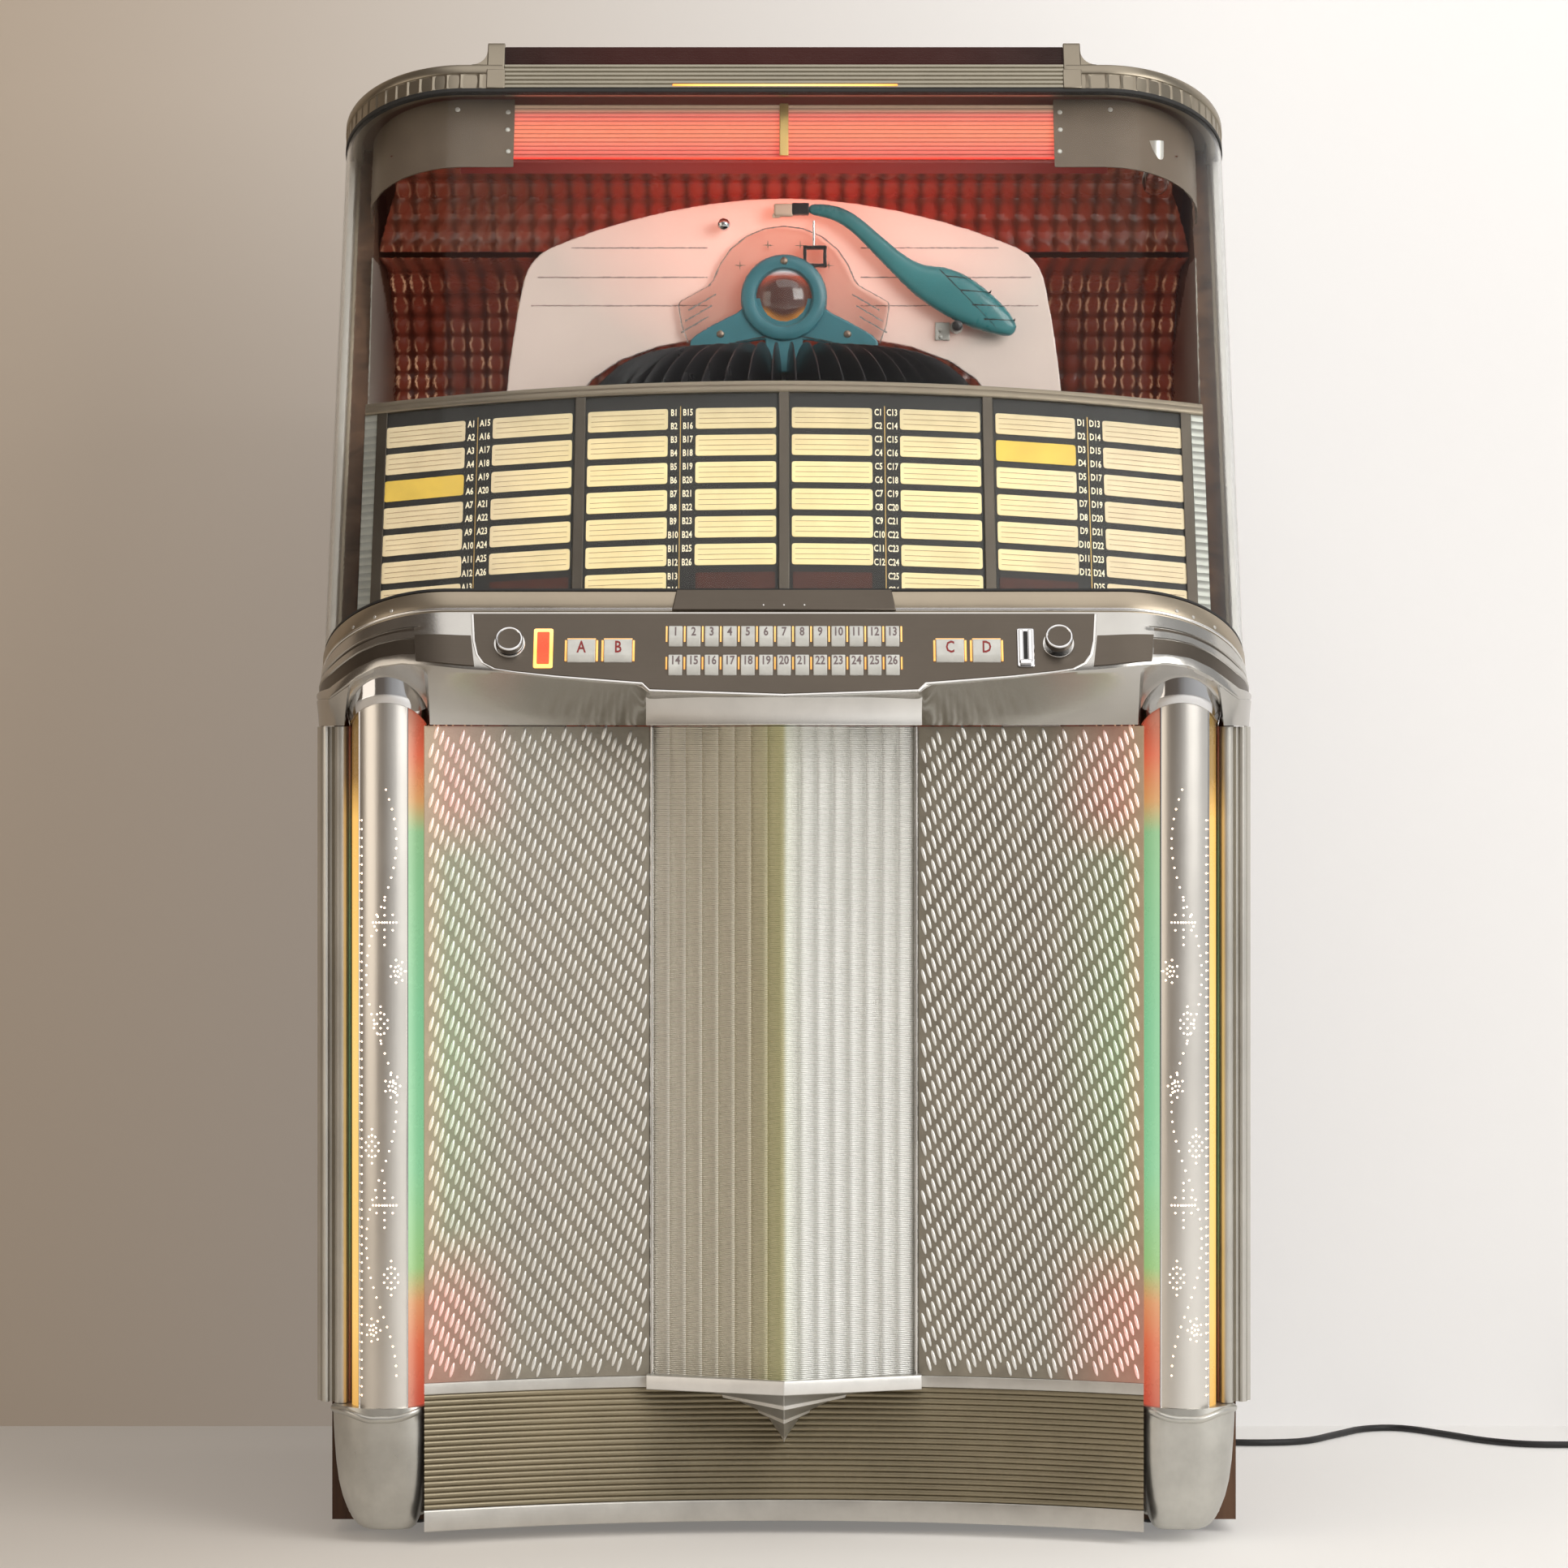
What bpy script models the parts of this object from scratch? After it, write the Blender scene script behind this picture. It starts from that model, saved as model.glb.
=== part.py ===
"""A floor-standing jukebox: wooden cabinet on casters, lit corner columns, a leaning glass lid over
a record carousel, and a push-button selector. Metres, +Z up, front towards -Y, and the origin on
the floor under the middle of the cabinet."""

import math

import bmesh
import bpy
from mathutils import Matrix, Vector

# Overall sizes, and the clearances that every fit shares
WIDTH = 0.838
DEPTH = 0.690
SEAT_GAP = 0.0003
RUNNING_GAP = 0.0005
CUT_OVERRUN = 0.010
FUSE_DEPTH = 0.002
WELD_DISTANCE = 0.000001
SCREW_MERGE = 0.00001
ROUND_STEPS = 24
SMALL_STEPS = 12
WHEEL_STEPS = 16
SHARP_ANGLE = math.radians(35)

# Carcass: plywood box, open at the front and the back
CARCASS_INSET = 0.014
CARCASS_WIDTH = WIDTH - 2 * CARCASS_INSET
CARCASS_FRONT = 0.130
BOARD = 0.018
SKIRT_CLEARANCE = 0.012
FLOOR_HEIGHT = 0.060
DECK_HEIGHT = 0.718
BAFFLE_OPENING_RADIUS = 0.133
SPEAKER_HEIGHT = 0.430
CROSS_RAIL_HEIGHT = 0.060
CROSS_RAIL_THICKNESS = 0.022
COVER_THICKNESS = 0.012
COVER_LOW = 0.030

# Concave front between the columns
BOW_EDGE_DEPTH = 0.052
BOW_SAGITTA = 0.066
BOW_STEPS = 12
GRILLE_STEPS = 6
GRILLE_THICKNESS = 0.004

# Corner columns, with the reeded moulding beside each
COLUMN_INSET = 0.0685
COLUMN_X = WIDTH / 2 - COLUMN_INSET
COLUMN_WIDTH = 0.067
COLUMN_FRONT = 0.052
COLUMN_TOP = 0.735
COLUMN_STEPS = 10
MOULDING_INSET = 0.003
MOULDING_REACH = WIDTH / 2 - MOULDING_INSET
MOULDING_FRONT = 0.080
MOULDING_REEDS = 3
REED_STEPS = 4
ARCH_RADIUS = 0.0375
ARCH_CLEARANCE = 0.002

# Cast feet at the front corners
FOOT_INSET = 0.057
FOOT_X = WIDTH / 2 - FOOT_INSET
FOOT_RADIUS = 0.041
FOOT_SOLE_RADIUS = 0.021
FOOT_HEIGHT = 0.122
FOOT_BEAD = 0.002
FOOT_BEAD_HEIGHT = 0.010
FOOT_LUG_WIDTH = 0.050
FOOT_CLEARANCE = 0.002

# Kick panel between the feet
KICK_TOP = 0.143
KICK_TRIM_HEIGHT = 0.010
KICK_BASE_HEIGHT = 0.019
KICK_REED_RECESS = 0.003
KICK_FLANGE = 0.006

# Centre pilaster: a V-shaped prow with a stepped ornament at its foot
PILASTER_HALF = 0.120
PILASTER_EDGE_DEPTH = 0.112
PILASTER_NOSE_DEPTH = 0.055
PILASTER_WALL = 0.005
ORNAMENT_BAND_PROUD = 0.0025
ORNAMENT_BAND_HEIGHT = 0.011
ORNAMENT_BAND_STEP = 0.00825
ORNAMENT_CLEARANCE = 0.0008
ORNAMENT_TIER_HEIGHT = 0.0145
ORNAMENT_TIER_SHARES = ((0.76, 0.86), (0.42, 0.66), (0.16, 0.46))

# Glass lid: a U-shaped shell leaning back, closed on a seat plane that droops to the rear
LEAN = math.radians(24.5)
GLASS_FOOT_DEPTH = 0.050
GLASS_FOOT_HEIGHT = 0.842
LID_INSET = 0.004
LID_HALF_WIDTH = WIDTH / 2 - LID_INSET
LID_CORNER_RADIUS = 0.120
LID_WALL = 0.0095
LID_SIDE_RUN = 0.0145
LID_RAIL_HEIGHT = 0.022
LID_RAIL_RUN = 0.056
SEAT_DROOP = math.radians(7.0)
CORNER_STEPS = 7
CHANNEL_WIDTH = 0.012
GLASS_THICKNESS = 0.005
GLASS_INSET = 0.0015
HEADER_LOW = 0.519
ROOF_UNDER = 0.5385
ROOF_TOP = 0.5465
ROOF_STEP = 0.0005
HEADER_WALL = 0.015
ROOF_CORNER_RADIUS = 0.045
ROOF_CORNER_STEPS = 5
SIGN_HALF = 0.259
SIGN_HEIGHT = 0.0205
SIGN_THICKNESS = 0.010
SIGN_SETBACK = 0.004
BRACKET_WIDTH = 0.016
BRACKET_RISE = 0.0044
SIDE_RAIL_GAP = 0.005
SIDE_RAIL_DEPTH = 0.010
SIDE_RAIL_LOW = 0.018
SIDE_RAIL_HIGH = 0.576
WALL_TOP_GAP = 0.0008

# Lid hinge at the back of the roof
HINGE_SETBACK = 0.014
HINGE_DROP = 0.0102
HINGE_X = 0.300
KNUCKLE_RADIUS = 0.009
KNUCKLE_LENGTH = 0.050
HINGE_PIN_RADIUS = 0.004
EAR_RADIUS = 0.008
EAR_THICKNESS = 0.006

# Control band round the front, with the selector plate
BAND_FLOOR_GAP = 0.0225
LIP_HEIGHT = 0.747
LIP_RADIUS = 0.135
LIP_TAPER = 0.006
APRON_SETBACK = 0.035
APRON_HEIGHT = 0.7225
APRON_NARROWING = 0.002
BAND_WALL = 0.008
BAND_SIDE_RUN = 0.0035
BAND_LOWER_RUN = 0.0285
FLANGE_INSET = 0.080
FLANGE_RADIUS = 0.050
FLANGE_THICKNESS = 0.005
FLANGE_STEP = 0.00025
APRON_NOSE_HALF = 0.121
APRON_NOSE_DEPTH = 0.010
APRON_NOSE_HEIGHT = 0.018

# Keys: two rows of numbers, and two letters at each side of them
NUMBER_KEYS_PER_ROW = 13
NUMBER_PITCH = 0.0158
NUMBER_KEY_WIDTH = 0.0120
NUMBER_KEY_HEIGHT = 0.0200
NUMBER_ROW_HEIGHTS = (0.7990, 0.7735)
LETTER_KEY_WIDTH = 0.025
LETTER_KEY_HEIGHT = 0.022
LETTER_ROW_HEIGHT = 0.7860
LETTER_KEY_PLACES = (-0.1770, -0.1450, 0.1450, 0.1770)
KEY_PROUD = 0.005
KEY_LENGTH = 0.022
KEY_EDGE = 0.0012
CONTROL_KNOB_X = 0.240
CONTROL_KNOB_HEIGHT = 0.793
CONTROL_KNOB_RADIUS = 0.012
CONTROL_KNOB_PROUD = 0.009
CONTROL_STEM_RADIUS = 0.005
CONTROL_STEM_LENGTH = 0.020
CONTROL_TRAVEL_GAP = 0.005

# Title panel behind the glass
TITLE_INSET = 0.035
TITLE_HALF = LID_HALF_WIDTH - TITLE_INSET
TITLE_SAGITTA = 0.044
TITLE_SETBACK = 0.0115
TITLE_THICKNESS = 0.006
TITLE_TOP = 0.216
TITLE_STEPS = 10

# Mechanism board: an arched white panel with a cut-out for the carousel and a hub boss
MECHANISM_DEPTH = 0.345
MECHANISM_THICKNESS = 0.008
MECHANISM_HALF = 0.260
MECHANISM_SHOULDER_HALF = 0.211
MECHANISM_EAR_HEIGHT = 1.100
MECHANISM_SHOULDER_HEIGHT = 1.166
MECHANISM_TOP = 1.222
MECHANISM_STEPS = 10
CUTOUT_CLEARANCE = 0.008
CUTOUT_TOP = 1.092
HUB_HEIGHT = 1.127
HUB_RADIUS = 0.040
HUB_REACH = 0.022
HUB_SKIRT_HALF = 0.088
HUB_SKIRT_LOW = 1.086
HUB_SKIRT_THICKNESS = 0.010

# Record carousel on its upright shaft
CAROUSEL_DEPTH = 0.378
RECORDS = 26
RECORD_RADIUS = 0.089
RECORD_INSET = 0.019
RECORD_THICKNESS = 0.0036
RECORD_STEPS = 12
RECORD_LOW = 0.902
SPINDLE_RADIUS = 0.034
SHAFT_RADIUS = 0.012
TRAY_RADIUS = 0.150
TRAY_THICKNESS = 0.006
TRAY_GAP = 0.012

# Tone arm, turning on a stud in front of the board
TONE_PIVOT_X = 0.162
TONE_PIVOT_HEIGHT = 1.100
TONE_REACH = 0.152
TONE_RISE = 0.107
TONE_PIVOT_RADIUS = 0.011
TONE_ARM_RADIUS = 0.0055
TONE_ARM_CLEARANCE = 0.012
TONE_HEAD_SIZE = (0.034, 0.012, 0.014)
TONE_ROUTE_SHARES = ((0, 0), (-0.105, 0.30), (0.03, 0.49), (0.29, 0.47), (0.55, 0.64), (0.75, 0.93), (1, 1))

# Quilted back panel, curving forward under the roof
CRYSTAL_DEPTH = 0.592
CRYSTAL_THICKNESS = 0.006
CRYSTAL_BEND_RADIUS = 0.115
CRYSTAL_BEND_HEIGHT = 1.060
CRYSTAL_FRONT = 0.400
CRYSTAL_STEPS = 7

# Speaker behind the baffle, and the amplifier on the floor
SPEAKER_RADIUS = 0.152
SPEAKER_DEPTH = 0.110
SPEAKER_MAGNET_RADIUS = 0.055
SPEAKER_RIM = 0.012
SPEAKER_PANEL = 0.004
AMPLIFIER_SIZE = (0.320, 0.160, 0.060)
AMPLIFIER_DEPTH = 0.560
TRANSFORMER_SIZE = (0.075, 0.085, 0.080)
TRANSFORMER_INSET = 0.0144
VALVE_RADIUS = 0.016
VALVE_HEIGHT = 0.085
VALVES = 3

# Casters: wheels with stub axles between fork plates under the floor
CASTER_INSET = 0.084
CASTER_X = WIDTH / 2 - CASTER_INSET
CASTER_FRONT_DEPTH = 0.190
CASTER_REAR_DEPTH = 0.620
CASTER_RADIUS = 0.025
CASTER_WIDTH = 0.020
AXLE_RADIUS = 0.004
FORK_THICKNESS = 0.004
FORK_WIDTH = 0.024
FORK_LOW = 0.014

# Mains lead: strain relief in the rear cover, free stretch, coil and plug
CORD_RADIUS = 0.0035
CORD_EXIT = (0.300, 0.060)
RELIEF_LENGTH = 0.030
RELIEF_RADIUS = 0.008
RELIEF_FLANGE_RADIUS = 0.012
RELIEF_FLANGE = 0.004
COIL_CENTRE = (0.9200, 0.3890)
COIL_OUTER_RADIUS = 0.0530
COIL_PITCH = 0.0076
COIL_CLIMB_DIP = 0.0020
COIL_TURNS = 3
COIL_LOOP_POINTS = 24
COIL_LEAD = 0.042
CORD_POINT_SPACING = 0.0165
CORD_ROUTE = ((0.300, 0.3755, 0.0600), (0.300, 0.3890, 0.0590), (0.3005, 0.4080, 0.0510),
              (0.3035, 0.4280, 0.0330), (0.3100, 0.4450, 0.0150), (0.3240, 0.4570, 0.0050),
              (0.3480, 0.4560, 0.0038), (0.3800, 0.4300, 0.0038), (0.4150, 0.3850, 0.0038),
              (0.4560, 0.3500, 0.0038), (0.5230, 0.3570, 0.0038), (0.5650, 0.4080, 0.0038),
              (0.6000, 0.4530, 0.0038), (0.6400, 0.4580, 0.0038), (0.6800, 0.4100, 0.0038),
              (0.7120, 0.3650, 0.0038), (0.7500, 0.3380, 0.0038), (0.7940, 0.3330, 0.0038),
              (0.8450, 0.3350, 0.0038), (0.8900, 0.3360, 0.0038), (0.9127, 0.3360, 0.0038))
PLUG_LENGTH = 0.038
PLUG_WIDTH = 0.026
PLUG_HEIGHT = 0.021
PLUG_EDGE = 0.004
BLADE_LENGTH = 0.016
BLADE_WIDTH = 0.0063
BLADE_THICKNESS = 0.0015
BLADE_SPACING = 0.0127


for old in list(bpy.data.objects):
    bpy.data.objects.remove(old, do_unlink=True)

parts = bpy.data.collections.new("jukebox")
cutters = bpy.data.collections.new("cutters")
bpy.context.scene.collection.children.link(parts)
bpy.context.scene.collection.children.link(cutters)

FRONT_Y = -DEPTH / 2
LID_SIDE_END = LID_CORNER_RADIUS + LID_SIDE_RUN
LID_RAIL_END = LID_CORNER_RADIUS + LID_RAIL_RUN
BAND_END = LID_SIDE_END + BAND_SIDE_RUN
BAND_END_DEPTH = LIP_RADIUS + BAND_LOWER_RUN


def depth(distance):
    """World Y of a place this far behind the front-most line."""
    return FRONT_Y + distance


# Frames that flat outlines are drawn in: plan, side view, front view and the leaning lid
PLAN = Matrix.Identity(4)
SIDE = Matrix(((0, 0, 1, 0), (1, 0, 0, 0), (0, 1, 0, 0), (0, 0, 0, 1)))
FACE = Matrix.Rotation(math.pi / 2, 4, "X")
LID = Matrix.Translation((0, depth(GLASS_FOOT_DEPTH), GLASS_FOOT_HEIGHT)) @ Matrix.Rotation(-LEAN, 4, "X")

# Turns of a round bar's axis: across the cabinet, and towards the rear
ACROSS = Matrix.Rotation(math.pi / 2, 4, "Y")
REARWARD = Matrix.Rotation(-math.pi / 2, 4, "X")


def seat_height(back):
    """Height, along the leaning lid, of the plane that the closed lid rests on."""
    return -BAND_FLOOR_GAP - back * math.tan(SEAT_DROOP)


def material(name, colour, roughness, metallic=0.0):
    made = bpy.data.materials.new(name)
    made.use_nodes = True
    shader = made.node_tree.nodes["Principled BSDF"]
    shader.inputs["Base Color"].default_value = (*colour, 1)
    shader.inputs["Roughness"].default_value = roughness
    shader.inputs["Metallic"].default_value = metallic
    return made


def new_object(name, mesh):
    obj = bpy.data.objects.new(name, mesh)
    cutters.objects.link(obj)
    obj.hide_render = True
    obj.display_type = "WIRE"
    return obj


def from_bmesh(name, shape, frame=PLAN):
    mesh = bpy.data.meshes.new(name)
    shape.to_mesh(mesh)
    shape.free()
    mesh.transform(frame)
    return new_object(name, mesh)


def box(name, low, high, frame=PLAN):
    shape = bmesh.new()
    bmesh.ops.create_cube(shape, size=1)
    low, high = Vector(low), Vector(high)
    size, middle = high - low, (high + low) / 2
    placing = Matrix.Translation(middle) @ Matrix.Diagonal((*size, 1))
    bmesh.ops.transform(shape, matrix=placing, verts=shape.verts)
    return from_bmesh(name, shape, frame)


def cylinder(name, radius, low, high, frame, steps=ROUND_STEPS):
    """A round bar along the frame's own Z axis."""
    shape = bmesh.new()
    place = Matrix.Translation((0, 0, (low + high) / 2))
    bmesh.ops.create_cone(shape, cap_ends=True, segments=steps, radius1=radius, radius2=radius,
                          depth=high - low, matrix=place)
    return from_bmesh(name, shape, frame)


def to_mesh_object(source, name):
    """A mesh object made from a curve or from an object with modifiers, in world coordinates."""
    bpy.context.view_layer.update()
    evaluated = source.evaluated_get(bpy.context.evaluated_depsgraph_get())
    mesh = bpy.data.meshes.new_from_object(evaluated)
    mesh.transform(source.matrix_world)
    shape = bmesh.new()
    shape.from_mesh(mesh)
    bmesh.ops.remove_doubles(shape, verts=shape.verts, dist=WELD_DISTANCE)
    shape.to_mesh(mesh)
    shape.free()
    bpy.data.objects.remove(source, do_unlink=True)
    return new_object(name, mesh)


def plate(name, outlines, low, high, frame=PLAN):
    """A flat outline, with any inner outlines as holes, extruded along the frame's Z axis."""
    curve = bpy.data.curves.new(name, "CURVE")
    curve.dimensions = "2D"
    curve.fill_mode = "BOTH"
    curve.extrude = (high - low) / 2
    for outline in outlines:
        spline = curve.splines.new("POLY")
        spline.points.add(len(outline) - 1)
        for point, (across, along) in zip(spline.points, outline):
            point.co = (across, along, 0, 1)
        spline.use_cyclic_u = True
    source = bpy.data.objects.new(name + "_outline", curve)
    cutters.objects.link(source)
    source.matrix_world = frame @ Matrix.Translation((0, 0, (low + high) / 2))
    return to_mesh_object(source, name)


def turned(name, profile, frame, steps=ROUND_STEPS):
    """A profile of (radius, height) points, top to bottom, turned round the frame's Z axis."""
    mesh = bpy.data.meshes.new(name)
    mesh.from_pydata([(radius, 0, height) for radius, height in profile],
                     [(index, index + 1) for index in range(len(profile) - 1)], [])
    source = bpy.data.objects.new(name + "_profile", mesh)
    cutters.objects.link(source)
    screw = source.modifiers.new("Turn", "SCREW")
    screw.steps = screw.render_steps = steps
    screw.use_merge_vertices = True
    screw.merge_threshold = SCREW_MERGE
    source.matrix_world = frame
    return to_mesh_object(source, name)


def tube(name, points, radius, resolution=2):
    """A round tube with closed ends along the points."""
    curve = bpy.data.curves.new(name, "CURVE")
    curve.dimensions = "3D"
    curve.bevel_depth = radius
    curve.bevel_resolution = resolution
    curve.use_fill_caps = True
    spline = curve.splines.new("POLY")
    spline.points.add(len(points) - 1)
    for point, place in zip(spline.points, points):
        point.co = (*place, 1)
    source = bpy.data.objects.new(name + "_route", curve)
    cutters.objects.link(source)
    return to_mesh_object(source, name)


def loft(name, rings, frame=PLAN):
    """A closed solid through rings of equally many points."""
    shape = bmesh.new()
    loops = [[shape.verts.new(point) for point in ring] for ring in rings]
    for first, second in zip(loops, loops[1:]):
        for index in range(len(first)):
            shape.faces.new((first[index - 1], first[index], second[index], second[index - 1]))
    shape.faces.new(reversed(loops[0]))
    shape.faces.new(loops[-1])
    bmesh.ops.recalc_face_normals(shape, faces=shape.faces)
    if shape.calc_volume(signed=True) < 0:
        bmesh.ops.reverse_faces(shape, faces=shape.faces)
    return from_bmesh(name, shape, frame)


def combine(target, tools, operation="UNION"):
    """Joins the tools to the target, or cuts them out of it, and removes them."""
    for tool in tools:
        modifier = target.modifiers.new(tool.name, "BOOLEAN")
        modifier.operation = operation
        modifier.solver = "EXACT"
        modifier.object = tool
    name = target.name
    target.name = name + "_uncut"
    made = to_mesh_object(target, name)
    for tool in tools:
        bpy.data.objects.remove(tool, do_unlink=True)
    return made


def finish(obj, look, pivot=None):
    """Puts a finished sub-part in the jukebox's collection, with its look and its origin on its joint."""
    cutters.objects.unlink(obj)
    parts.objects.link(obj)
    obj.hide_render = False
    obj.display_type = "TEXTURED"
    obj.data.materials.clear()
    obj.data.materials.append(look)
    obj.data.shade_smooth()
    obj.data.set_sharp_from_angle(angle=SHARP_ANGLE)
    if pivot is not None:
        obj.data.transform(Matrix.Translation(-Vector(pivot)))
        obj.location = pivot
    return obj


def mirrored(obj, name):
    """A copy of the object on the other side of the middle plane."""
    mesh = obj.data.copy()
    mesh.transform(Matrix.Diagonal((-1, 1, 1, 1)))
    mesh.flip_normals()
    return new_object(name, mesh)


def arc(centre, radius, start, end, steps):
    """Points on an arc, angles in radians."""
    angles = [start + (end - start) * step / steps for step in range(steps + 1)]
    return [(centre[0] + radius * math.cos(angle), centre[1] + radius * math.sin(angle)) for angle in angles]


def around(side, turn, half_width, radius, front, back):
    """A point of a U-shaped outline: turn 0 to 1 goes round the corner, 2 is the rear end of the side."""
    if turn > 1:
        return side * half_width, back
    angle = turn * math.pi / 2
    return side * (half_width - radius + radius * math.sin(angle)), front + radius - radius * math.cos(angle)


corner_turns = [step / CORNER_STEPS for step in range(CORNER_STEPS + 1)] + [2]
STATIONS = [(-1, turn) for turn in reversed(corner_turns)] + [(1, turn) for turn in corner_turns]

chrome = material("chrome", (0.80, 0.81, 0.82), 0.12, 1.0)
satin_aluminium = material("satin_aluminium", (0.72, 0.72, 0.70), 0.32, 1.0)
cabinet_wood = material("cabinet_wood", (0.30, 0.17, 0.10), 0.45)
golden_panel = material("golden_panel", (0.45, 0.31, 0.16), 0.38, 0.6)
silver_grille = material("silver_grille", (0.46, 0.40, 0.33), 0.40, 0.7)
clear_glass = material("clear_glass", (0.93, 0.96, 0.95), 0.04)
title_cream = material("title_cream", (0.90, 0.86, 0.66), 0.50)
crystal_red = material("crystal_red", (0.20, 0.04, 0.03), 0.25)
board_white = material("board_white", (0.84, 0.83, 0.79), 0.40)
record_black = material("record_black", (0.02, 0.02, 0.02), 0.30)
arm_teal = material("arm_teal", (0.12, 0.42, 0.40), 0.35)
key_white = material("key_white", (0.88, 0.87, 0.82), 0.30)
black_rubber = material("black_rubber", (0.03, 0.03, 0.03), 0.60)
black_plastic = material("black_plastic", (0.04, 0.04, 0.04), 0.45)
grey_steel = material("grey_steel", (0.35, 0.36, 0.37), 0.40, 0.8)


# Cabinet shell: sides, floor, deck, baffle and rear rail, with the caster forks and hinge ears
carcass_half = CARCASS_WIDTH / 2
inner_half = carcass_half - BOARD
carcass_rear = DEPTH - BOARD
roof_skin = ROOF_TOP - ROOF_STEP
roof_rear = (DEPTH - GLASS_FOOT_DEPTH - roof_skin * math.sin(LEAN)) / math.cos(LEAN)
hinge_back, hinge_up = roof_rear - HINGE_SETBACK, ROOF_UNDER - HINGE_DROP
hinge_point = LID @ Vector((0, hinge_back, hinge_up))
rail_back = LID_SIDE_END + SIDE_RAIL_GAP


def lid_side(back, up):
    """A place on the leaning lid, in the side view's (Y, Z)."""
    place = LID @ Vector((0, back, up))
    return place.y, place.z


def rail_line_at(height):
    """Y where the line in front of the side rails passes this height."""
    up = (height - GLASS_FOOT_HEIGHT + rail_back * math.sin(LEAN)) / math.cos(LEAN)
    return lid_side(rail_back, up)[0]


wall_top = ROOF_UNDER - WALL_TOP_GAP
side_outline = [
    (depth(CARCASS_FRONT), SKIRT_CLEARANCE),
    (depth(carcass_rear), SKIRT_CLEARANCE),
    (depth(carcass_rear), hinge_point.z - KNUCKLE_RADIUS),
    (lid_side(hinge_back - KNUCKLE_RADIUS, wall_top)[0], hinge_point.z - KNUCKLE_RADIUS),
    lid_side(hinge_back - KNUCKLE_RADIUS, wall_top),
    lid_side(rail_back, wall_top),
    (rail_line_at(DECK_HEIGHT), DECK_HEIGHT),
    (depth(CARCASS_FRONT), DECK_HEIGHT),
]
shell = plate("cabinet_shell", [side_outline], inner_half, carcass_half, SIDE)
floor = box("floor", (-inner_half - FUSE_DEPTH, depth(CARCASS_FRONT), FLOOR_HEIGHT),
            (inner_half + FUSE_DEPTH, depth(carcass_rear), FLOOR_HEIGHT + BOARD))
deck = box("deck", (-inner_half - FUSE_DEPTH, depth(CARCASS_FRONT), DECK_HEIGHT - BOARD),
           (inner_half + FUSE_DEPTH, depth(carcass_rear), DECK_HEIGHT))
baffle_back = CARCASS_FRONT + BOARD
baffle_half = inner_half + FUSE_DEPTH
baffle_low = FLOOR_HEIGHT + FUSE_DEPTH
baffle_high = DECK_HEIGHT - FUSE_DEPTH
baffle = plate("baffle", [
    [(-baffle_half, baffle_low), (baffle_half, baffle_low),
     (baffle_half, baffle_high), (-baffle_half, baffle_high)],
    arc((0, SPEAKER_HEIGHT), BAFFLE_OPENING_RADIUS, 0, math.tau * (1 - 1 / ROUND_STEPS), ROUND_STEPS - 1),
], -depth(baffle_back), -depth(CARCASS_FRONT), FACE)
apron_board = box("apron_board", (-inner_half - FUSE_DEPTH, depth(CARCASS_FRONT), SKIRT_CLEARANCE),
                  (inner_half + FUSE_DEPTH, depth(CARCASS_FRONT) + BOARD, FLOOR_HEIGHT + FUSE_DEPTH))
rear_rail_top = hinge_point.z - KNUCKLE_RADIUS - FUSE_DEPTH
rear_rail = box("rear_rail",
                (-baffle_half, depth(carcass_rear) - CROSS_RAIL_THICKNESS, rear_rail_top - CROSS_RAIL_HEIGHT),
                (baffle_half, depth(carcass_rear), rear_rail_top))
hinge_frame = Matrix.Translation((0, hinge_point.y, hinge_point.z)) @ ACROSS
fused = [floor, deck, baffle, apron_board, rear_rail, mirrored(shell, "left_side")]

for side in (-1, 1):
    inner, outer = sorted((side * (carcass_half - FUSE_DEPTH), side * LID_HALF_WIDTH))
    fused.append(box("side_rail", (inner, rail_back, SIDE_RAIL_LOW),
                     (outer, rail_back + SIDE_RAIL_DEPTH, SIDE_RAIL_HIGH), LID))
    for end in (-1, 1):
        near = side * HINGE_X + end * (KNUCKLE_LENGTH / 2 + RUNNING_GAP)
        far = near + end * EAR_THICKNESS
        low_x, high_x = sorted((near, far))
        fused.append(cylinder("ear", EAR_RADIUS, low_x, high_x, hinge_frame))
        fused.append(box("ear_foot", (low_x, hinge_point.y - EAR_RADIUS, rear_rail_top - EAR_RADIUS),
                         (high_x, depth(carcass_rear), hinge_point.z)))
    reach = KNUCKLE_LENGTH / 2 + RUNNING_GAP + EAR_THICKNESS / 2
    fused.append(cylinder("hinge_pin", HINGE_PIN_RADIUS, side * HINGE_X - reach, side * HINGE_X + reach,
                          hinge_frame, SMALL_STEPS))

caster_places = [(f"{end}_{side}_caster", across, back)
                 for end, back in (("front", CASTER_FRONT_DEPTH), ("rear", CASTER_REAR_DEPTH))
                 for side, across in (("left", -CASTER_X), ("right", CASTER_X))]
fork_inner = CASTER_WIDTH / 2 + RUNNING_GAP
axle_holes = []
for name, across, back in caster_places:
    axle_frame = Matrix.Translation((across, depth(back), CASTER_RADIUS)) @ ACROSS
    for end in (-1, 1):
        low_x, high_x = sorted((across + end * fork_inner, across + end * (fork_inner + FORK_THICKNESS)))
        fused.append(box("fork", (low_x, depth(back) - FORK_WIDTH / 2, FORK_LOW),
                         (high_x, depth(back) + FORK_WIDTH / 2, FLOOR_HEIGHT + FUSE_DEPTH)))
    hole_reach = fork_inner + FORK_THICKNESS + CUT_OVERRUN
    axle_holes.append(cylinder("axle_hole", AXLE_RADIUS + RUNNING_GAP, -hole_reach, hole_reach, axle_frame,
                               SMALL_STEPS))
shell = combine(shell, fused)
shell = combine(shell, axle_holes, "DIFFERENCE")
finish(shell, cabinet_wood)

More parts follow.
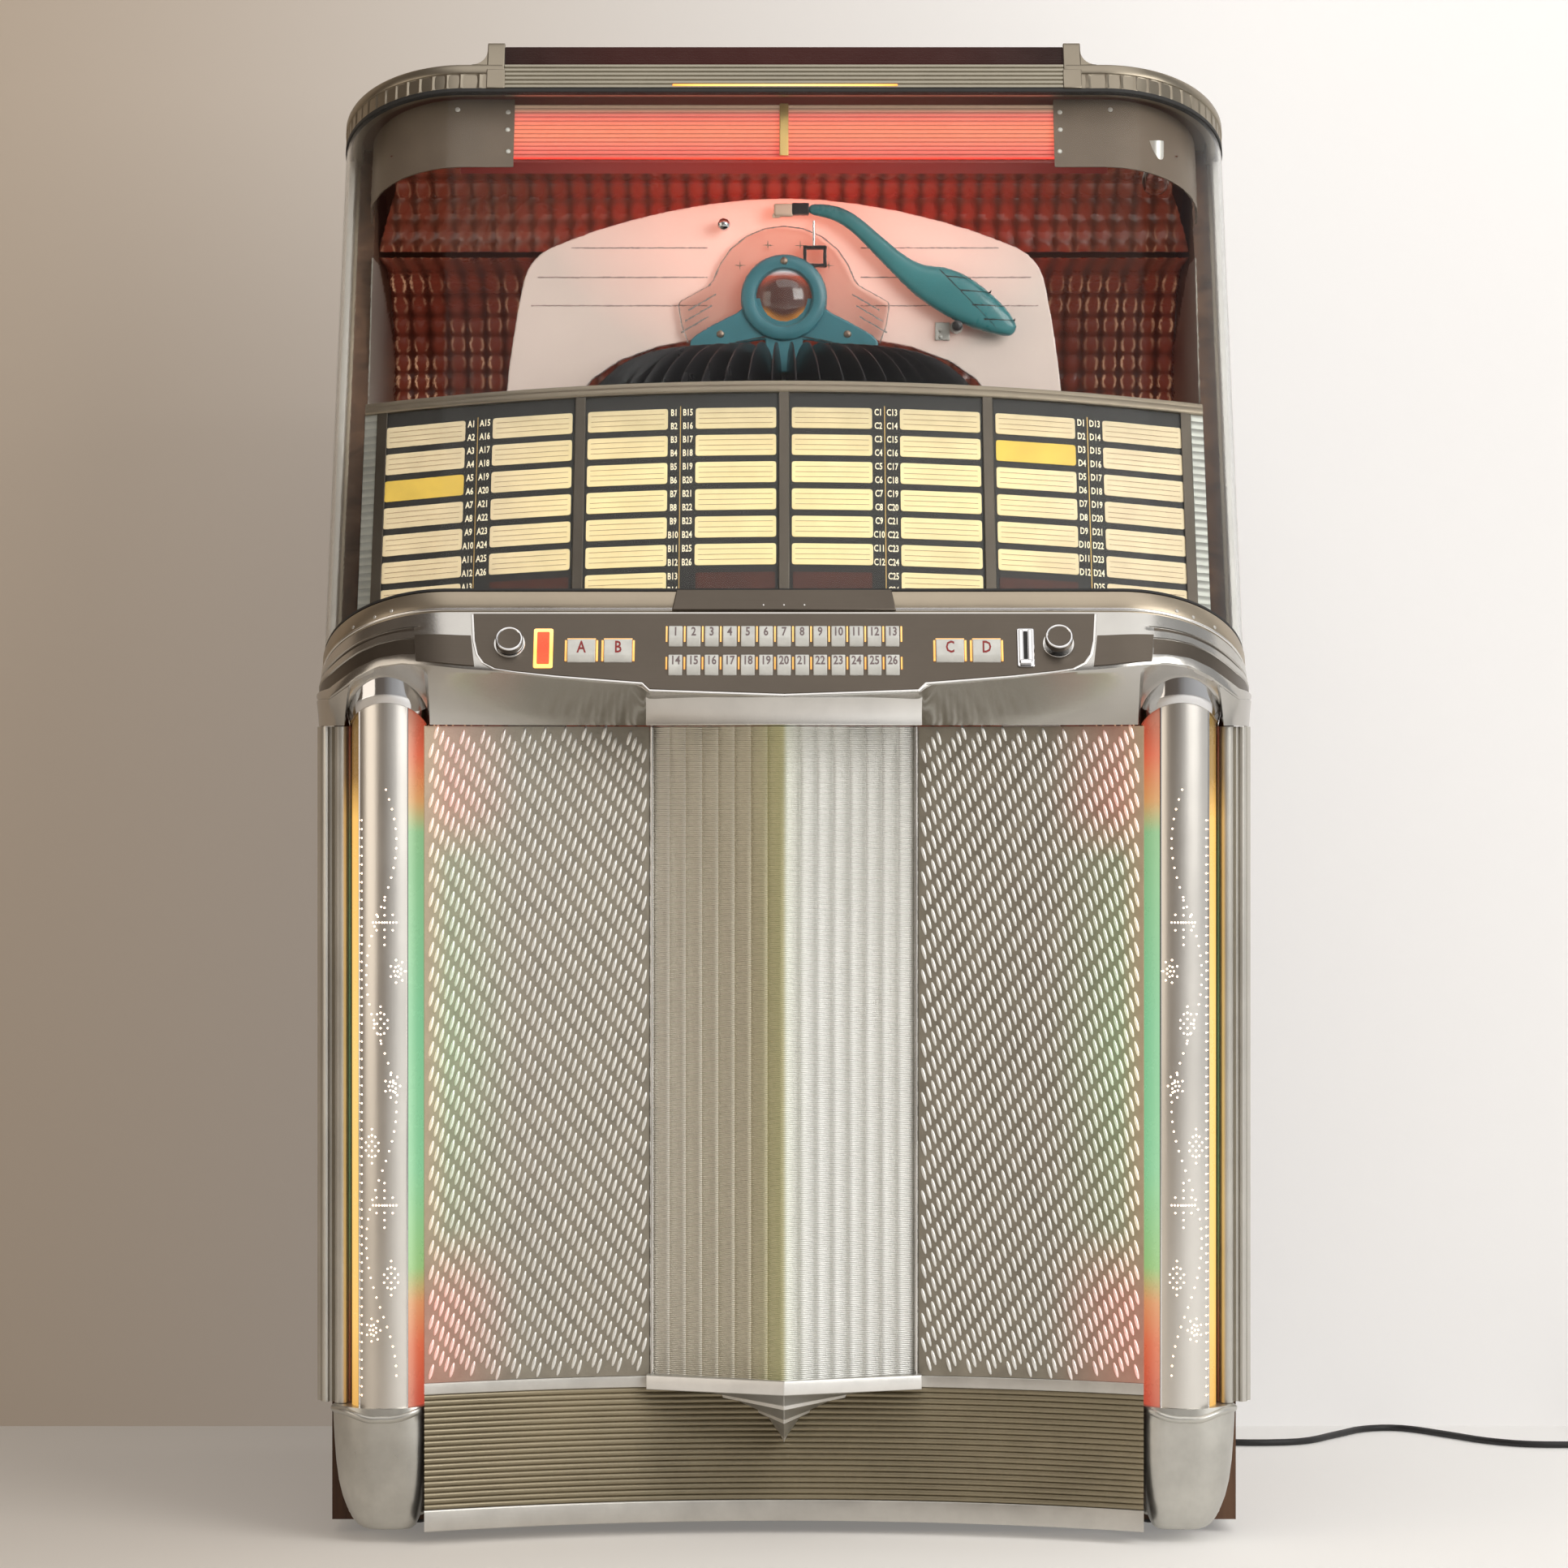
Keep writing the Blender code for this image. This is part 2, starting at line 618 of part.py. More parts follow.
# Caster wheels with their stub axles
for name, across, back in caster_places:
    centre = (across, depth(back), CASTER_RADIUS)
    axle_end = fork_inner + FORK_THICKNESS
    shoulder = CASTER_WIDTH / 2
    profile = [(0, axle_end), (AXLE_RADIUS, axle_end), (AXLE_RADIUS, shoulder),
               (CASTER_RADIUS - KEY_EDGE, shoulder), (CASTER_RADIUS, shoulder - KEY_EDGE),
               (CASTER_RADIUS, KEY_EDGE - shoulder), (CASTER_RADIUS - KEY_EDGE, -shoulder),
               (AXLE_RADIUS, -shoulder), (AXLE_RADIUS, -axle_end), (0, -axle_end)]
    finish(turned(name, profile, Matrix.Translation(centre) @ ACROSS, WHEEL_STEPS), black_rubber, centre)

# Rear cover, with the hole for the strain relief
cover_low_y = depth(carcass_rear) + SEAT_GAP
cover = box("rear_cover", (-carcass_half + SEAT_GAP, cover_low_y, COVER_LOW),
            (carcass_half - SEAT_GAP, cover_low_y + COVER_THICKNESS, rear_rail_top))
exit_frame = Matrix.Translation((CORD_EXIT[0], cover_low_y, CORD_EXIT[1])) @ REARWARD
relief_hole = cylinder("relief_hole", RELIEF_RADIUS + SEAT_GAP, -CUT_OVERRUN, COVER_THICKNESS + CUT_OVERRUN,
                       exit_frame)
relief_seat = cylinder("relief_seat", RELIEF_FLANGE_RADIUS + SEAT_GAP,
                       COVER_THICKNESS - RELIEF_FLANGE - SEAT_GAP, COVER_THICKNESS + CUT_OVERRUN, exit_frame)
cover = combine(cover, [relief_hole, relief_seat], "DIFFERENCE")
finish(cover, cabinet_wood)

# Columns: half-round lit housing and the reeded moulding beside it, one extrusion each
column_half = COLUMN_WIDTH / 2
column_inner = COLUMN_X - column_half
column_outer = COLUMN_X + column_half
column_back = CARCASS_FRONT - SEAT_GAP
reed_width = (MOULDING_REACH - column_outer) / MOULDING_REEDS
column_round = arc((COLUMN_X, depth(COLUMN_FRONT) + column_half), column_half, math.pi, math.tau, COLUMN_STEPS)
column_outline = [(column_inner, depth(column_back)), *column_round]
for reed in range(MOULDING_REEDS):
    centre = (column_outer + reed_width * (reed + 0.5), depth(MOULDING_FRONT) + reed_width * (reed + 0.5))
    column_outline += arc(centre, reed_width / 2, math.pi, math.tau, REED_STEPS)
column_outline.append((MOULDING_REACH, depth(column_back)))
right_column = plate("right_light_column", [column_outline], FOOT_HEIGHT + SEAT_GAP, APRON_HEIGHT - SEAT_GAP)
crown_rear = depth(column_back) - BOARD
crown_outline = [(column_inner, crown_rear), *column_round, (column_outer, crown_rear)]
crown = plate("crown", [crown_outline], APRON_HEIGHT - BOARD, COLUMN_TOP)
right_column = combine(right_column, [crown])
finish(mirrored(right_column, "left_light_column"), satin_aluminium)
finish(right_column, satin_aluminium)

# Cast feet under the columns
foot_centre = CARCASS_FRONT - FOOT_CLEARANCE - FOOT_RADIUS
foot_waist = FOOT_RADIUS - FOOT_BEAD
foot_profile = [(0, FOOT_HEIGHT), (foot_waist, FOOT_HEIGHT), (FOOT_RADIUS, FOOT_HEIGHT - FOOT_BEAD),
                (FOOT_RADIUS, FOOT_HEIGHT - FOOT_BEAD_HEIGHT),
                (foot_waist, FOOT_HEIGHT - FOOT_BEAD_HEIGHT - FOOT_BEAD)]
toe_shares = ((0.62, 1.0), (0.40, 0.96), (0.22, 0.85), (0.09, 0.68))
foot_body = FOOT_HEIGHT - SKIRT_CLEARANCE
for height_share, radius_share in toe_shares:
    foot_profile.append((max(foot_waist * radius_share, FOOT_SOLE_RADIUS),
                         SKIRT_CLEARANCE + foot_body * height_share))
foot_profile += [(FOOT_SOLE_RADIUS, SKIRT_CLEARANCE), (0, SKIRT_CLEARANCE)]
right_foot = turned("right_foot_casting", foot_profile, Matrix.Translation((FOOT_X, depth(foot_centre), 0)))
lug = box("lug", (FOOT_X - FOOT_LUG_WIDTH / 2, depth(foot_centre), SKIRT_CLEARANCE + FOOT_BEAD_HEIGHT),
          (FOOT_X + FOOT_LUG_WIDTH / 2, depth(CARCASS_FRONT) - SEAT_GAP, FOOT_HEIGHT - FOOT_BEAD_HEIGHT))
right_foot = combine(right_foot, [lug])
finish(mirrored(right_foot, "left_foot_casting"), satin_aluminium)
finish(right_foot, satin_aluminium)

# Concave front: the arc that the grilles and the kick panel follow
bow_half = column_inner
bow_radius = (bow_half ** 2 + BOW_SAGITTA ** 2) / (2 * BOW_SAGITTA)


def bow_depth(across):
    """Depth of the concave front this far from the middle."""
    return BOW_EDGE_DEPTH + BOW_SAGITTA - bow_radius + math.sqrt(bow_radius ** 2 - across ** 2)


def bow_places(start, end, steps):
    return [start + (end - start) * step / steps for step in range(steps + 1)]


# Grilles
grille_places = bow_places(PILASTER_HALF + SEAT_GAP, bow_half - SEAT_GAP, GRILLE_STEPS)
grille_outline = [(across, depth(bow_depth(across))) for across in grille_places]
grille_outline += [(across, depth(bow_depth(across) + GRILLE_THICKNESS))
                   for across in reversed(grille_places)]
right_grille = plate("right_grille", [grille_outline], KICK_TOP + SEAT_GAP, APRON_HEIGHT - SEAT_GAP)
finish(mirrored(right_grille, "left_grille"), silver_grille)
finish(right_grille, silver_grille)

# Kick panel: base trim, reeded field and top trim, lofted along the arc
kick_half = column_inner - SEAT_GAP
kick_back = CARCASS_FRONT - SEAT_GAP
kick_section = [(0, SKIRT_CLEARANCE), (0, SKIRT_CLEARANCE + KICK_BASE_HEIGHT),
                (KICK_REED_RECESS, SKIRT_CLEARANCE + KICK_BASE_HEIGHT),
                (KICK_REED_RECESS, KICK_TOP - KICK_TRIM_HEIGHT), (0, KICK_TOP - KICK_TRIM_HEIGHT),
                (0, KICK_TOP)]
kick_rings = []
for across in bow_places(-kick_half, kick_half, BOW_STEPS):
    front = [(across, depth(bow_depth(across) + recess), height) for recess, height in kick_section]
    back_y = depth(bow_depth(across) + kick_back - BOW_EDGE_DEPTH - BOW_SAGITTA)
    back = [(across, back_y, KICK_TOP), (across, back_y, SKIRT_CLEARANCE)]
    kick_rings.append(front + back)
kick_panel = loft("kick_panel", kick_rings)
kick_flanges = []
for side in (-1, 1):
    low_x, high_x = sorted((side * (kick_half - KICK_FLANGE), side * kick_half))
    flange_front = depth(bow_depth(kick_half) + KICK_FLANGE)
    kick_flanges.append(box("kick_flange", (low_x, flange_front, SKIRT_CLEARANCE),
                            (high_x, depth(kick_back), KICK_TOP)))
finish(combine(kick_panel, kick_flanges), golden_panel)

# Centre pilaster: the V-shaped wall and the stepped ornament under it
pilaster_low = KICK_TOP + SEAT_GAP
wall_run = PILASTER_WALL * 2
pilaster_outline = [
    (-PILASTER_HALF, depth(column_back)), (-PILASTER_HALF, depth(PILASTER_EDGE_DEPTH)),
    (0, depth(PILASTER_NOSE_DEPTH)), (PILASTER_HALF, depth(PILASTER_EDGE_DEPTH)),
    (PILASTER_HALF, depth(column_back)), (PILASTER_HALF - PILASTER_WALL, depth(column_back)),
    (PILASTER_HALF - PILASTER_WALL, depth(PILASTER_EDGE_DEPTH) + PILASTER_WALL),
    (0, depth(PILASTER_NOSE_DEPTH) + wall_run),
    (-PILASTER_HALF + PILASTER_WALL, depth(PILASTER_EDGE_DEPTH) + PILASTER_WALL),
    (-PILASTER_HALF + PILASTER_WALL, depth(column_back)),
]
pilaster = plate("center_pilaster", [pilaster_outline], pilaster_low, APRON_HEIGHT - SEAT_GAP)
prow = PILASTER_EDGE_DEPTH - PILASTER_NOSE_DEPTH
ornament_back = bow_depth(0) - SEAT_GAP - KICK_REED_RECESS
band_half = PILASTER_HALF + ORNAMENT_BAND_PROUD
band_rear = depth(bow_depth(band_half) - ORNAMENT_CLEARANCE)
band_corner = depth(PILASTER_EDGE_DEPTH - ORNAMENT_BAND_PROUD - ORNAMENT_BAND_STEP)
ornament_outline = [(-band_half, band_rear), (-band_half, band_corner),
                    (0, depth(PILASTER_NOSE_DEPTH - ORNAMENT_BAND_PROUD)),
                    (band_half, band_corner), (band_half, band_rear)]
ornament_low = KICK_TOP - ORNAMENT_BAND_HEIGHT
ornaments = [plate("ornament_band", [ornament_outline], ornament_low, pilaster_low + FUSE_DEPTH)]
for half_share, reach_share in ORNAMENT_TIER_SHARES:
    tier_half, tier_nose = band_half * half_share, ornament_back - prow * reach_share
    tier_outline = [(-tier_half, band_rear), (0, depth(tier_nose)), (tier_half, band_rear)]
    ornaments.append(plate("ornament_tier", [tier_outline], ornament_low - ORNAMENT_TIER_HEIGHT,
                           ornament_low + FUSE_DEPTH))
    ornament_low -= ORNAMENT_TIER_HEIGHT
finish(combine(pilaster, ornaments), golden_panel)

# Control band: a lofted section round the front, with the flange that carries the lid
inner_side = carcass_half + SEAT_GAP
band_rings, flange_rings = [], []
for side, turn in STATIONS:
    top_x, top_back = around(side, turn, LID_HALF_WIDTH, LID_CORNER_RADIUS, 0, BAND_END)
    top = LID @ Vector((top_x, top_back, seat_height(top_back)))
    lip_x, lip_y = around(side, turn, WIDTH / 2, LIP_RADIUS, 0, BAND_END_DEPTH)
    lip_z = min(LIP_HEIGHT, top.z - LIP_TAPER)
    apron_x, apron_y = around(side, turn, WIDTH / 2 - APRON_NARROWING, LIP_RADIUS - APRON_SETBACK,
                              APRON_SETBACK, BAND_END_DEPTH)
    apron_in_x, apron_in_y = around(side, turn, inner_side, CARCASS_FRONT - APRON_SETBACK - BAND_WALL,
                                    APRON_SETBACK + BAND_WALL, BAND_END_DEPTH)
    lip_in_x, lip_in_y = around(side, turn, inner_side, CARCASS_FRONT - BAND_WALL, BAND_WALL, BAND_END_DEPTH)
    wall_x, wall_back = around(side, turn, inner_side, LID_CORNER_RADIUS - BAND_WALL, BAND_WALL, BAND_END)
    wall_top_in = LID @ Vector((wall_x, wall_back, seat_height(wall_back)))
    band_rings.append([(apron_x, depth(apron_y), APRON_HEIGHT), (lip_x, depth(lip_y), lip_z), top, wall_top_in,
                       (lip_in_x, depth(lip_in_y), lip_z), (apron_in_x, depth(apron_in_y), APRON_HEIGHT)])
    flange_x, flange_back = around(side, turn, LID_HALF_WIDTH - FLANGE_INSET, FLANGE_RADIUS, FLANGE_INSET,
                                   LID_SIDE_END)
    root_x, root_back = around(side, turn, inner_side + FUSE_DEPTH, LID_CORNER_RADIUS - BAND_WALL + FUSE_DEPTH,
                               BAND_WALL - FUSE_DEPTH, LID_SIDE_END)
    flange_rings.append([(root_x, root_back, seat_height(root_back) - FLANGE_STEP),
                         (flange_x, flange_back, seat_height(flange_back) - FLANGE_STEP),
                         (flange_x, flange_back, seat_height(flange_back) - FLANGE_THICKNESS),
                         (root_x, root_back, seat_height(root_back) - FLANGE_THICKNESS)])
band = loft("control_band", band_rings)
flange = loft("flange", flange_rings, LID)
nose_outline = [(-APRON_NOSE_HALF, depth(APRON_SETBACK + BAND_WALL / 2)), (0, depth(APRON_NOSE_DEPTH)),
                (APRON_NOSE_HALF, depth(APRON_SETBACK + BAND_WALL / 2))]
nose = plate("apron_nose", [nose_outline], APRON_HEIGHT, APRON_HEIGHT + APRON_NOSE_HEIGHT)
band = combine(band, [flange, nose])

plate_low = Vector((0, depth(0), LIP_HEIGHT))
plate_high = LID @ Vector((0, 0, seat_height(0)))
plate_up = (plate_high - plate_low).normalized()
plate_out = Vector((0, -plate_up.z, plate_up.y))


def on_plate(across, height):
    """A frame on the selector plate at this height: its Z axis points out of the plate."""
    place = plate_low + plate_up * ((height - plate_low.z) / plate_up.z) + Vector((across, 0, 0))
    return Matrix((
        (1, 0, 0, place.x),
        (0, plate_up.y, plate_out.y, place.y),
        (0, plate_up.z, plate_out.z, place.z),
        (0, 0, 0, 1),
    ))


keys = []
row_start = -NUMBER_PITCH * (NUMBER_KEYS_PER_ROW - 1) / 2
for row, height in enumerate(NUMBER_ROW_HEIGHTS):
    for column in range(NUMBER_KEYS_PER_ROW):
        number = row * NUMBER_KEYS_PER_ROW + column + 1
        keys.append((f"number_key_{number:02d}", row_start + NUMBER_PITCH * column, height,
                     NUMBER_KEY_WIDTH, NUMBER_KEY_HEIGHT))
for letter, across in zip("abcd", LETTER_KEY_PLACES):
    keys.append((f"letter_key_{letter}", across, LETTER_ROW_HEIGHT, LETTER_KEY_WIDTH, LETTER_KEY_HEIGHT))

slots = []
for name, across, height, width, tall in keys:
    frame = on_plate(across, height)
    half_x, half_y = width / 2, tall / 2
    slots.append(box("slot", (-half_x - RUNNING_GAP, -half_y - RUNNING_GAP, -BAND_WALL - CUT_OVERRUN),
                     (half_x + RUNNING_GAP, half_y + RUNNING_GAP, CUT_OVERRUN), frame))
    key = box(name, (-half_x, -half_y, KEY_PROUD - KEY_LENGTH), (half_x, half_y, KEY_PROUD), frame)
    edge = key.modifiers.new("Edge", "BEVEL")
    edge.width = KEY_EDGE
    edge.segments = 1
    finish(key, key_white, frame.translation)
knobs = [("lid_lock_knob", -CONTROL_KNOB_X, SEAT_GAP),
         ("coin_return_button", CONTROL_KNOB_X, CONTROL_TRAVEL_GAP)]
for name, across, stand_off in knobs:
    frame = on_plate(across, CONTROL_KNOB_HEIGHT)
    slots.append(cylinder("stem_hole", CONTROL_STEM_RADIUS + RUNNING_GAP, -BAND_WALL - CUT_OVERRUN, CUT_OVERRUN,
                          frame))
    top = stand_off + CONTROL_KNOB_PROUD
    profile = [(0, top), (CONTROL_KNOB_RADIUS - KEY_EDGE, top), (CONTROL_KNOB_RADIUS, top - KEY_EDGE),
               (CONTROL_KNOB_RADIUS, stand_off), (CONTROL_STEM_RADIUS, stand_off),
               (CONTROL_STEM_RADIUS, top - CONTROL_STEM_LENGTH), (0, top - CONTROL_STEM_LENGTH)]
    finish(turned(name, profile, frame, ROUND_STEPS), chrome, frame.translation)
band = combine(band, slots, "DIFFERENCE")

arches = []
for side in (-1, 1):
    arch_frame = Matrix.Translation((side * COLUMN_X, 0, APRON_HEIGHT)) @ FACE
    arches.append(cylinder("arch", ARCH_RADIUS, -depth(CARCASS_FRONT), -depth(0) + CUT_OVERRUN, arch_frame))
    clear_radius = column_half + ARCH_CLEARANCE
    clear = arc((side * COLUMN_X, depth(COLUMN_FRONT) + column_half), clear_radius, math.pi, math.tau,
                COLUMN_STEPS)
    clear += [(side * COLUMN_X + clear_radius, depth(CARCASS_FRONT)),
              (side * COLUMN_X - clear_radius, depth(CARCASS_FRONT))]
    arches.append(plate("crown_clearance", [clear], APRON_HEIGHT - CUT_OVERRUN, COLUMN_TOP + ARCH_CLEARANCE))
finish(combine(band, arches, "DIFFERENCE"), chrome)

# Title panel: a leaning curved plate that stands on the flange
title_radius = (TITLE_HALF ** 2 + TITLE_SAGITTA ** 2) / (2 * TITLE_SAGITTA)
title_rings = []
for across in bow_places(-TITLE_HALF, TITLE_HALF, TITLE_STEPS):
    back = TITLE_SETBACK + title_radius - math.sqrt(title_radius ** 2 - across ** 2)
    far = back + TITLE_THICKNESS
    title_rings.append([(across, back, seat_height(back) + SEAT_GAP), (across, back, TITLE_TOP),
                        (across, far, TITLE_TOP), (across, far, seat_height(far) + SEAT_GAP)])
finish(loft("title_panel", title_rings, LID), title_cream)

# Mechanism board with the hub boss and its skirt
carousel_radius = RECORD_INSET + 2 * RECORD_RADIUS
cutout_half = carousel_radius + CUTOUT_CLEARANCE
board_low = DECK_HEIGHT + SEAT_GAP
crown_rise = MECHANISM_TOP - MECHANISM_SHOULDER_HEIGHT
board_outline = [(-MECHANISM_HALF, board_low), (-MECHANISM_HALF, MECHANISM_EAR_HEIGHT)]
for step in range(MECHANISM_STEPS + 1):
    angle = math.pi - math.pi * step / MECHANISM_STEPS
    board_outline.append((MECHANISM_SHOULDER_HALF * math.cos(angle),
                          MECHANISM_SHOULDER_HEIGHT + crown_rise * math.sin(angle)))
board_outline += [(MECHANISM_HALF, MECHANISM_EAR_HEIGHT), (MECHANISM_HALF, board_low),
                  (cutout_half, board_low)]
cutout_spring = (RECORD_LOW + CUTOUT_TOP) / 2
for step in range(MECHANISM_STEPS + 1):
    angle = math.pi * step / MECHANISM_STEPS
    board_outline.append((cutout_half * math.cos(angle),
                          cutout_spring + (CUTOUT_TOP - cutout_spring) * math.sqrt(math.sin(angle))))
board_outline.append((-cutout_half, board_low))
board_front, board_back = MECHANISM_DEPTH, MECHANISM_DEPTH + MECHANISM_THICKNESS
board = plate("mechanism_board", [board_outline], -depth(board_back), -depth(board_front), FACE)
hub_frame = Matrix.Translation((0, depth(board_front), HUB_HEIGHT)) @ FACE
hub = cylinder("hub", HUB_RADIUS, -FUSE_DEPTH, HUB_REACH, hub_frame)
skirt = plate("skirt", [[(-HUB_SKIRT_HALF, HUB_SKIRT_LOW), (HUB_SKIRT_HALF, HUB_SKIRT_LOW),
                         (HUB_RADIUS, HUB_HEIGHT), (-HUB_RADIUS, HUB_HEIGHT)]],
              -depth(board_front) - FUSE_DEPTH, -depth(board_front) + HUB_SKIRT_THICKNESS, FACE)
finish(combine(board, [hub, skirt]), board_white)

# Record carousel: shaft, tray, spindle and the ring of standing records
carousel_axis = (0, depth(CAROUSEL_DEPTH), 0)
carousel_frame = Matrix.Translation(carousel_axis)
tray_top = RECORD_LOW - TRAY_GAP
tray_under = tray_top - TRAY_THICKNESS
spindle_top = RECORD_LOW + 2 * RECORD_RADIUS - TRAY_GAP
spindle_profile = [(0, spindle_top), (SPINDLE_RADIUS, spindle_top), (SPINDLE_RADIUS, tray_top),
                   (TRAY_RADIUS, tray_top), (TRAY_RADIUS, tray_under), (SHAFT_RADIUS, tray_under),
                   (SHAFT_RADIUS, board_low), (0, board_low)]
carousel = turned("record_magazine", spindle_profile, carousel_frame)
records = []
for index in range(RECORDS):
    turn = Matrix.Rotation(math.tau * (index + 0.5) / RECORDS, 4, "Z")
    seat = Matrix.Translation((RECORD_INSET + RECORD_RADIUS, 0, RECORD_LOW + RECORD_RADIUS)) @ FACE
    records.append(cylinder("record", RECORD_RADIUS, -RECORD_THICKNESS / 2, RECORD_THICKNESS / 2,
                            carousel_frame @ turn @ seat, RECORD_STEPS))
finish(combine(carousel, records), record_black, carousel_axis)

# Tone arm: swept arm, head and pivot boss on the board
arm_depth = board_front - TONE_ARM_CLEARANCE
arm_points = [(TONE_PIVOT_X - TONE_REACH * across_share, depth(arm_depth),
               TONE_PIVOT_HEIGHT + TONE_RISE * rise_share) for across_share, rise_share in TONE_ROUTE_SHARES]


def smooth_route(points, spacing):
    """Points about this far apart on a smooth curve through the given ones."""
    ends = [Vector(point) for point in points]
    ends = [ends[0] * 2 - ends[1], *ends, ends[-1] * 2 - ends[-2]]
    made = []
    for before, start, end, after in zip(ends, ends[1:], ends[2:], ends[3:]):
        steps = max(1, round((end - start).length / spacing))
        for step in range(steps):
            share = step / steps
            made.append(((2 * start) + (end - before) * share
                         + (2 * before - 5 * start + 4 * end - after) * share ** 2
                         + (3 * start - before - 3 * end + after) * share ** 3) / 2)
    return [*made, ends[-2]]


arm = tube("tone_arm", smooth_route(arm_points, CORD_POINT_SPACING), TONE_ARM_RADIUS)
pivot = Vector(arm_points[0])
boss_reach = TONE_ARM_CLEARANCE - SEAT_GAP
boss_frame = Matrix.Translation(pivot) @ FACE
boss = cylinder("boss", TONE_PIVOT_RADIUS, -boss_reach, TONE_PIVOT_RADIUS, boss_frame, SMALL_STEPS)
head_half = Vector(TONE_HEAD_SIZE) / 2
head_place = Vector(arm_points[-1])
head = box("head", head_place - head_half, head_place + head_half)
finish(combine(arm, [boss, head]), arm_teal, pivot)

# Quilted back panel between the side walls
bend_centre = (depth(CRYSTAL_DEPTH - CRYSTAL_BEND_RADIUS), CRYSTAL_BEND_HEIGHT)
crystal_outer = [(depth(CRYSTAL_DEPTH), board_low)]
crystal_outer += arc(bend_centre, CRYSTAL_BEND_RADIUS, 0, math.pi / 2, CRYSTAL_STEPS)
crystal_outer.append((depth(CRYSTAL_FRONT), CRYSTAL_BEND_HEIGHT + CRYSTAL_BEND_RADIUS))
crystal_inner = [(depth(CRYSTAL_FRONT), CRYSTAL_BEND_HEIGHT + CRYSTAL_BEND_RADIUS - CRYSTAL_THICKNESS)]
crystal_inner += arc(bend_centre, CRYSTAL_BEND_RADIUS - CRYSTAL_THICKNESS, math.pi / 2, 0, CRYSTAL_STEPS)
crystal_inner.append((depth(CRYSTAL_DEPTH - CRYSTAL_THICKNESS), board_low))
crystal_half = inner_half - SEAT_GAP
finish(plate("crystal_back", [crystal_outer + crystal_inner], -crystal_half, crystal_half, SIDE), crystal_red)

# Speaker on the back of the baffle
speaker_frame = Matrix.Translation((0, depth(baffle_back), SPEAKER_HEIGHT)) @ REARWARD
basket_end = SPEAKER_DEPTH / 2 + SPEAKER_RIM
cone_end = SPEAKER_DEPTH / 2 - SPEAKER_RIM
speaker_profile = [(0, SPEAKER_DEPTH), (SPEAKER_MAGNET_RADIUS, SPEAKER_DEPTH),
                   (SPEAKER_MAGNET_RADIUS, basket_end), (SPEAKER_RADIUS - SPEAKER_RIM, SPEAKER_RIM),
                   (SPEAKER_RADIUS, SPEAKER_RIM),
                   (SPEAKER_RADIUS, SEAT_GAP), (BAFFLE_OPENING_RADIUS - SPEAKER_PANEL, SEAT_GAP),
                   (SPEAKER_MAGNET_RADIUS, cone_end), (SPEAKER_MAGNET_RADIUS / 2, cone_end),
                   (0, cone_end - SPEAKER_RIM)]
finish(turned("speaker", speaker_profile, speaker_frame), black_plastic)

# Amplifier chassis on the floor of the cabinet
chassis_low = FLOOR_HEIGHT + BOARD + SEAT_GAP
chassis_x, chassis_y, chassis_z = AMPLIFIER_SIZE
chassis_top = chassis_low + chassis_z
amplifier = box("amplifier", (-chassis_x / 2, depth(AMPLIFIER_DEPTH) - chassis_y / 2, chassis_low),
                (chassis_x / 2, depth(AMPLIFIER_DEPTH) + chassis_y / 2, chassis_top))
fittings = []
block_x, block_y, block_z = TRANSFORMER_SIZE
for side in (-1, 1):
    outer_x = side * (chassis_x / 2 - TRANSFORMER_INSET)
    low_x, high_x = sorted((outer_x, outer_x - side * block_x))
    fittings.append(box("transformer", (low_x, depth(AMPLIFIER_DEPTH) - block_y / 2, chassis_top - FUSE_DEPTH),
                        (high_x, depth(AMPLIFIER_DEPTH) + block_y / 2, chassis_top + block_z)))
for index in range(VALVES):
    valve_y = depth(AMPLIFIER_DEPTH) + (index - (VALVES - 1) / 2) * chassis_y / VALVES
    fittings.append(cylinder("valve", VALVE_RADIUS, chassis_top - FUSE_DEPTH, chassis_top + VALVE_HEIGHT,
                             Matrix.Translation((0, valve_y, 0)), SMALL_STEPS))
finish(combine(amplifier, fittings), grey_steel)

# Lid frame: header ring, roof, side channels, bottom rail, sign bar and hinge knuckles
roof_half = carcass_half - FUSE_DEPTH - WALL_TOP_GAP
header_outer = [around(side, turn, LID_HALF_WIDTH, LID_CORNER_RADIUS, 0, LID_SIDE_END)
                for side, turn in STATIONS]
header_inner = [around(side, turn, LID_HALF_WIDTH - HEADER_WALL, LID_CORNER_RADIUS - HEADER_WALL, HEADER_WALL,
                       LID_SIDE_END) for side, turn in reversed(STATIONS)]
lid = plate("lid_frame", [header_outer + header_inner], HEADER_LOW, ROOF_TOP, LID)
roof_outline = [around(side, turn, LID_HALF_WIDTH - FUSE_DEPTH, LID_CORNER_RADIUS - FUSE_DEPTH, FUSE_DEPTH,
                       LID_SIDE_END - FUSE_DEPTH) for side, turn in STATIONS]
roof_outline.append((roof_half, LID_SIDE_END - FUSE_DEPTH))
roof_outline += arc((roof_half - ROOF_CORNER_RADIUS, roof_rear - ROOF_CORNER_RADIUS), ROOF_CORNER_RADIUS,
                    0, math.pi / 2, ROOF_CORNER_STEPS)
roof_outline += arc((-roof_half + ROOF_CORNER_RADIUS, roof_rear - ROOF_CORNER_RADIUS), ROOF_CORNER_RADIUS,
                    math.pi / 2, math.pi, ROOF_CORNER_STEPS)
roof_outline.append((-roof_half, LID_SIDE_END - FUSE_DEPTH))
lid_pieces = [plate("roof", [roof_outline], ROOF_UNDER, roof_skin, LID)]

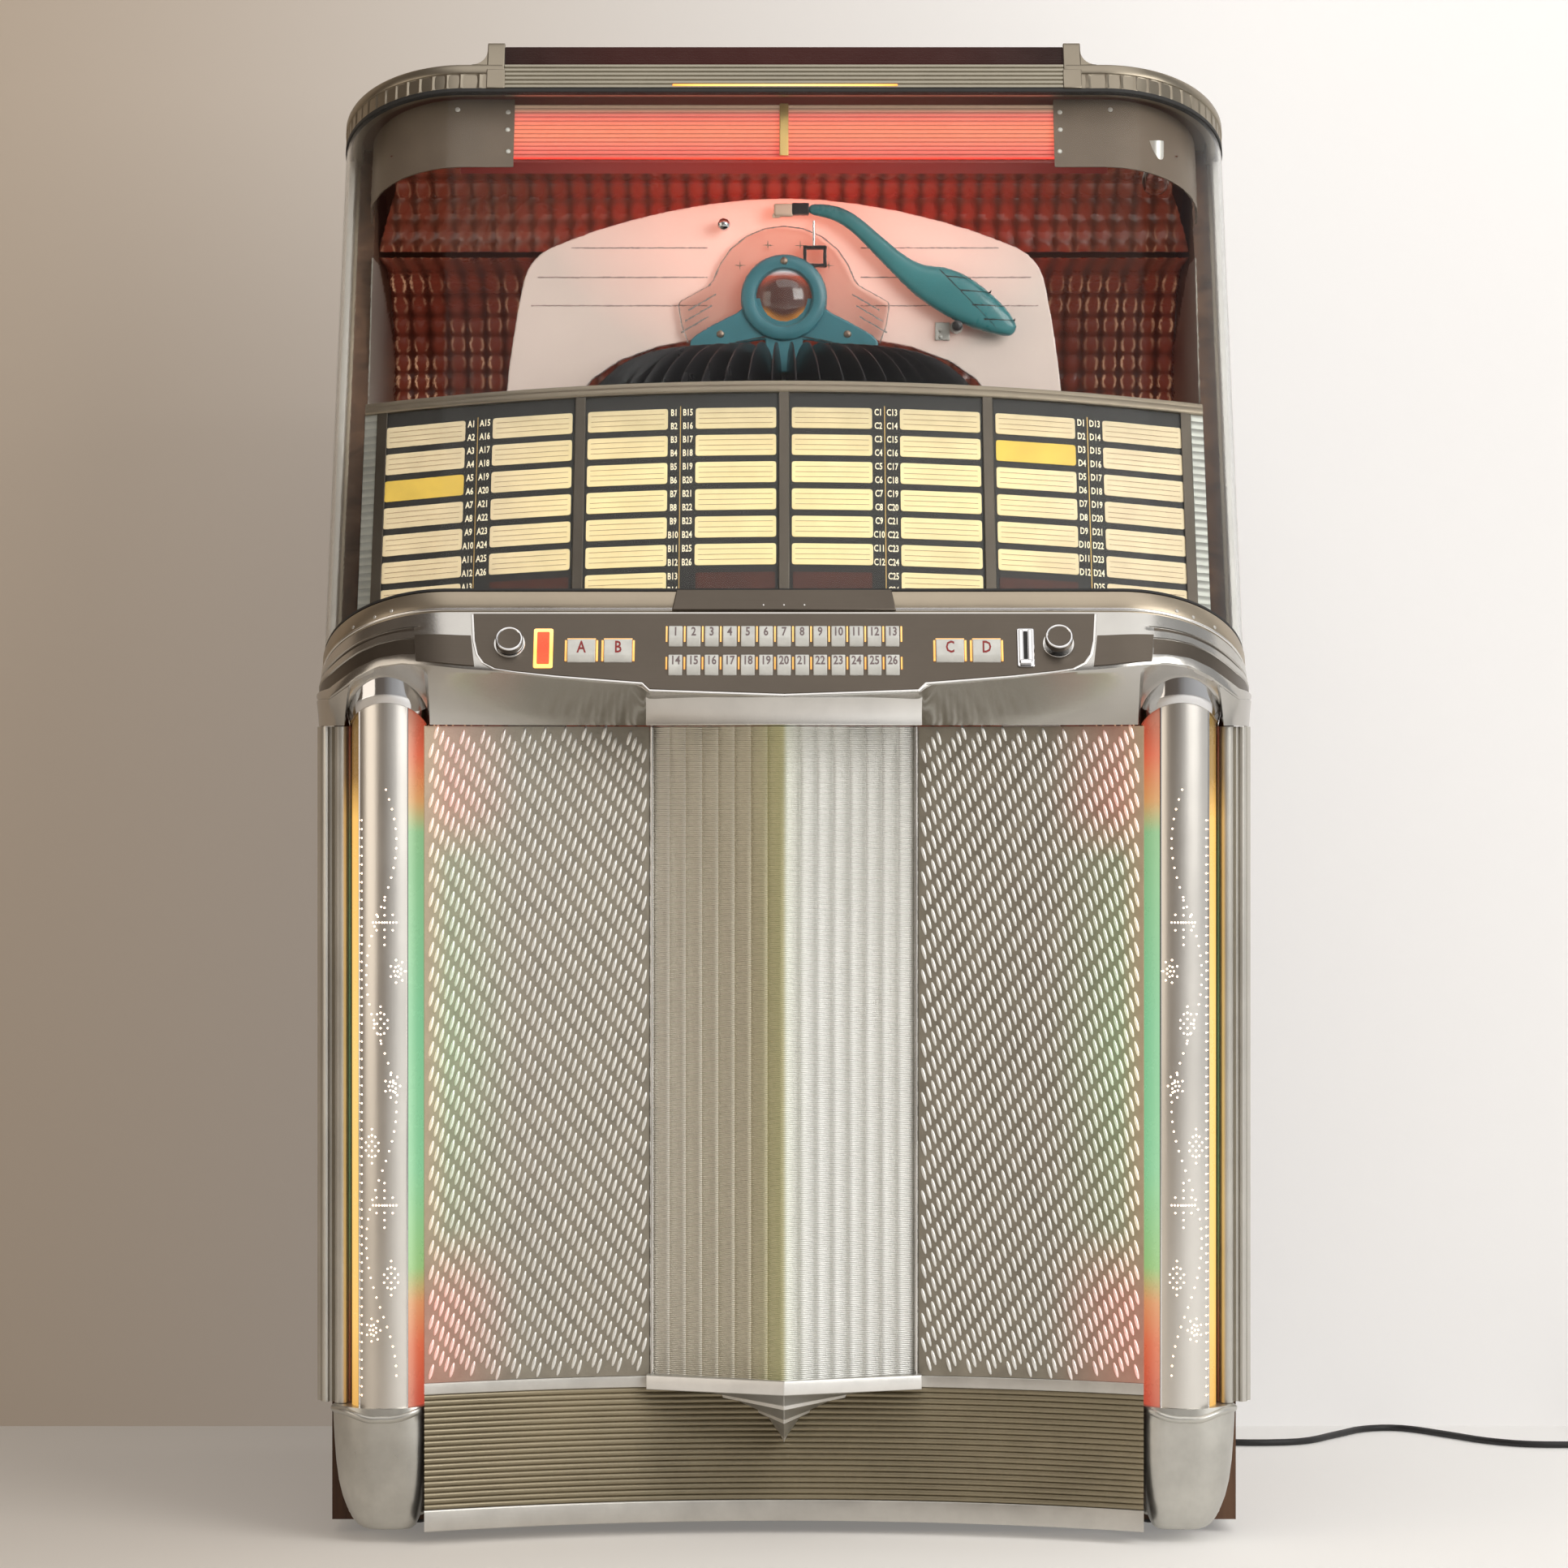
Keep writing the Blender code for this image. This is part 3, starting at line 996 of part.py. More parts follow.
rail_rings = []
for side, turn in STATIONS:
    ring = []
    for half_width, radius, front, lift in (
        (LID_HALF_WIDTH, LID_CORNER_RADIUS, 0, SEAT_GAP),
        (LID_HALF_WIDTH, LID_CORNER_RADIUS, 0, LID_RAIL_HEIGHT),
        (LID_HALF_WIDTH - LID_WALL, LID_CORNER_RADIUS - LID_WALL, LID_WALL, LID_RAIL_HEIGHT),
        (LID_HALF_WIDTH - LID_WALL, LID_CORNER_RADIUS - LID_WALL, LID_WALL, SEAT_GAP),
    ):
        across, back = around(side, turn, half_width, radius, front, LID_RAIL_END)
        ring.append((across, back, seat_height(back) + lift))
    rail_rings.append(ring)
lid_pieces.append(loft("lid_rail", rail_rings, LID))
channel_low = seat_height(LID_SIDE_END) + FUSE_DEPTH
bracket_back = SIGN_SETBACK + SIGN_THICKNESS + FUSE_DEPTH
bracket_top = ROOF_TOP + SIGN_HEIGHT + BRACKET_RISE
for side in (-1, 1):
    low_x, high_x = sorted((side * (LID_HALF_WIDTH - LID_WALL + SEAT_GAP), side * (LID_HALF_WIDTH - SEAT_GAP)))
    lid_pieces.append(box("side_channel", (low_x, LID_SIDE_END - CHANNEL_WIDTH, channel_low),
                          (high_x, LID_SIDE_END - SEAT_GAP, HEADER_LOW + FUSE_DEPTH), LID))
    low_x, high_x = sorted((side * SIGN_HALF, side * (SIGN_HALF + BRACKET_WIDTH)))
    lid_pieces.append(box("sign_bracket", (low_x, FUSE_DEPTH / 2, ROOF_UNDER),
                          (high_x, bracket_back, bracket_top), LID))
lid_pieces.append(box("sign_bar", (-SIGN_HALF - FUSE_DEPTH, SIGN_SETBACK, ROOF_UNDER + FUSE_DEPTH),
                      (SIGN_HALF + FUSE_DEPTH, SIGN_SETBACK + SIGN_THICKNESS, ROOF_TOP + SIGN_HEIGHT), LID))
bores = []
for side in (-1, 1):
    knuckle_frame = Matrix.Translation((side * HINGE_X, hinge_point.y, hinge_point.z)) @ ACROSS
    half = KNUCKLE_LENGTH / 2
    lid_pieces.append(cylinder("knuckle", KNUCKLE_RADIUS, -half, half, knuckle_frame))
    web_half = KNUCKLE_RADIUS / 2
    lid_pieces.append(box("knuckle_web", (side * HINGE_X - half, hinge_back - web_half, hinge_up),
                          (side * HINGE_X + half, hinge_back + web_half, ROOF_UNDER + FUSE_DEPTH), LID))
    bore_half = half + CUT_OVERRUN
    bores.append(cylinder("knuckle_bore", HINGE_PIN_RADIUS + RUNNING_GAP, -bore_half, bore_half, knuckle_frame,
                          SMALL_STEPS))
lid = combine(lid, lid_pieces)
lid = combine(lid, bores, "DIFFERENCE")
finish(lid, chrome, hinge_point)

# Lid glass: one bent pane in the frame
glass_rings = []
glass_half = LID_HALF_WIDTH - GLASS_INSET
for side, turn in STATIONS:
    ring = []
    for inset, high in ((0, False), (0, True), (GLASS_THICKNESS, True), (GLASS_THICKNESS, False)):
        across, back = around(side, turn, glass_half - inset, LID_CORNER_RADIUS - GLASS_INSET - inset,
                              GLASS_INSET + inset, LID_SIDE_END - CHANNEL_WIDTH - SEAT_GAP)
        up = HEADER_LOW - SEAT_GAP if high else seat_height(back) + LID_RAIL_HEIGHT + SEAT_GAP
        ring.append((across, back, up))
    glass_rings.append(ring)
finish(loft("lid_glass", glass_rings, LID), clear_glass, hinge_point)

# Mains lead: strain relief, free stretch, coil and plug
relief_tip = COVER_THICKNESS + RELIEF_LENGTH - CORD_RADIUS
relief_profile = [(0, relief_tip), (CORD_RADIUS + SEAT_GAP, relief_tip),
                  (RELIEF_RADIUS, COVER_THICKNESS), (RELIEF_FLANGE_RADIUS, COVER_THICKNESS),
                  (RELIEF_FLANGE_RADIUS, COVER_THICKNESS - RELIEF_FLANGE),
                  (RELIEF_RADIUS, COVER_THICKNESS - RELIEF_FLANGE), (RELIEF_RADIUS, 0), (0, 0)]
finish(turned("strain_relief", relief_profile, exit_frame, SMALL_STEPS), black_rubber)
cord_points = smooth_route(CORD_ROUTE, CORD_POINT_SPACING)
cord_points[0] = exit_frame @ Vector((0, 0, relief_tip + SEAT_GAP))
finish(tube("cord", cord_points, CORD_RADIUS), black_rubber)

half_loop = COIL_LOOP_POINTS // 2
spiral_points = COIL_TURNS * COIL_LOOP_POINTS
inner_radius = COIL_OUTER_RADIUS - COIL_TURNS * COIL_PITCH
floor_line = CORD_RADIUS + SEAT_GAP
coil_points = []
for index in range(2 * spiral_points + half_loop + 1):
    if index <= spiral_points:
        radius, climb = COIL_OUTER_RADIUS - COIL_PITCH * index / COIL_LOOP_POINTS, 0
    elif index < spiral_points + half_loop:
        climb = (index - spiral_points) / half_loop
        radius = inner_radius - COIL_CLIMB_DIP * math.sin(math.pi * climb)
    else:
        radius, climb = inner_radius + COIL_PITCH * (index - spiral_points - half_loop) / COIL_LOOP_POINTS, 1
    angle = -math.pi / 2 + math.tau * index / COIL_LOOP_POINTS
    height = floor_line + COIL_PITCH * (1 - math.cos(math.pi * climb)) / 2
    coil_points.append(Vector((*COIL_CENTRE, height)) + radius * Vector((math.cos(angle), math.sin(angle), 0)))
stub = 2 * CORD_RADIUS
coil_points.insert(0, coil_points[0] - Vector((stub, 0, 0)))
coil_points.append(coil_points[-1] - Vector((COIL_LEAD, 0, 0)))
finish(tube("cord_coil", coil_points, CORD_RADIUS, 1), black_rubber)


def least_gap(points, radius, skip):
    """The smallest clear distance between stretches of the tube that aren't neighbours along it."""
    between = 4
    fine = [start.lerp(end, step / between)
            for start, end in zip(points, points[1:]) for step in range(between)]
    nearest = min((fine[first] - fine[second]).length
                  for first in range(len(fine)) for second in range(first + between * skip, len(fine)))
    return nearest - 2 * radius


def run_length(points):
    return sum((end - start).length for start, end in zip(points, points[1:]))


print("least gap of the coil to itself, mm:", round(least_gap(coil_points, CORD_RADIUS, half_loop) * 1000, 3))
print("cord and coil length, m:", round(run_length(cord_points), 3), round(run_length(coil_points), 3))
print("ends, m:", [round(value, 4) for value in (*cord_points[-1], *coil_points[0])])

plug_end = coil_points[-1] - Vector((SEAT_GAP, 0, 0))
plug_low = (plug_end.x - PLUG_LENGTH, plug_end.y - PLUG_WIDTH / 2, plug_end.z - PLUG_HEIGHT / 2)
plug_high = (plug_end.x, plug_end.y + PLUG_WIDTH / 2, plug_end.z + PLUG_HEIGHT / 2)
plug = box("cord_plug", plug_low, plug_high)
rounding = plug.modifiers.new("Rounding", "BEVEL")
rounding.width = PLUG_EDGE
rounding.segments = 2
blades = []
for side in (-1, 1):
    middle = plug_end.y + side * BLADE_SPACING / 2
    blade_low = (plug_low[0] - BLADE_LENGTH, middle - BLADE_THICKNESS / 2, plug_end.z - BLADE_WIDTH / 2)
    blade_high = (plug_low[0] + FUSE_DEPTH, middle + BLADE_THICKNESS / 2, plug_end.z + BLADE_WIDTH / 2)
    blades.append(box("blade", blade_low, blade_high))
finish(combine(plug, blades), black_rubber)
print("hinge, m:", [round(value, 5) for value in hinge_point])
print("key travel direction:", [round(-value, 5) for value in plate_out])
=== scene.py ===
import math

import bpy
import numpy as np
from mathutils import Matrix, Vector


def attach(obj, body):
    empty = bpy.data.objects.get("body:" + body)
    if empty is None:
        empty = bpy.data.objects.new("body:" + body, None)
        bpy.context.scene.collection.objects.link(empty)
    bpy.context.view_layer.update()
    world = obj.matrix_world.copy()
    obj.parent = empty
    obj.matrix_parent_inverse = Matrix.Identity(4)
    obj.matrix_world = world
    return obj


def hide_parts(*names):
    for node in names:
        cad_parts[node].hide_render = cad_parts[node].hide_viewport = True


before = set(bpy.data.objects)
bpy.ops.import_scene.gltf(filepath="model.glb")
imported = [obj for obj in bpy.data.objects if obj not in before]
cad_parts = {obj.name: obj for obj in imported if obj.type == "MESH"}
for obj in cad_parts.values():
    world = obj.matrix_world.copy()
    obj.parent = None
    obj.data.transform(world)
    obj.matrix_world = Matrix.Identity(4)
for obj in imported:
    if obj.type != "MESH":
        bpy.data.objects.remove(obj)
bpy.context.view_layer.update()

# The camera stands level in front of the jukebox, a little over four metres away, and looks at the
# middle of the dome's height with a long lens.
CAMERA_PLACE = (0, -4.545, 0.671)
CAMERA_LENS = 110.9
bpy.ops.object.select_all(action="DESELECT")
bpy.ops.object.camera_add(location=CAMERA_PLACE, rotation=(math.pi / 2, 0, 0))
camera = bpy.context.object
camera.name = "photo_camera"
camera.data.lens = CAMERA_LENS
bpy.context.scene.camera = camera
bpy.context.scene.view_settings.view_transform = "Standard"

# The mains lead: two-core flex in a round black rubber sheath. It leaves the rear cover through a
# moulded strain relief, runs forward past the right foot, and its spare length is a tied coil.


def mm(values):
    """Lengths in millimetres, in lists and tuples of any depth, as metres."""
    return values / 1000 if isinstance(values, (int, float)) else type(values)(map(mm, values))


CORD_RADIUS = 0.0035
CORD_START = (0.3, 0.3661, 0.06)
CORD_ROUTE = mm(((300, 389, 59), (300.5, 408, 51), (303.5, 428, 33), (310, 445, 15), (324, 457, 5), (348, 456, 3.8),
    (380, 430, 3.8), (415, 385, 3.8), (456, 350, 3.8), (523, 357, 3.8), (565, 408, 3.8), (600, 453, 3.8),
    (640, 458, 3.8), (680, 410, 3.8), (712, 365, 3.8), (750, 338, 3.8), (794, 333, 3.8), (845, 335, 3.8),
    (890, 336, 3.8)))
COIL_CENTRE = (0.92, 0.389)
COIL_OUTER_RADIUS = 0.053
COIL_PITCH = 0.0076
COIL_CLIMB_DIP = 0.002
COIL_TURNS = 3
COIL_LOOP_POINTS = 24
COIL_LEAD = 0.042
COIL_BASE = 0.0038
COIL_STUB = 0.007


def coil_route():
    """Three turns inward on the floor, a climb, and three turns outward on top of them."""
    half_loop, spiral = COIL_LOOP_POINTS // 2, COIL_TURNS * COIL_LOOP_POINTS
    inner = COIL_OUTER_RADIUS - COIL_TURNS * COIL_PITCH
    points = []
    for index in range(2 * spiral + half_loop + 1):
        climb = min(max((index - spiral) / half_loop, 0), 1)
        if index <= spiral:
            radius = COIL_OUTER_RADIUS - COIL_PITCH * index / COIL_LOOP_POINTS
        elif climb < 1:
            radius = inner - COIL_CLIMB_DIP * math.sin(math.pi * climb)
        else:
            radius = inner + COIL_PITCH * (index - spiral - half_loop) / COIL_LOOP_POINTS
        angle = math.tau * index / COIL_LOOP_POINTS - math.pi / 2
        height = COIL_BASE + COIL_PITCH * (1 - math.cos(math.pi * climb)) / 2
        points.append(Vector((*COIL_CENTRE, height)) + radius * Vector((math.cos(angle), math.sin(angle), 0)))
    return [points[0] - Vector((COIL_STUB, 0, 0)), *points, points[-1] - Vector((COIL_LEAD, 0, 0))]


def effect(name, inputs, outputs):
    """A shader node group with its sockets made, and its two end nodes."""
    group = bpy.data.node_groups.new(name, "ShaderNodeTree")
    for direction, sockets in (("INPUT", inputs), ("OUTPUT", outputs)):
        for label, kind in sockets:
            group.interface.new_socket(label, in_out=direction, socket_type="NodeSocket" + kind)
    return group, group.nodes.new("NodeGroupInput"), group.nodes.new("NodeGroupOutput")


def add_node(tree, kind, links=(), **values):
    """A node with its properties, socket values and incoming links set."""
    node = tree.nodes.new("ShaderNode" + kind)
    for key, value in values.items():
        if hasattr(node, key):
            setattr(node, key, value)
        else:
            node.inputs[key.replace("_", " ")].default_value = value
    for socket, source in links:
        tree.links.new(source, node.inputs[socket])
    return node


def math_of(tree, operation, *terms, **values):
    """The result of a Math node on these sockets and numbers."""
    node = add_node(tree, "Math", operation=operation, **values)
    for socket, term in zip(node.inputs, terms):
        if isinstance(term, (int, float)):
            socket.default_value = term
        else:
            tree.links.new(term, socket)
    return node.outputs[0]


def place_in(tree):
    """The place on the object's own axes."""
    return add_node(tree, "TexCoord").outputs["Object"]


# Handling: the wear that every finish of the jukebox carries. It is a node group that lets colour and
# gloss drift over a surface, with a fine grain that can run along one direction of the metal or wood.
handling, given, made = effect("handling", (("Colour", "Color"), ("Roughness", "Float"), ("Scale", "Float"),
    ("Amount", "Float"), ("Grain", "Vector")), (("Colour", "Color"), ("Roughness", "Float"), ("Height", "Float")))
handled_place = place_in(handling)
drift = add_node(handling, "TexNoise", [("Vector", handled_place), ("Scale", given.outputs["Scale"])], Detail=5,
    Roughness=0.6).outputs[0]
stretched = add_node(handling, "Mapping", [("Vector", handled_place), ("Scale", given.outputs["Grain"])])
grain = add_node(handling, "TexNoise", [("Vector", stretched.outputs[0])], Scale=1, Detail=4).outputs[0]
swing = math_of(handling, "MULTIPLY", math_of(handling, "SUBTRACT", drift, 0.5), given.outputs["Amount"])
grain_swing = math_of(handling, "MULTIPLY", grain, given.outputs["Amount"])
lifted = math_of(handling, "ADD", math_of(handling, "MULTIPLY_ADD", swing, 1, swing), 1)
tint = add_node(handling, "HueSaturation", [("Color", given.outputs["Colour"]), ("Value", lifted)])
gloss = math_of(handling, "ADD", swing, given.outputs["Roughness"])
gloss_grain = math_of(handling, "MULTIPLY_ADD", grain_swing, 0.25, gloss, use_clamp=True)
for socket, source in zip(made.inputs, (tint.outputs[0], gloss_grain, grain)):
    handling.links.new(source, socket)


def finish_of(name, colour, roughness, metallic=0, scale=14, amount=0.25, grain=300, bump=0.05, **shader_values):
    """A finish in one base colour, with handling wear and a grain, the same or set for each axis."""
    look = bpy.data.materials.new(name)
    look.use_nodes = True
    tree = look.node_tree
    shader = tree.nodes["Principled BSDF"]
    shader.inputs["Metallic"].default_value = metallic
    for key, value in shader_values.items():
        shader.inputs[key.replace("_", " ")].default_value = value
    wear = add_node(tree, "Group", node_tree=handling)
    for label, value in zip(("Colour", "Roughness", "Scale", "Amount", "Grain"),
            ((*colour, 1), roughness, scale, amount, (grain,) * 3 if isinstance(grain, int) else grain)):
        wear.inputs[label].default_value = value
    relief = add_node(tree, "Bump", [("Height", wear.outputs["Height"])], Strength=bump, Distance=0.001)
    tree.links.new(wear.outputs["Colour"], shader.inputs["Base Color"])
    tree.links.new(wear.outputs["Roughness"], shader.inputs["Roughness"])
    tree.links.new(relief.outputs[0], shader.inputs["Normal"])
    return look


def fitted(piece, slot, *stands_for, look=None, body="cabinet"):
    """Gives a finished piece its look and its body, and hides the CAD nodes that it stands for. The slot is not used.
    """
    if look is not None:
        piece.data.materials.clear()
        piece.data.materials.append(look)
    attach(piece, body)
    if stands_for:
        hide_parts(*stands_for)
    return piece


def repaint(look, *nodes):
    """Gives CAD nodes whose shape stays their better finish."""
    for node in nodes:
        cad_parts[node].material_slots[0].material = look


cord_rubber = finish_of("cord_rubber", (0.018, 0.018, 0.019), 0.46, scale=60, amount=0.3, grain=900)
moulded_rubber = finish_of("moulded_rubber", (0.022, 0.022, 0.023), 0.55, scale=40, amount=0.35, grain=1500,
    bump=0.12)
route = [Vector(CORD_START), *map(Vector, CORD_ROUTE), *coil_route()]
flex = bpy.data.curves.new("mains_cord", "CURVE")
flex.dimensions = "3D"
flex.bevel_depth = CORD_RADIUS
flex.bevel_resolution = 3
flex.resolution_u = 4
flex.use_fill_caps = True
line = flex.splines.new("BEZIER")
line.bezier_points.add(len(route) - 1)
for index, point in enumerate(line.bezier_points):
    before, after = route[max(index - 1, 0)], route[min(index + 1, len(route) - 1)]
    point.co = route[index]
    point.handle_left_type = point.handle_right_type = "FREE"
    point.handle_left = route[index] - (after - before) / 6
    point.handle_right = route[index] + (after - before) / 6
flex.materials.append(cord_rubber)
mains_cord = bpy.data.objects.new("mains_cord", flex)
bpy.context.scene.collection.objects.link(mains_cord)
fitted(mains_cord, "cord_rubber", "cord", "cord_coil")
repaint(moulded_rubber, "strain_relief", "cord_plug")


def pick(*pieces):
    """Selects these pieces and nothing else, the first of them active."""
    bpy.ops.object.select_all(action="DESELECT")
    for piece in pieces:
        piece.select_set(True)
        bpy.context.view_layer.objects.active = pieces[0]


def bent_sheet(name, across, along, place, seam=False, thickness=0):
    """A grid carried to where place puts each share across and along, closed where its edges meet."""
    pick()
    bpy.ops.mesh.primitive_grid_add(x_subdivisions=across, y_subdivisions=along, size=2)
    sheet = bpy.context.object
    sheet.name = sheet.data.name = name
    for vertex in sheet.data.vertices:
        vertex.co = place((vertex.co.x + 1) / 2, (vertex.co.y + 1) / 2)
    if seam:
        bpy.ops.object.mode_set(mode="EDIT")
        bpy.ops.mesh.select_all(action="SELECT")
        bpy.ops.mesh.remove_doubles(threshold=0.00002)
        bpy.ops.mesh.dissolve_degenerate(threshold=0.00001)
        bpy.ops.mesh.select_all(action="SELECT")
        bpy.ops.mesh.fill_holes(sides=0)
        bpy.ops.mesh.select_all(action="SELECT")
        bpy.ops.mesh.normals_make_consistent(inside=False)
        bpy.ops.object.mode_set(mode="OBJECT")
    if thickness:
        apply_modifier(sheet, "SOLIDIFY", thickness=thickness, offset=-1)
    smooth(sheet)
    return sheet


def apply_modifier(piece, kind, **values):
    """A modifier with these values, applied."""
    pick(piece)
    modifier = piece.modifiers.new(kind.title(), kind)
    for key, value in values.items():
        setattr(modifier, key, value)
    bpy.ops.object.modifier_apply(modifier=modifier.name)


def smooth(piece, angle=32):
    """Smooth shading that breaks at edges sharper than the angle."""
    pick(piece)
    bpy.ops.object.shade_smooth_by_angle(angle=math.radians(angle))


# The coil's tie: a flat band of woven hook-and-loop tape, closed round one side of the turns. It holds
# the spare length of the lead together, and lies on the floor under them.
TIE_ANGLE = math.radians(200)
TIE_HALF_WIDTH = 0.006
TIE_OUTLINE_HALF = (0.0172, 0.0082)
tie_radius = COIL_OUTER_RADIUS - COIL_TURNS * COIL_PITCH / 2
tie_middle = Vector((*COIL_CENTRE, COIL_BASE + COIL_PITCH / 2))


def tie_place(across, along):
    turn = math.tau * along
    corner = [math.copysign(abs(value) ** 0.45, value) for value in (math.cos(turn), math.sin(turn))]
    radial = tie_radius + TIE_OUTLINE_HALF[0] * corner[0]
    height = max(TIE_OUTLINE_HALF[1] * corner[1], 0.0003 - tie_middle.z)
    out = Vector((math.cos(TIE_ANGLE), math.sin(TIE_ANGLE), 0))
    beside = Vector((-out.y, out.x, 0)) * TIE_HALF_WIDTH * (2 * across - 1)
    return tie_middle + out * radial + beside + Vector((0, 0, height))


coil_tie = bent_sheet("coil_tie", 4, 48, tie_place)
tie_tape = finish_of("tie_tape", (0.03, 0.03, 0.035), 0.85, amount=0.4, grain=1400, bump=0.4)
fitted(coil_tie, "cord_rubber", look=tie_tape)

# The room: a pale floor that meets a pale wall half a metre behind the middle of the cabinet. Both
# are staging, and both carry painted shade: darker and warmer towards the left. The daylight is soft and
# comes from the right, with a warmer, dimmer left side.
WALL_DEPTH = 0.503
FLOOR_HALF = 6
WALL_HALF = 2.6
WALL_HEIGHT = 3.2
ROOM_LIFT = 0.3


def split_place(tree, place=None):
    """The place's own X, Y and Z."""
    return add_node(tree, "SeparateXYZ", [(0, place or place_in(tree))]).outputs


def share_of(tree, source, low, high, **values):
    """How far the source has run from low to high."""
    return add_node(tree, "MapRange", [("Value", source)], From_Min=low, From_Max=high, **values).outputs[0]


def colours_along(tree, source, stops):
    """A ramp of (place, colour) stops, read at the source."""
    ramp = add_node(tree, "ValToRGB", [(0, source)])
    while len(ramp.color_ramp.elements) < len(stops):
        ramp.color_ramp.elements.new(0.5)
    for element, (at, colour) in zip(ramp.color_ramp.elements, stops):
        element.position, element.color = at, (*colour, 1)
    return ramp.outputs[0]


def room_look(name, left, right, span, one_sided):
    """A plane that runs from a warm, darker left tone to a cool, pale right one: painted shade on the left."""
    look = bpy.data.materials.new(name)
    look.use_nodes = True
    tree = look.node_tree
    shader = tree.nodes["Principled BSDF"]
    shader.inputs["Roughness"].default_value = 0.85
    paint_and_shade = colours_along(tree, share_of(tree, split_place(tree)[0], *span, interpolation_type="SMOOTHSTEP"),
        ((0, left), (1, right)))
    tree.links.new(paint_and_shade, shader.inputs["Base Color"])
    rays = add_node(tree, "LightPath").outputs
    seen = math_of(tree, "MAXIMUM", math_of(tree, "MAXIMUM", rays["Is Camera Ray"], rays["Is Glossy Ray"]),
        rays["Is Transmission Ray"])
    tree.links.new(paint_and_shade, shader.inputs["Emission Color"])
    tree.links.new(math_of(tree, "MULTIPLY", seen, ROOM_LIFT), shader.inputs["Emission Strength"])
    if one_sided:
        clear = add_node(tree, "BsdfTransparent")
        facing = add_node(tree, "NewGeometry")
        mix = add_node(tree, "MixShader", [(0, facing.outputs["Backfacing"]), (1, shader.outputs[0]),
            (2, clear.outputs[0])])
        tree.links.new(mix.outputs[0], tree.nodes["Material Output"].inputs["Surface"])
    return look


pick()
bpy.ops.mesh.primitive_plane_add(size=2 * FLOOR_HALF)
floor = bpy.context.object
floor.name = "room_floor"
floor.data.materials.append(room_look("floor_paint_and_shade", (0.52, 0.47, 0.41), (0.82, 0.81, 0.79), (-1.2, 0.9), False))
pick()
bpy.ops.mesh.primitive_plane_add(size=2, location=(0, WALL_DEPTH, WALL_HEIGHT / 2), rotation=(math.pi / 2, 0, 0))
wall = bpy.context.object
wall.name = "room_wall"
wall.scale = (WALL_HALF, WALL_HEIGHT / 2, 1)
bpy.ops.object.transform_apply(location=True, rotation=True, scale=True)
wall.data.materials.append(room_look("wall_paint_and_shade", (0.42, 0.345, 0.27), (0.84, 0.83, 0.82), (-1, 0.55), True))

LAMPS = (("window", (2.3, -2.6, 2), 2.2, 1.8, 58, (1, 0.98, 0.95)), ("ceiling", (0.3, -1.2, 3.2), 2.6, 2.6, 25,
    (1, 0.98, 0.96)), ("left_bounce", (-2.4, -1.8, 1.2), 1.8, 2, 14, (1, 0.9, 0.78)),
    ("rear_bounce", (0.4, 2.6, 2.2), 2.2, 1.6, 22, (1, 0.97, 0.94)))
LAMP_AIM = Vector((0, 0, 0.7))
for name, place, wide, tall, power, colour in LAMPS:
    pick()
    bpy.ops.object.light_add(type="AREA", location=place)
    lamp = bpy.context.object
    lamp.name = name
    lamp.rotation_euler = (Vector(place) - LAMP_AIM).to_track_quat("Z", "Y").to_euler()
    lamp.data.shape = "RECTANGLE"
    lamp.data.size, lamp.data.size_y = wide, tall
    lamp.data.energy = power
    lamp.data.color = colour

sky = bpy.data.worlds.new("room_light")
sky.use_nodes = True
bpy.context.scene.world = sky
sky_tree = sky.node_tree
bearing = split_place(sky_tree, add_node(sky_tree, "TexCoord").outputs["Generated"])
sideways = colours_along(sky_tree, share_of(sky_tree, bearing[0], -1, 1),
    ((0, (0.2, 0.15, 0.11)), (0.42, (0.26, 0.22, 0.19)), (0.62, (0.62, 0.61, 0.6)), (1, (1, 1, 1))))
sky_tree.links.new(sideways, sky_tree.nodes["Background"].inputs["Color"])
sky_tree.nodes["Background"].inputs["Strength"].default_value = 0.56

# Finishes that several of the fittings share: bright chrome, worn polished aluminium, dull satin
# aluminium, and the dark steel of fixings.
chrome = finish_of("chrome_plate", (0.74, 0.74, 0.75), 0.09, 1, scale=9, amount=0.1, grain=700, bump=0.02)
polished = finish_of("polished_aluminium", (0.72, 0.71, 0.69), 0.2, 1, scale=18, amount=0.22, grain=(500, 500, 60))
satin = finish_of("satin_aluminium", (0.63, 0.61, 0.57), 0.38, 0.85, scale=22, grain=(60, 60, 700), bump=0.06)
dark_steel = finish_of("dark_steel", (0.16, 0.155, 0.15), 0.38, 0.9, scale=60, amount=0.4)

# The carcass: stained plywood sides with a floor, a deck and a baffle. It carries everything, and its
# rear cover is dark hardboard, screwed on, with two banks of pressed louvres for the amplifier's heat.
walnut = finish_of("stained_walnut", (0.115, 0.058, 0.032), 0.52, scale=5, amount=0.22, grain=(90, 90, 5), bump=0.07,
    Specular_IOR_Level=0.35)
hardboard = finish_of("dark_hardboard", (0.1, 0.062, 0.042), 0.62, scale=25, amount=0.4, grain=500, bump=0.25)
walnut_tree = walnut.node_tree
grain_at = add_node(walnut_tree, "Mapping", [("Vector", place_in(walnut_tree))], Scale=(9, 26, 1.3))
figure = add_node(walnut_tree, "TexNoise", [("Vector", grain_at.outputs[0])], Scale=2.2, Detail=7, Roughness=0.62,
    Distortion=1.6).outputs[0]
figured = colours_along(walnut_tree, figure, ((0.3, (0.045, 0.021, 0.012)), (0.5, (0.1, 0.049, 0.027)),
    (0.72, (0.16, 0.084, 0.046))))
walnut_tree.links.new(figured, walnut_tree.nodes["Principled BSDF"].inputs["Base Color"])
repaint(walnut, "cabinet_shell")
repaint(hardboard, "rear_cover")
COVER_FACE = 0.3393
LOUVRE_HALF = 0.095
LOUVRE_PITCH = 0.015
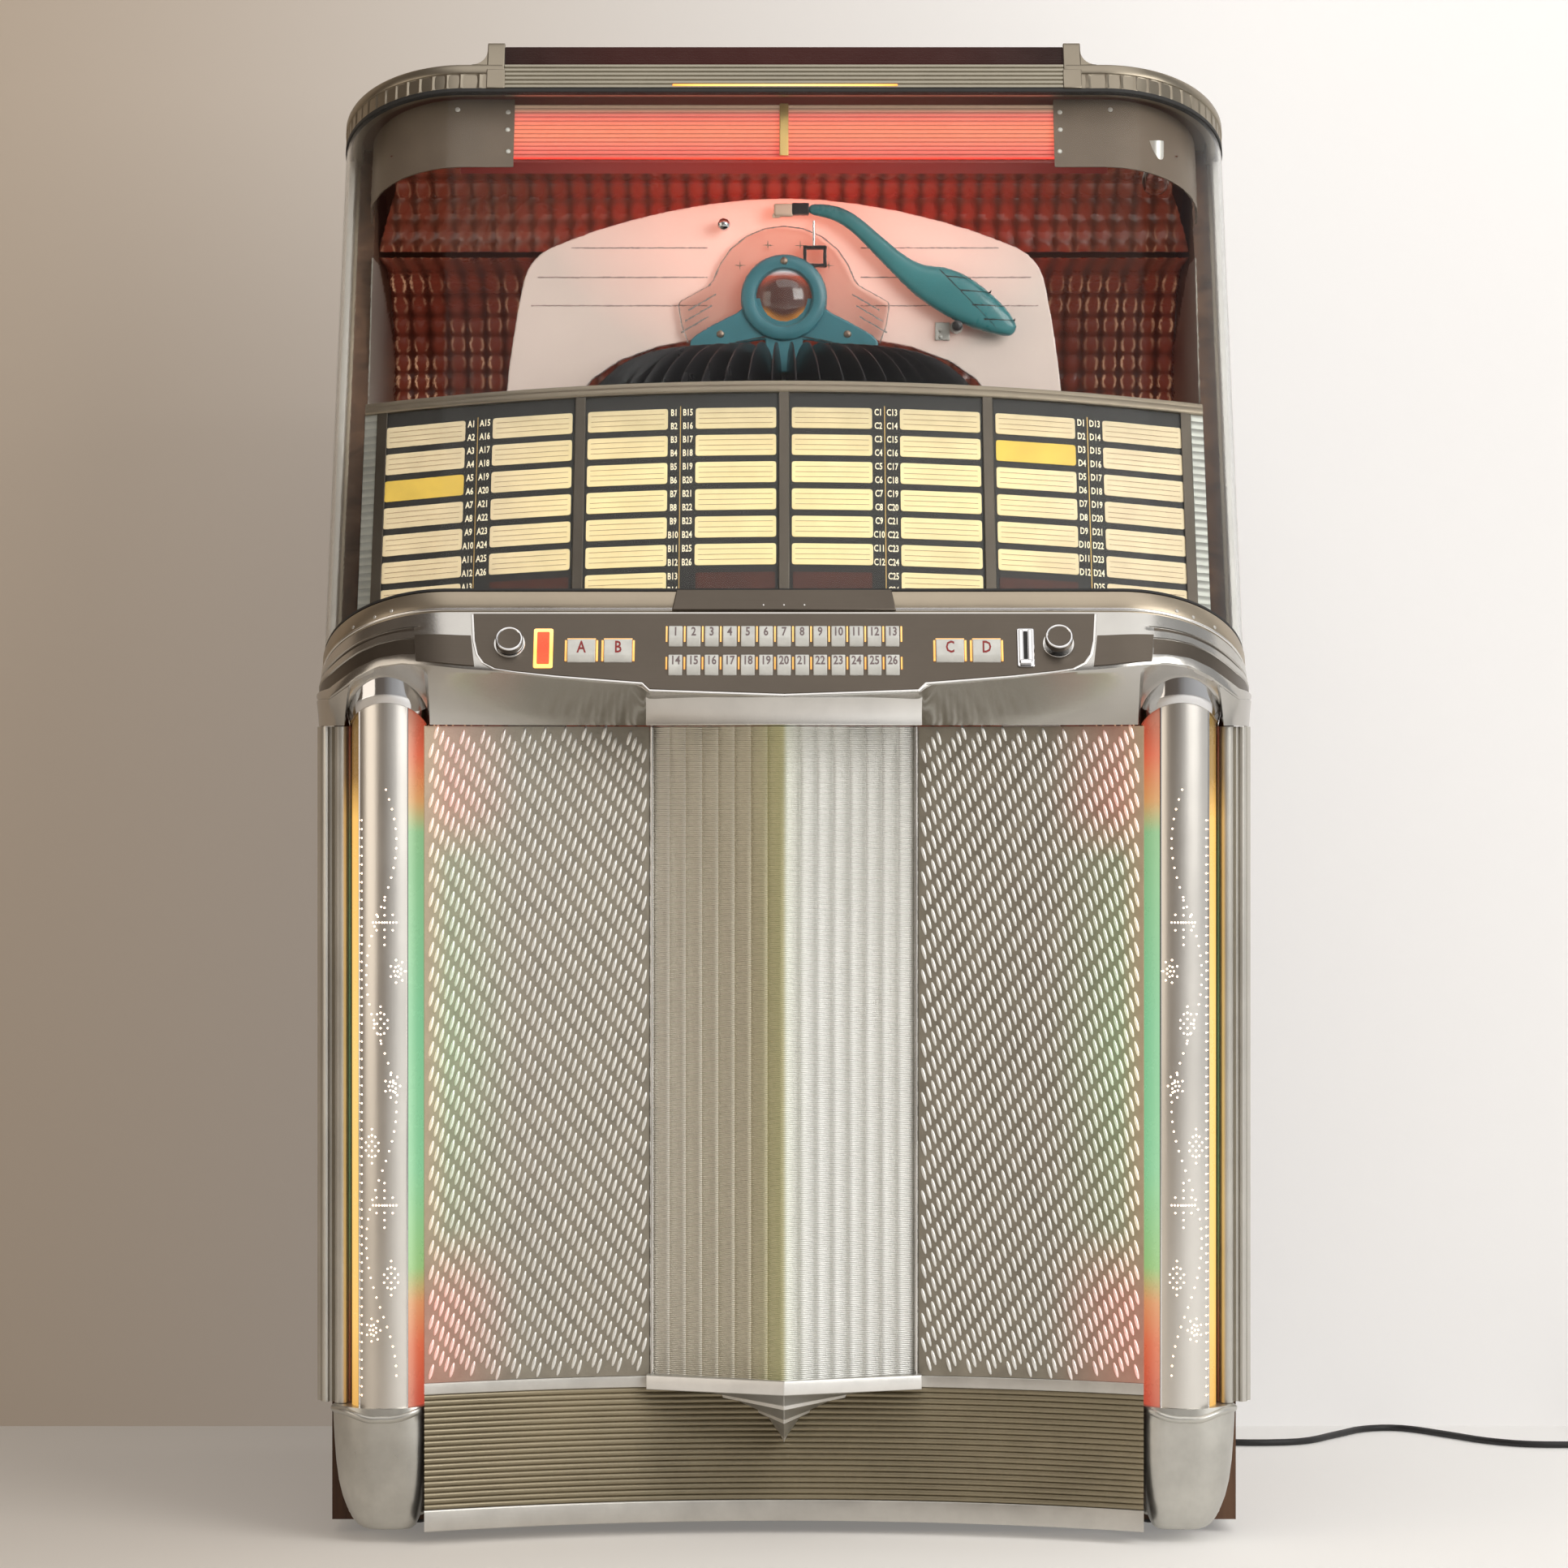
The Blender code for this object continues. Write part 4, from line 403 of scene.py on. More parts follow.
LOUVRE_RISE = 0.0034
LOUVRE_BANKS = ((-0.19, 0.86), (0.19, 0.86), (-0.19, 0.26), (0.19, 0.26))
LOUVRES = 9
COVER_SCREW_PLACES = [(side * 0.39, height) for side in (-1, 1) for height in (0.05, 0.32, 0.59, 0.86, 1.11)]
COVER_SCREW_PLACES += [(across, height) for across in (-0.13, 0.13) for height in (0.05, 1.11)]


def louvre_place(across, along):
    """A half-round hood, tapering to both ends."""
    share = 2 * across - 1
    open_up = LOUVRE_RISE * (1 - share ** 8)
    turn = math.pi * along
    return Vector((LOUVRE_HALF * share, open_up * math.sin(turn), 0.0045 * math.cos(turn)))


def copies_at(piece, places):
    """The piece repeated by an Array modifier, and each copy carried to its own place."""
    shape = np.empty(len(piece.data.vertices) * 3)
    piece.data.vertices.foreach_get("co", shape)
    shape = shape.reshape(-1, 3)
    apply_modifier(piece, "ARRAY", count=len(places), use_relative_offset=False)
    carried = [shape @ np.array(place.to_3x3()).T + np.array(place.translation) for place in places]
    piece.data.vertices.foreach_set("co", np.concatenate(carried).ravel())
    piece.data.update()
    return piece


louvres = copies_at(bent_sheet("rear_louvres", 24, 8, louvre_place), [Matrix.Translation((across, COVER_FACE,
    low + LOUVRE_PITCH * index)) for across, low in LOUVRE_BANKS for index in range(LOUVRES)])
fitted(louvres, "wood", look=hardboard)
REARWARD = Matrix.Rotation(-math.pi / 2, 4, "X")


def turned(name, profile, framed=Matrix.Identity(4), steps=32, angle=32):
    """A profile of (radius, height) points turned round the frame's Z axis."""
    def place(across, along):
        radius, height = profile[round(along * (len(profile) - 1))]
        turn = math.tau * (round(across * steps) % steps) / steps
        return framed @ Vector((radius * math.cos(turn), radius * math.sin(turn), height))
    piece = bent_sheet(name, steps, len(profile) - 1, place, seam=True)
    smooth(piece, angle)
    return piece


screw = turned("cover_screws", mm([(0, 2.1), (2, 2), (3.6, 1.4), (4.5, 0.4), (4.7, 0)]), REARWARD, 14)


def joined(name, pieces):
    """Several meshes as one piece."""
    pick(*pieces)
    bpy.ops.object.join()
    pieces[0].name = pieces[0].data.name = name
    return pieces[0]


def lofted(name, rings, edge=0, segments=2):
    """A closed solid through rings of equally many points, with its edges rounded."""
    def place(across, along):
        ring = rings[round(along * (len(rings) - 1))]
        return ring[round(across * len(ring)) % len(ring)]
    piece = bent_sheet(name, len(rings[0]), len(rings) - 1, place, seam=True)
    if edge:
        apply_modifier(piece, "BEVEL", width=edge, segments=segments, limit_method="ANGLE")
        smooth(piece)
    return piece


def slab(name, outline, low, high, framed=Matrix.Identity(4), edge=0, segments=2):
    """A flat outline given thickness along the frame's Z axis."""
    return lofted(name, [[framed @ Vector((*point, height)) for point in outline] for height in (low, high)], edge,
        segments)


def block(name, low, high, framed=Matrix.Identity(4), edge=0.0008, segments=2):
    """A rectangular bar or plate with rounded edges."""
    outline = [(low[0], low[1]), (high[0], low[1]), (high[0], high[1]), (low[0], high[1])]
    return slab(name, outline, low[2], high[2], framed, edge, segments)


screw = joined("cover_screws", [screw] + [block("slot", (-wide, -tall, 0.0012), (wide, tall, 0.0024), REARWARD,
    0.0002, 1) for wide, tall in ((0.0036, 0.0005), (0.0005, 0.0036))])
copies_at(screw, [Matrix.Translation((across, COVER_FACE, height)) for across, height in COVER_SCREW_PLACES])
fitted(screw, "chassis_steel", look=dark_steel)

# Casters: rubber-tyred wheels on steel hubs. Each one runs on a stub axle between two fork plates that
# are bolted under the floor, behind the kick panel and inside the rear cover.
CASTER_HEIGHT, TREAD_INNER = 0.025, 0.0178
wheel_half = mm([(0, 14.3), (3.6, 14.3), (3.8, 14), (3.8, 9.6), (9.5, 9.4), (10.5, 7.6), (17.2, 7.2), (18.2, 9.6),
    (22.2, 9.8), (24.3, 8.2), (24.9, 5)])
wheel_profile = wheel_half + [(radius, -height) for radius, height in reversed(wheel_half)]
tyre = finish_of("tyre_rubber", (0.035, 0.033, 0.032), 0.7, scale=70, amount=0.5, grain=800, bump=0.2)
ACROSS = Matrix.Rotation(math.pi / 2, 4, "Y")


def painted(piece, looks, choose):
    """Several looks on one piece, the one for each face chosen by its middle."""
    piece.data.materials.clear()
    for look in looks:
        piece.data.materials.append(look)
    for face in piece.data.polygons:
        face.material_index = choose(face.center, face.normal)
    return piece


for end, along in (("front", -0.155), ("rear", 0.275)):
    for side, across in (("left", -0.335), ("right", 0.335)):
        name = f"{end}_{side}_caster"
        wheel = turned(name + "_wheel", wheel_profile, Matrix.Translation((across, along, CASTER_HEIGHT)) @ ACROSS,
            40)
        painted(wheel, (tyre, dark_steel), lambda middle, normal: int(math.hypot(middle.y - along,
            middle.z - CASTER_HEIGHT) < TREAD_INNER))
        fitted(wheel, "caster_rubber", name, body=name)

# The kick panel follows the concave front: a field of horizontal anodised reeds, golden brown and
# rubbed, between a flat aluminium base trim and a thin aluminium top trim.
BOW_RADIUS = 0.79428
BOW_CENTRE = 0.118 - BOW_RADIUS
BOW_HALF = 0.3167
REEDS = 20
REED_LOW, REED_HIGH = 0.031, 0.133
REED_BULGE = 0.0021


def both_sides(half):
    """Half an outline and its reflection, with a point on the middle line kept once."""
    return half + [(-across, up) for across, up in reversed(half) if across]


def bow_depth(across):
    """Depth of the concave front this far from the middle."""
    return BOW_CENTRE + math.sqrt(BOW_RADIUS ** 2 - across ** 2)


def depth(distance):
    """Y of a place this far behind the front-most line of the cabinet."""
    return distance - 0.345


def on_bow(across, recess, height):
    """A place on the concave front, this far behind its face."""
    return Vector((across, depth(bow_depth(across) + recess), height))


def reed_place(across, along):
    share = along * REEDS % 1
    bulge = REED_BULGE * math.sqrt(max(0, 1 - (2 * share - 1) ** 2))
    return on_bow(BOW_HALF * (2 * across - 1), 0.0032 - bulge, REED_LOW + (REED_HIGH - REED_LOW) * along)


def on_bow_strip(name, section):
    """A moulding of the given (recess, height) section, bent along the concave front."""
    return bent_sheet(name, 40, len(section) - 1, lambda across, along: on_bow(BOW_HALF * (2 * across - 1),
        *section[round(along * (len(section) - 1))]))


golden = finish_of("golden_anodised", (0.31, 0.265, 0.18), 0.36, 0.7, scale=7, amount=0.45, grain=(20, 20, 900),
    bump=0.08)
kick_reeds = bent_sheet("kick_reeds", 40, REEDS * 8, reed_place)
fitted(kick_reeds, "golden_metal", "kick_panel", look=golden)
base_section = mm([(30, 12.2), (0.8, 12.2), (0.2, 12.8), (0, 14), (0, 29.6), (0.2, 30.4), (0.8, 31), (4, 31)])
top_section = mm([(4, 133), (0.6, 133), (0.1, 133.6), (0, 135), (0, 141.2), (0.2, 142.4), (0.8, 143), (4, 143)])
for name, section in (("kick_base_trim", base_section), ("kick_top_trim", top_section)):
    fitted(on_bow_strip(name, section), "cast_aluminium", look=satin)

# Cast aluminium boots under the columns, with a polished bead that dips under the column's front and
# rises beside it. The toe is drawn in, more on the outer side.
FOOT_X, FOOT_Y = 0.3615, -0.258
FOOT_INNER, FLANK_POWER = 0.0464, 0.5
FOOT_RINGS = mm(((18.5, 12, 7.5, 0), (20.5, 12.8, 7.2, 0), (23.5, 15.5, 6.2, 0), (26.8, 21.5, 4.8, 0),
    (29.8, 30, 3.6, 0), (32.6, 40, 2.6, 0), (35, 54, 1.6, 0), (36.6, 72, 0.8, 0), (37.6, 92, 0.3, 0),
    (38.2, 108, 0, 0.4), (38.3, 114.2, 0, 1), (39, 115, 0, 1), (40.1, 115.8, 0, 1), (40.7, 117.2, 0, 1),
    (40.7, 118.4, 0, 1), (40, 119.8, 0, 1), (38.8, 120.6, 0, 1), (37.6, 120.8, 0, 1), (37, 122, 0, 0.2)))


def foot_place(across, along):
    radius, height, inward, dip = FOOT_RINGS[round(along * (len(FOOT_RINGS) - 1))]
    turn = math.tau * (round(across * 64) % 64) / 64
    front = (turn - 1.5 * math.pi + math.pi) % math.tau - math.pi
    height += dip * (1.2 * math.sin(2 * front) ** 2 - 6.2 * math.exp(-(front / 0.55) ** 2))
    across, along = radius * math.cos(turn), radius * math.sin(turn)
    if across < 0:
        flank = FLANK_POWER if along < 0 else 1
        across = -min(radius * 1.25, FOOT_INNER) * (-math.cos(turn)) ** flank
        along = math.copysign(radius * abs(math.sin(turn)) ** flank, along)
    return Vector((FOOT_X - inward + across, FOOT_Y + 0.001 + along, height))


foot = bent_sheet("foot", 64, len(FOOT_RINGS) - 1, foot_place, seam=True)
smooth(foot, 50)
lug = block("lug", (0.3174, -0.262, 0.022), (0.387, -0.2153, 0.1135), edge=0.006, segments=4)
right_boot = joined("right_foot_boot", [foot, lug])
boot_metal = finish_of("worn_boot_aluminium", (0.56, 0.55, 0.51), 0.3, 0.85, scale=16, amount=0.45,
    grain=(300, 300, 60), bump=0.06)


def mirrored(piece, name):
    """A copy of the piece on the other side of the middle plane."""
    pick(piece)
    bpy.ops.object.duplicate()
    other = bpy.context.object
    other.name = other.data.name = name
    other.data.transform(Matrix.Diagonal((-1, 1, 1, 1)))
    other.data.flip_normals()
    return other


fitted(mirrored(right_boot, "left_foot_boot"), "cast_aluminium", "left_foot_casting", look=boot_metal)
fitted(right_boot, "cast_aluminium", "right_foot_casting", look=boot_metal)

# Corner columns: a brushed aluminium half-tube with pinholes lit from inside, coloured lens strips at
# both of its edges, a grooved aluminium moulding beside it, and a chrome cap that is arched over it.
COLUMN_X, COLUMN_Y = 0.3505, -0.2595
SLEEVE_RADIUS = 0.0334
COLUMN_LOW, COLUMN_HIGH = 0.1225, 0.722
ARCH_LOW, ARCH_RISE, ARCH_HALF = 0.715, 0.0275, 0.0345
SLEEVE_SPAN = (-33, 46)
INNER_LENS_SPAN = (-93, -34)
OUTER_LENS_SPAN = (47, 88)


def on_column(degrees, height, radius=SLEEVE_RADIUS):
    """A place on the half-tube: 0 degrees faces the front, and 90 the outer side."""
    turn = math.radians(degrees)
    return Vector((COLUMN_X + radius * math.sin(turn), COLUMN_Y - radius * math.cos(turn), height))


def arch_edge(across):
    """Height of the arched lower edge of the cap."""
    return ARCH_LOW + ARCH_RISE * math.sqrt(max(0, 1 - ((across - COLUMN_X) / ARCH_HALF) ** 2))


def column_sheet(name, span, radius, across_steps, thickness=0):
    """A part of the half-tube between two directions, from the boot up to the cap's arch."""
    def place(across, along):
        degrees = span[0] + (span[1] - span[0]) * across
        top = arch_edge(on_column(degrees, 0).x) + 0.002
        return on_column(degrees, COLUMN_LOW - 0.004 + (top - COLUMN_LOW + 0.004) * along, radius)
    return bent_sheet(name, across_steps, 24, place, thickness=thickness)


brushed = finish_of("brushed_sleeve", (0.8, 0.77, 0.72), 0.3, 1, scale=9, amount=0.08, grain=(700, 700, 30),
    bump=0.03)


def shining(look, colour, strength):
    """Light of this colour from the look's own surface."""
    shader = look.node_tree.nodes["Principled BSDF"]
    look.node_tree.links.new(colour, shader.inputs["Emission Color"])
    shader.inputs["Emission Strength"].default_value = strength
    return look


def lit(look, axis, span, stops, strength):
    """Light from inside a piece: its colour runs along one axis through the given stops."""
    tree = look.node_tree
    return shining(look, colours_along(tree, share_of(tree, split_place(tree)[axis], *span), stops), strength)


inner_glow = lit(finish_of("inner_lens_glow", (0.35, 0.4, 0.32), 0.25, scale=20, amount=0.2), 2, (0.12, 0.74),
    ((0, (0.8, 0.1, 0.06)), (0.09, (1, 0.2, 0.09)), (0.15, (1, 0.42, 0.18)), (0.2, (0.42, 0.78, 0.3)),
    (0.34, (0.34, 0.84, 0.46)), (0.56, (0.3, 0.8, 0.44)), (0.82, (0.34, 0.72, 0.36)), (0.865, (0.95, 0.45, 0.16)),
    (0.93, (1, 0.16, 0.08)), (1, (0.45, 0.06, 0.03))), 0.62)
outer_glow = lit(finish_of("outer_lens_glow", (0.3, 0.2, 0.06), 0.25, scale=20, amount=0.2), 2, (0.12, 0.74),
    ((0, (0.8, 0.42, 0.1)), (0.12, (1, 0.62, 0.18)), (0.5, (1, 0.68, 0.22)), (0.84, (1, 0.56, 0.14)),
    (0.9, (0.2, 0.1, 0.03)), (1, (0.05, 0.03, 0.015))), 0.85)
sleeve = column_sheet("column_sleeve", SLEEVE_SPAN, SLEEVE_RADIUS, 28, 0.0008)
inner_lens = column_sheet("column_inner_lens", INNER_LENS_SPAN, 0.0322, 14)
outer_lens = column_sheet("column_outer_lens", OUTER_LENS_SPAN, 0.0326, 10)
beads = []
for degrees in (-33.5, 46.5):
    def bead_place(across, along, degrees=degrees):
        turn = math.tau * (round(along * 8) % 8) / 8
        middle = on_column(degrees, 0, SLEEVE_RADIUS - 0.0002)
        height = COLUMN_LOW - 0.003 + (arch_edge(middle.x) - COLUMN_LOW + 0.005) * across
        return middle + Vector((0.0009 * math.cos(turn), 0.0009 * math.sin(turn), height))
    beads.append(bent_sheet("bead", 16, 8, bead_place, seam=True))
edge_beads = joined("column_edge_beads", beads)

MOULDING = mm([(384.2, -235), (384.6, -250), (385.2, -253), (386.2, -253.6), (386.8, -256), (387.4, -260.6),
    (388.4, -263), (390.2, -264.6), (393, -265.2), (395.8, -264.6), (397.6, -262.8), (398.6, -259.6), (399.2, -255.2),
    (400, -253.2), (401.8, -252.6), (403.6, -252.6), (404.2, -253.6), (405.2, -255.6), (407.2, -256.2),
    (409.2, -255.4), (410.8, -253.4), (411.6, -250), (412, -247), (413.4, -245), (415.2, -243), (415.8, -240),
    (415.8, -215.3)])
MOULDING_GROOVES = mm(((399, 402), (410.9, 411.9)))
moulding = bent_sheet("column_moulding", len(MOULDING) - 1, 8, lambda across, along: Vector((*MOULDING[round(across
    * (len(MOULDING) - 1))], COLUMN_LOW + (COLUMN_HIGH - COLUMN_LOW) * along)))
# The dark strips in the moulding's grooves are painted shade.
moulding_looks = (finish_of("moulding_aluminium", (0.62, 0.6, 0.55), 0.34, 0.8, scale=9, grain=(600, 600, 12)),
    finish_of("moulding_groove_shade", (0.24, 0.21, 0.16), 0.5, 0.4, scale=30, amount=0.3))
cap_rings = 10


def cap_place(across, along):
    """The cap rises from its arched edge and leans back under the band's wing."""
    degrees = -90 + 182 * across
    edge = arch_edge(on_column(degrees, 0).x)
    share = round(along * cap_rings)
    if share == 0:
        return on_column(degrees, edge, SLEEVE_RADIUS + 0.0002)
    rise = (share - 1) / (cap_rings - 1)
    radius = SLEEVE_RADIUS + 0.0014 + 0.0022 * min(1, 4 * rise)
    return on_column(degrees, edge + (0.766 - edge) * rise, radius)


cap = bent_sheet("column_cap", 48, cap_rings, cap_place)
pinhole = turned("pinhole", mm([(0, 0.4), (0.5, 0.4), (0.7, 0.2), (0.9, 0)]), steps=8)
PIN_CROSS = [(across, 0) for across in (-0.0105, -0.0077, -0.0049, -0.0021, 0, 0.0021, 0.0049, 0.0077, 0.0105)]
PIN_CROSS += [(0, rise) for rise in (-0.0196, -0.013, -0.0064, 0.0064, 0.013, 0.0196)]
PIN_CROSS += [(side * 0.0072, rise) for side in (-1, 1) for rise in (-0.0068, 0.0068)]
PIN_DIAMOND = [(0, 0.015), (0, 0.0095), (0, 0.004), (0, -0.004), (0, -0.0095), (0, -0.015)]
PIN_DIAMOND += [(side * across, rise) for side in (-1, 1) for across, rise in ((0.0032, 0.0082), (0.0062, 0.003),
    (0.0032, 0), (0.0062, -0.004), (0.0032, -0.0085))]
PIN_FLOWER = [(reach * math.cos(math.tau * (petal + phase) / 7), 1.5 * reach
    * math.sin(math.tau * (petal + phase) / 7)) for reach, phase in ((0.0032, 0), (0.0068, 0.5))
    for petal in range(7)] + [(0, 0)]
pin_marks = [(41, 0.132 + 0.0078 * index) for index in range(66)]
pin_marks += [(8 - 24 * math.cos(math.tau * (index * 0.0086) / 0.235), 0.15 + 0.0086 * index) for index in range(61)]
for centre_degrees, centre_height, marks in ((2, 0.549, PIN_CROSS), (-18, 0.506, PIN_FLOWER), (8, 0.46, PIN_DIAMOND),
        (-10, 0.405, PIN_FLOWER), (2, 0.3, PIN_CROSS), (22, 0.352, PIN_DIAMOND), (-8, 0.236, PIN_DIAMOND),
        (20, 0.19, PIN_FLOWER)):
    pin_marks += [(centre_degrees + math.degrees(across / SLEEVE_RADIUS), centre_height + rise) for across,
        rise in marks]
pin_marks = [mark for mark in pin_marks if -30 < mark[0] < 44]
FACE = Matrix.Rotation(math.pi / 2, 4, "X")
copies_at(pinhole, [Matrix.Translation(on_column(degrees, height, SLEEVE_RADIUS + 0.0001))
    @ Matrix.Rotation(math.radians(degrees), 4, "Z") @ FACE for degrees, height in pin_marks])
pin_glow = lit(finish_of("pinhole_glow", (0.9, 0.75, 0.6), 0.4, scale=200, amount=0.3), 2, (0.12, 0.74),
    ((0, (1, 0.62, 0.36)), (0.5, (1, 0.8, 0.62)), (1, (1, 0.66, 0.42))), 4.5)
for piece, slot, look in ((sleeve, "column_metal", brushed), (inner_lens, "column_metal", inner_glow),
        (outer_lens, "column_metal", outer_glow), (edge_beads, "chrome_trim", chrome), (cap, "chrome_trim", chrome),
        (pinhole, "column_metal", pin_glow)):
    base = piece.name
    piece.name = piece.data.name = "right_" + base
    for each, side in ((mirrored(piece, "left_" + base), "left"), (piece, "right")):
        fitted(each, slot, *[side + "_light_column"] * (piece is sleeve), look=look)
left_moulding = mirrored(moulding, "left_column_moulding")
moulding.name = "right_column_moulding"
for piece in (moulding, left_moulding):
    painted(piece, moulding_looks, lambda middle, normal: int(any(low < abs(middle.x) < high for low,
        high in MOULDING_GROOVES)))
    fitted(piece, "column_metal")

# Grilles: embossed sheet metal, a brown-grey ground with slanting silver welts in rows that rise
# towards the columns. Lamps behind the columns tint it green halfway up, and red at the outer corners.
GRILLE_INNER, GRILLE_OUTER = 0.1203, 0.3165
GRILLE_LOW, GRILLE_HIGH = 0.1433, 0.7222
WELT_STEP = (0.00443, 0.00532)
WELT_ROW_PITCH = 0.0219
WELT_LEAN = math.radians(-16)
WELT_SIZE = (0.0019, 0.0072, 0.0016)


def corner_tints(look, strength):
    """Painted light: red and green light that falls on the grille from beside the columns."""
    tree = look.node_tree
    across, _, height = split_place(tree)
    outward = math_of(tree, "ABSOLUTE", across)
    height = share_of(tree, height, 0.14, 0.72)
    corners = colours_along(tree, height, ((0, (1, 0.16, 0.1)), (0.13, (1, 0.14, 0.08)), (0.24, (0.16, 0.3, 0.07)),
        (0.5, (0.22, 0.62, 0.2)), (0.8, (0.13, 0.3, 0.07)), (0.88, (1, 0.15, 0.08)), (1, (0.9, 0.22, 0.16))))
    near = share_of(tree, outward, 0.225, 0.325, interpolation_type="SMOOTHSTEP")
    glow = add_node(tree, "MixRGB", [("Fac", near), ("Color2", corners)], Color1=(0, 0, 0, 1)).outputs[0]
    middle = colours_along(tree, height, ((0.12, (0, 0, 0)), (0.25, (0.9, 0.9, 0.9)), (0.85, (0.9, 0.9, 0.9)),
        (1, (1, 1, 1))))
    spill = math_of(tree, "MULTIPLY", share_of(tree, outward, 0.296, 0.317), middle)
    glow = add_node(tree, "MixRGB", [("Fac", spill), ("Color1", glow)], Color2=(1, 0.6, 0.3, 1)).outputs[0]
    return shining(look, glow, strength)


grille_ground = corner_tints(finish_of("grille_ground", (0.31, 0.28, 0.225), 0.42, 0.5, scale=60, amount=0.3,
    grain=700, bump=0.2), 0.2)
welt_silver = corner_tints(finish_of("welt_silver", (0.95, 0.95, 0.92), 0.34, 0.7, scale=50, amount=0.15), 0.4)


def grille_ground_place(across, along):
    middle = GRILLE_INNER + (GRILLE_OUTER - GRILLE_INNER) * across
    return on_bow(middle, 0.0016, GRILLE_LOW + (GRILLE_HIGH - GRILLE_LOW) * along)


ground = bent_sheet("right_grille_ground", 16, 4, grille_ground_place, thickness=0.002)
fitted(mirrored(ground, "left_grille_ground"), "grille_metal", "left_grille", look=grille_ground)
fitted(ground, "grille_metal", "right_grille", look=grille_ground)
welt_places = []
for column in range(1, 44):
    across = GRILLE_INNER + WELT_STEP[0] * column
    for row in range(-12, 30):
        height = GRILLE_LOW + WELT_STEP[1] * column + WELT_ROW_PITCH * row
        if GRILLE_LOW + 0.006 < height < GRILLE_HIGH - 0.005 and across < GRILLE_OUTER - 0.002:
            face = Matrix.Rotation(-math.asin(across / BOW_RADIUS), 4, "Z")
            welt_places.append(Matrix.Translation(on_bow(across, 0.0018, height)) @ face
                @ Matrix.Rotation(WELT_LEAN, 4, "Y"))
pick()
bpy.ops.mesh.primitive_uv_sphere_add(segments=8, ring_count=6, radius=1)
welts = bpy.context.object
welts.data.transform(Matrix.Diagonal((WELT_SIZE[0], WELT_SIZE[2], WELT_SIZE[1], 1)))
bpy.ops.object.mode_set(mode="EDIT")
bpy.ops.mesh.select_all(action="SELECT")
bpy.ops.mesh.bisect(plane_co=(0, 0.0003, 0), plane_no=(0, 1, 0), clear_outer=True)
bpy.ops.object.mode_set(mode="OBJECT")
copies_at(welts, welt_places)
smooth(welts, 80)
welts.name = welts.data.name = "right_grille_welts"
fitted(mirrored(welts, "left_grille_welts"), "grille_metal", look=welt_silver)
fitted(welts, "grille_metal", look=welt_silver)

# The centre pilaster: two ribbed panels of fine metal cloth that meet in an upright prow, edged with
# thin bright strips. Under it hangs a stepped, polished ornament.
PILASTER_HALF = 0.1165
PILASTER_EDGE_Y, PILASTER_NOSE_Y = -0.2335, -0.2895
PILASTER_RIBS = 8
RIB_BULGE = 0.0016


def pilaster_y(across):
    """The prow's face this far from the middle."""
    return PILASTER_NOSE_Y + (PILASTER_EDGE_Y - PILASTER_NOSE_Y) * abs(across) / PILASTER_HALF


def rib_place(across, along):
    middle = 2 * across - 1
    share = abs(middle) * PILASTER_RIBS % 1
    bulge = RIB_BULGE * (max(0, 1 - (2 * share - 1) ** 2)) ** 0.5
    return Vector((PILASTER_HALF * middle, pilaster_y(PILASTER_HALF * middle) + RIB_BULGE - bulge,
        0.144 + 0.578 * along))


wire_cloth = finish_of("ribbed_metal_cloth", (0.66, 0.64, 0.58), 0.3, 0.9, scale=10, grain=8)
cloth_tree = wire_cloth.node_tree
wires = add_node(cloth_tree, "TexWave", [("Vector", place_in(cloth_tree))], bands_direction="Z", wave_profile="SIN",
    Scale=185, Distortion=0.6)
wire_bump = add_node(cloth_tree, "Bump", [("Height", wires.outputs[1])], Strength=0.55, Distance=0.0012)
cloth_tree.links.new(wire_bump.outputs[0], cloth_tree.nodes["Principled BSDF"].inputs["Normal"])
# Painted light and shade: the left panel darkens and turns golden towards the prow, and the right one stays pale.
cloth_light_and_shade = colours_along(cloth_tree, share_of(cloth_tree, split_place(cloth_tree)[0], -0.12, 0.12),
    ((0, (0.72, 0.69, 0.62)), (0.34, (0.66, 0.62, 0.5)), (0.495, (0.58, 0.51, 0.33)), (0.51, (0.74, 0.74, 0.68)),
    (0.6, (0.76, 0.76, 0.74)), (1, (0.74, 0.74, 0.71))))
cloth_tree.links.new(cloth_light_and_shade, cloth_tree.nodes["Principled BSDF"].inputs["Base Color"])
# Painted light: a faint green glow along the prow.
lit(wire_cloth, 0, (-0.03, 0.12), ((0, (0, 0, 0)), (0.19, (0.08, 0.16, 0.03)), (0.27, (0.02, 0.04, 0.01)),
    (1, (0, 0, 0))), 0.32)
pilaster_cloth = bent_sheet("pilaster_cloth", PILASTER_RIBS * 2 * 8, 12, rib_place)
smooth(pilaster_cloth, 40)
fitted(pilaster_cloth, "grille_metal", "center_pilaster", look=wire_cloth)
STRIP_OUTLINE = mm([(116.2, -234.5), (116.6, -236.2), (118.4, -236.4), (120, -234.8), (120, -215.3), (116.2, -215.3)])
strips = [slab("strip", [(side * across, along) for across, along in STRIP_OUTLINE], 0.1436, 0.7222, edge=0.0004,
    segments=1) for side in (-1, 1)]
fitted(joined("pilaster_edge_strips", strips), "chrome_trim", look=polished)
ORNAMENT_LEVELS = mm((((145.3, 122.5, -292.5, 0), (144.5, 122.5, -293.2, 0), (133, 122.5, -293.2, 0),
    (132.2, 122.5, -292.5, 0)), ((132.2, 85, -289, 0), (126.2, 56, -283.5, 4), (123.2, 54.5, -283.5, 5),
    (122.6, 48, -278, 5)), ((123, 47, -274, 5), (112, 23.5, -268, 4), (109, 22.5, -268, 5), (108.4, 18, -262, 5)),
    ((108.8, 16.5, -260, 5), (96, 8, -254, 3), (90, 3.5, -249, 1), (85, 1, -246, 0)),))
tiers = []
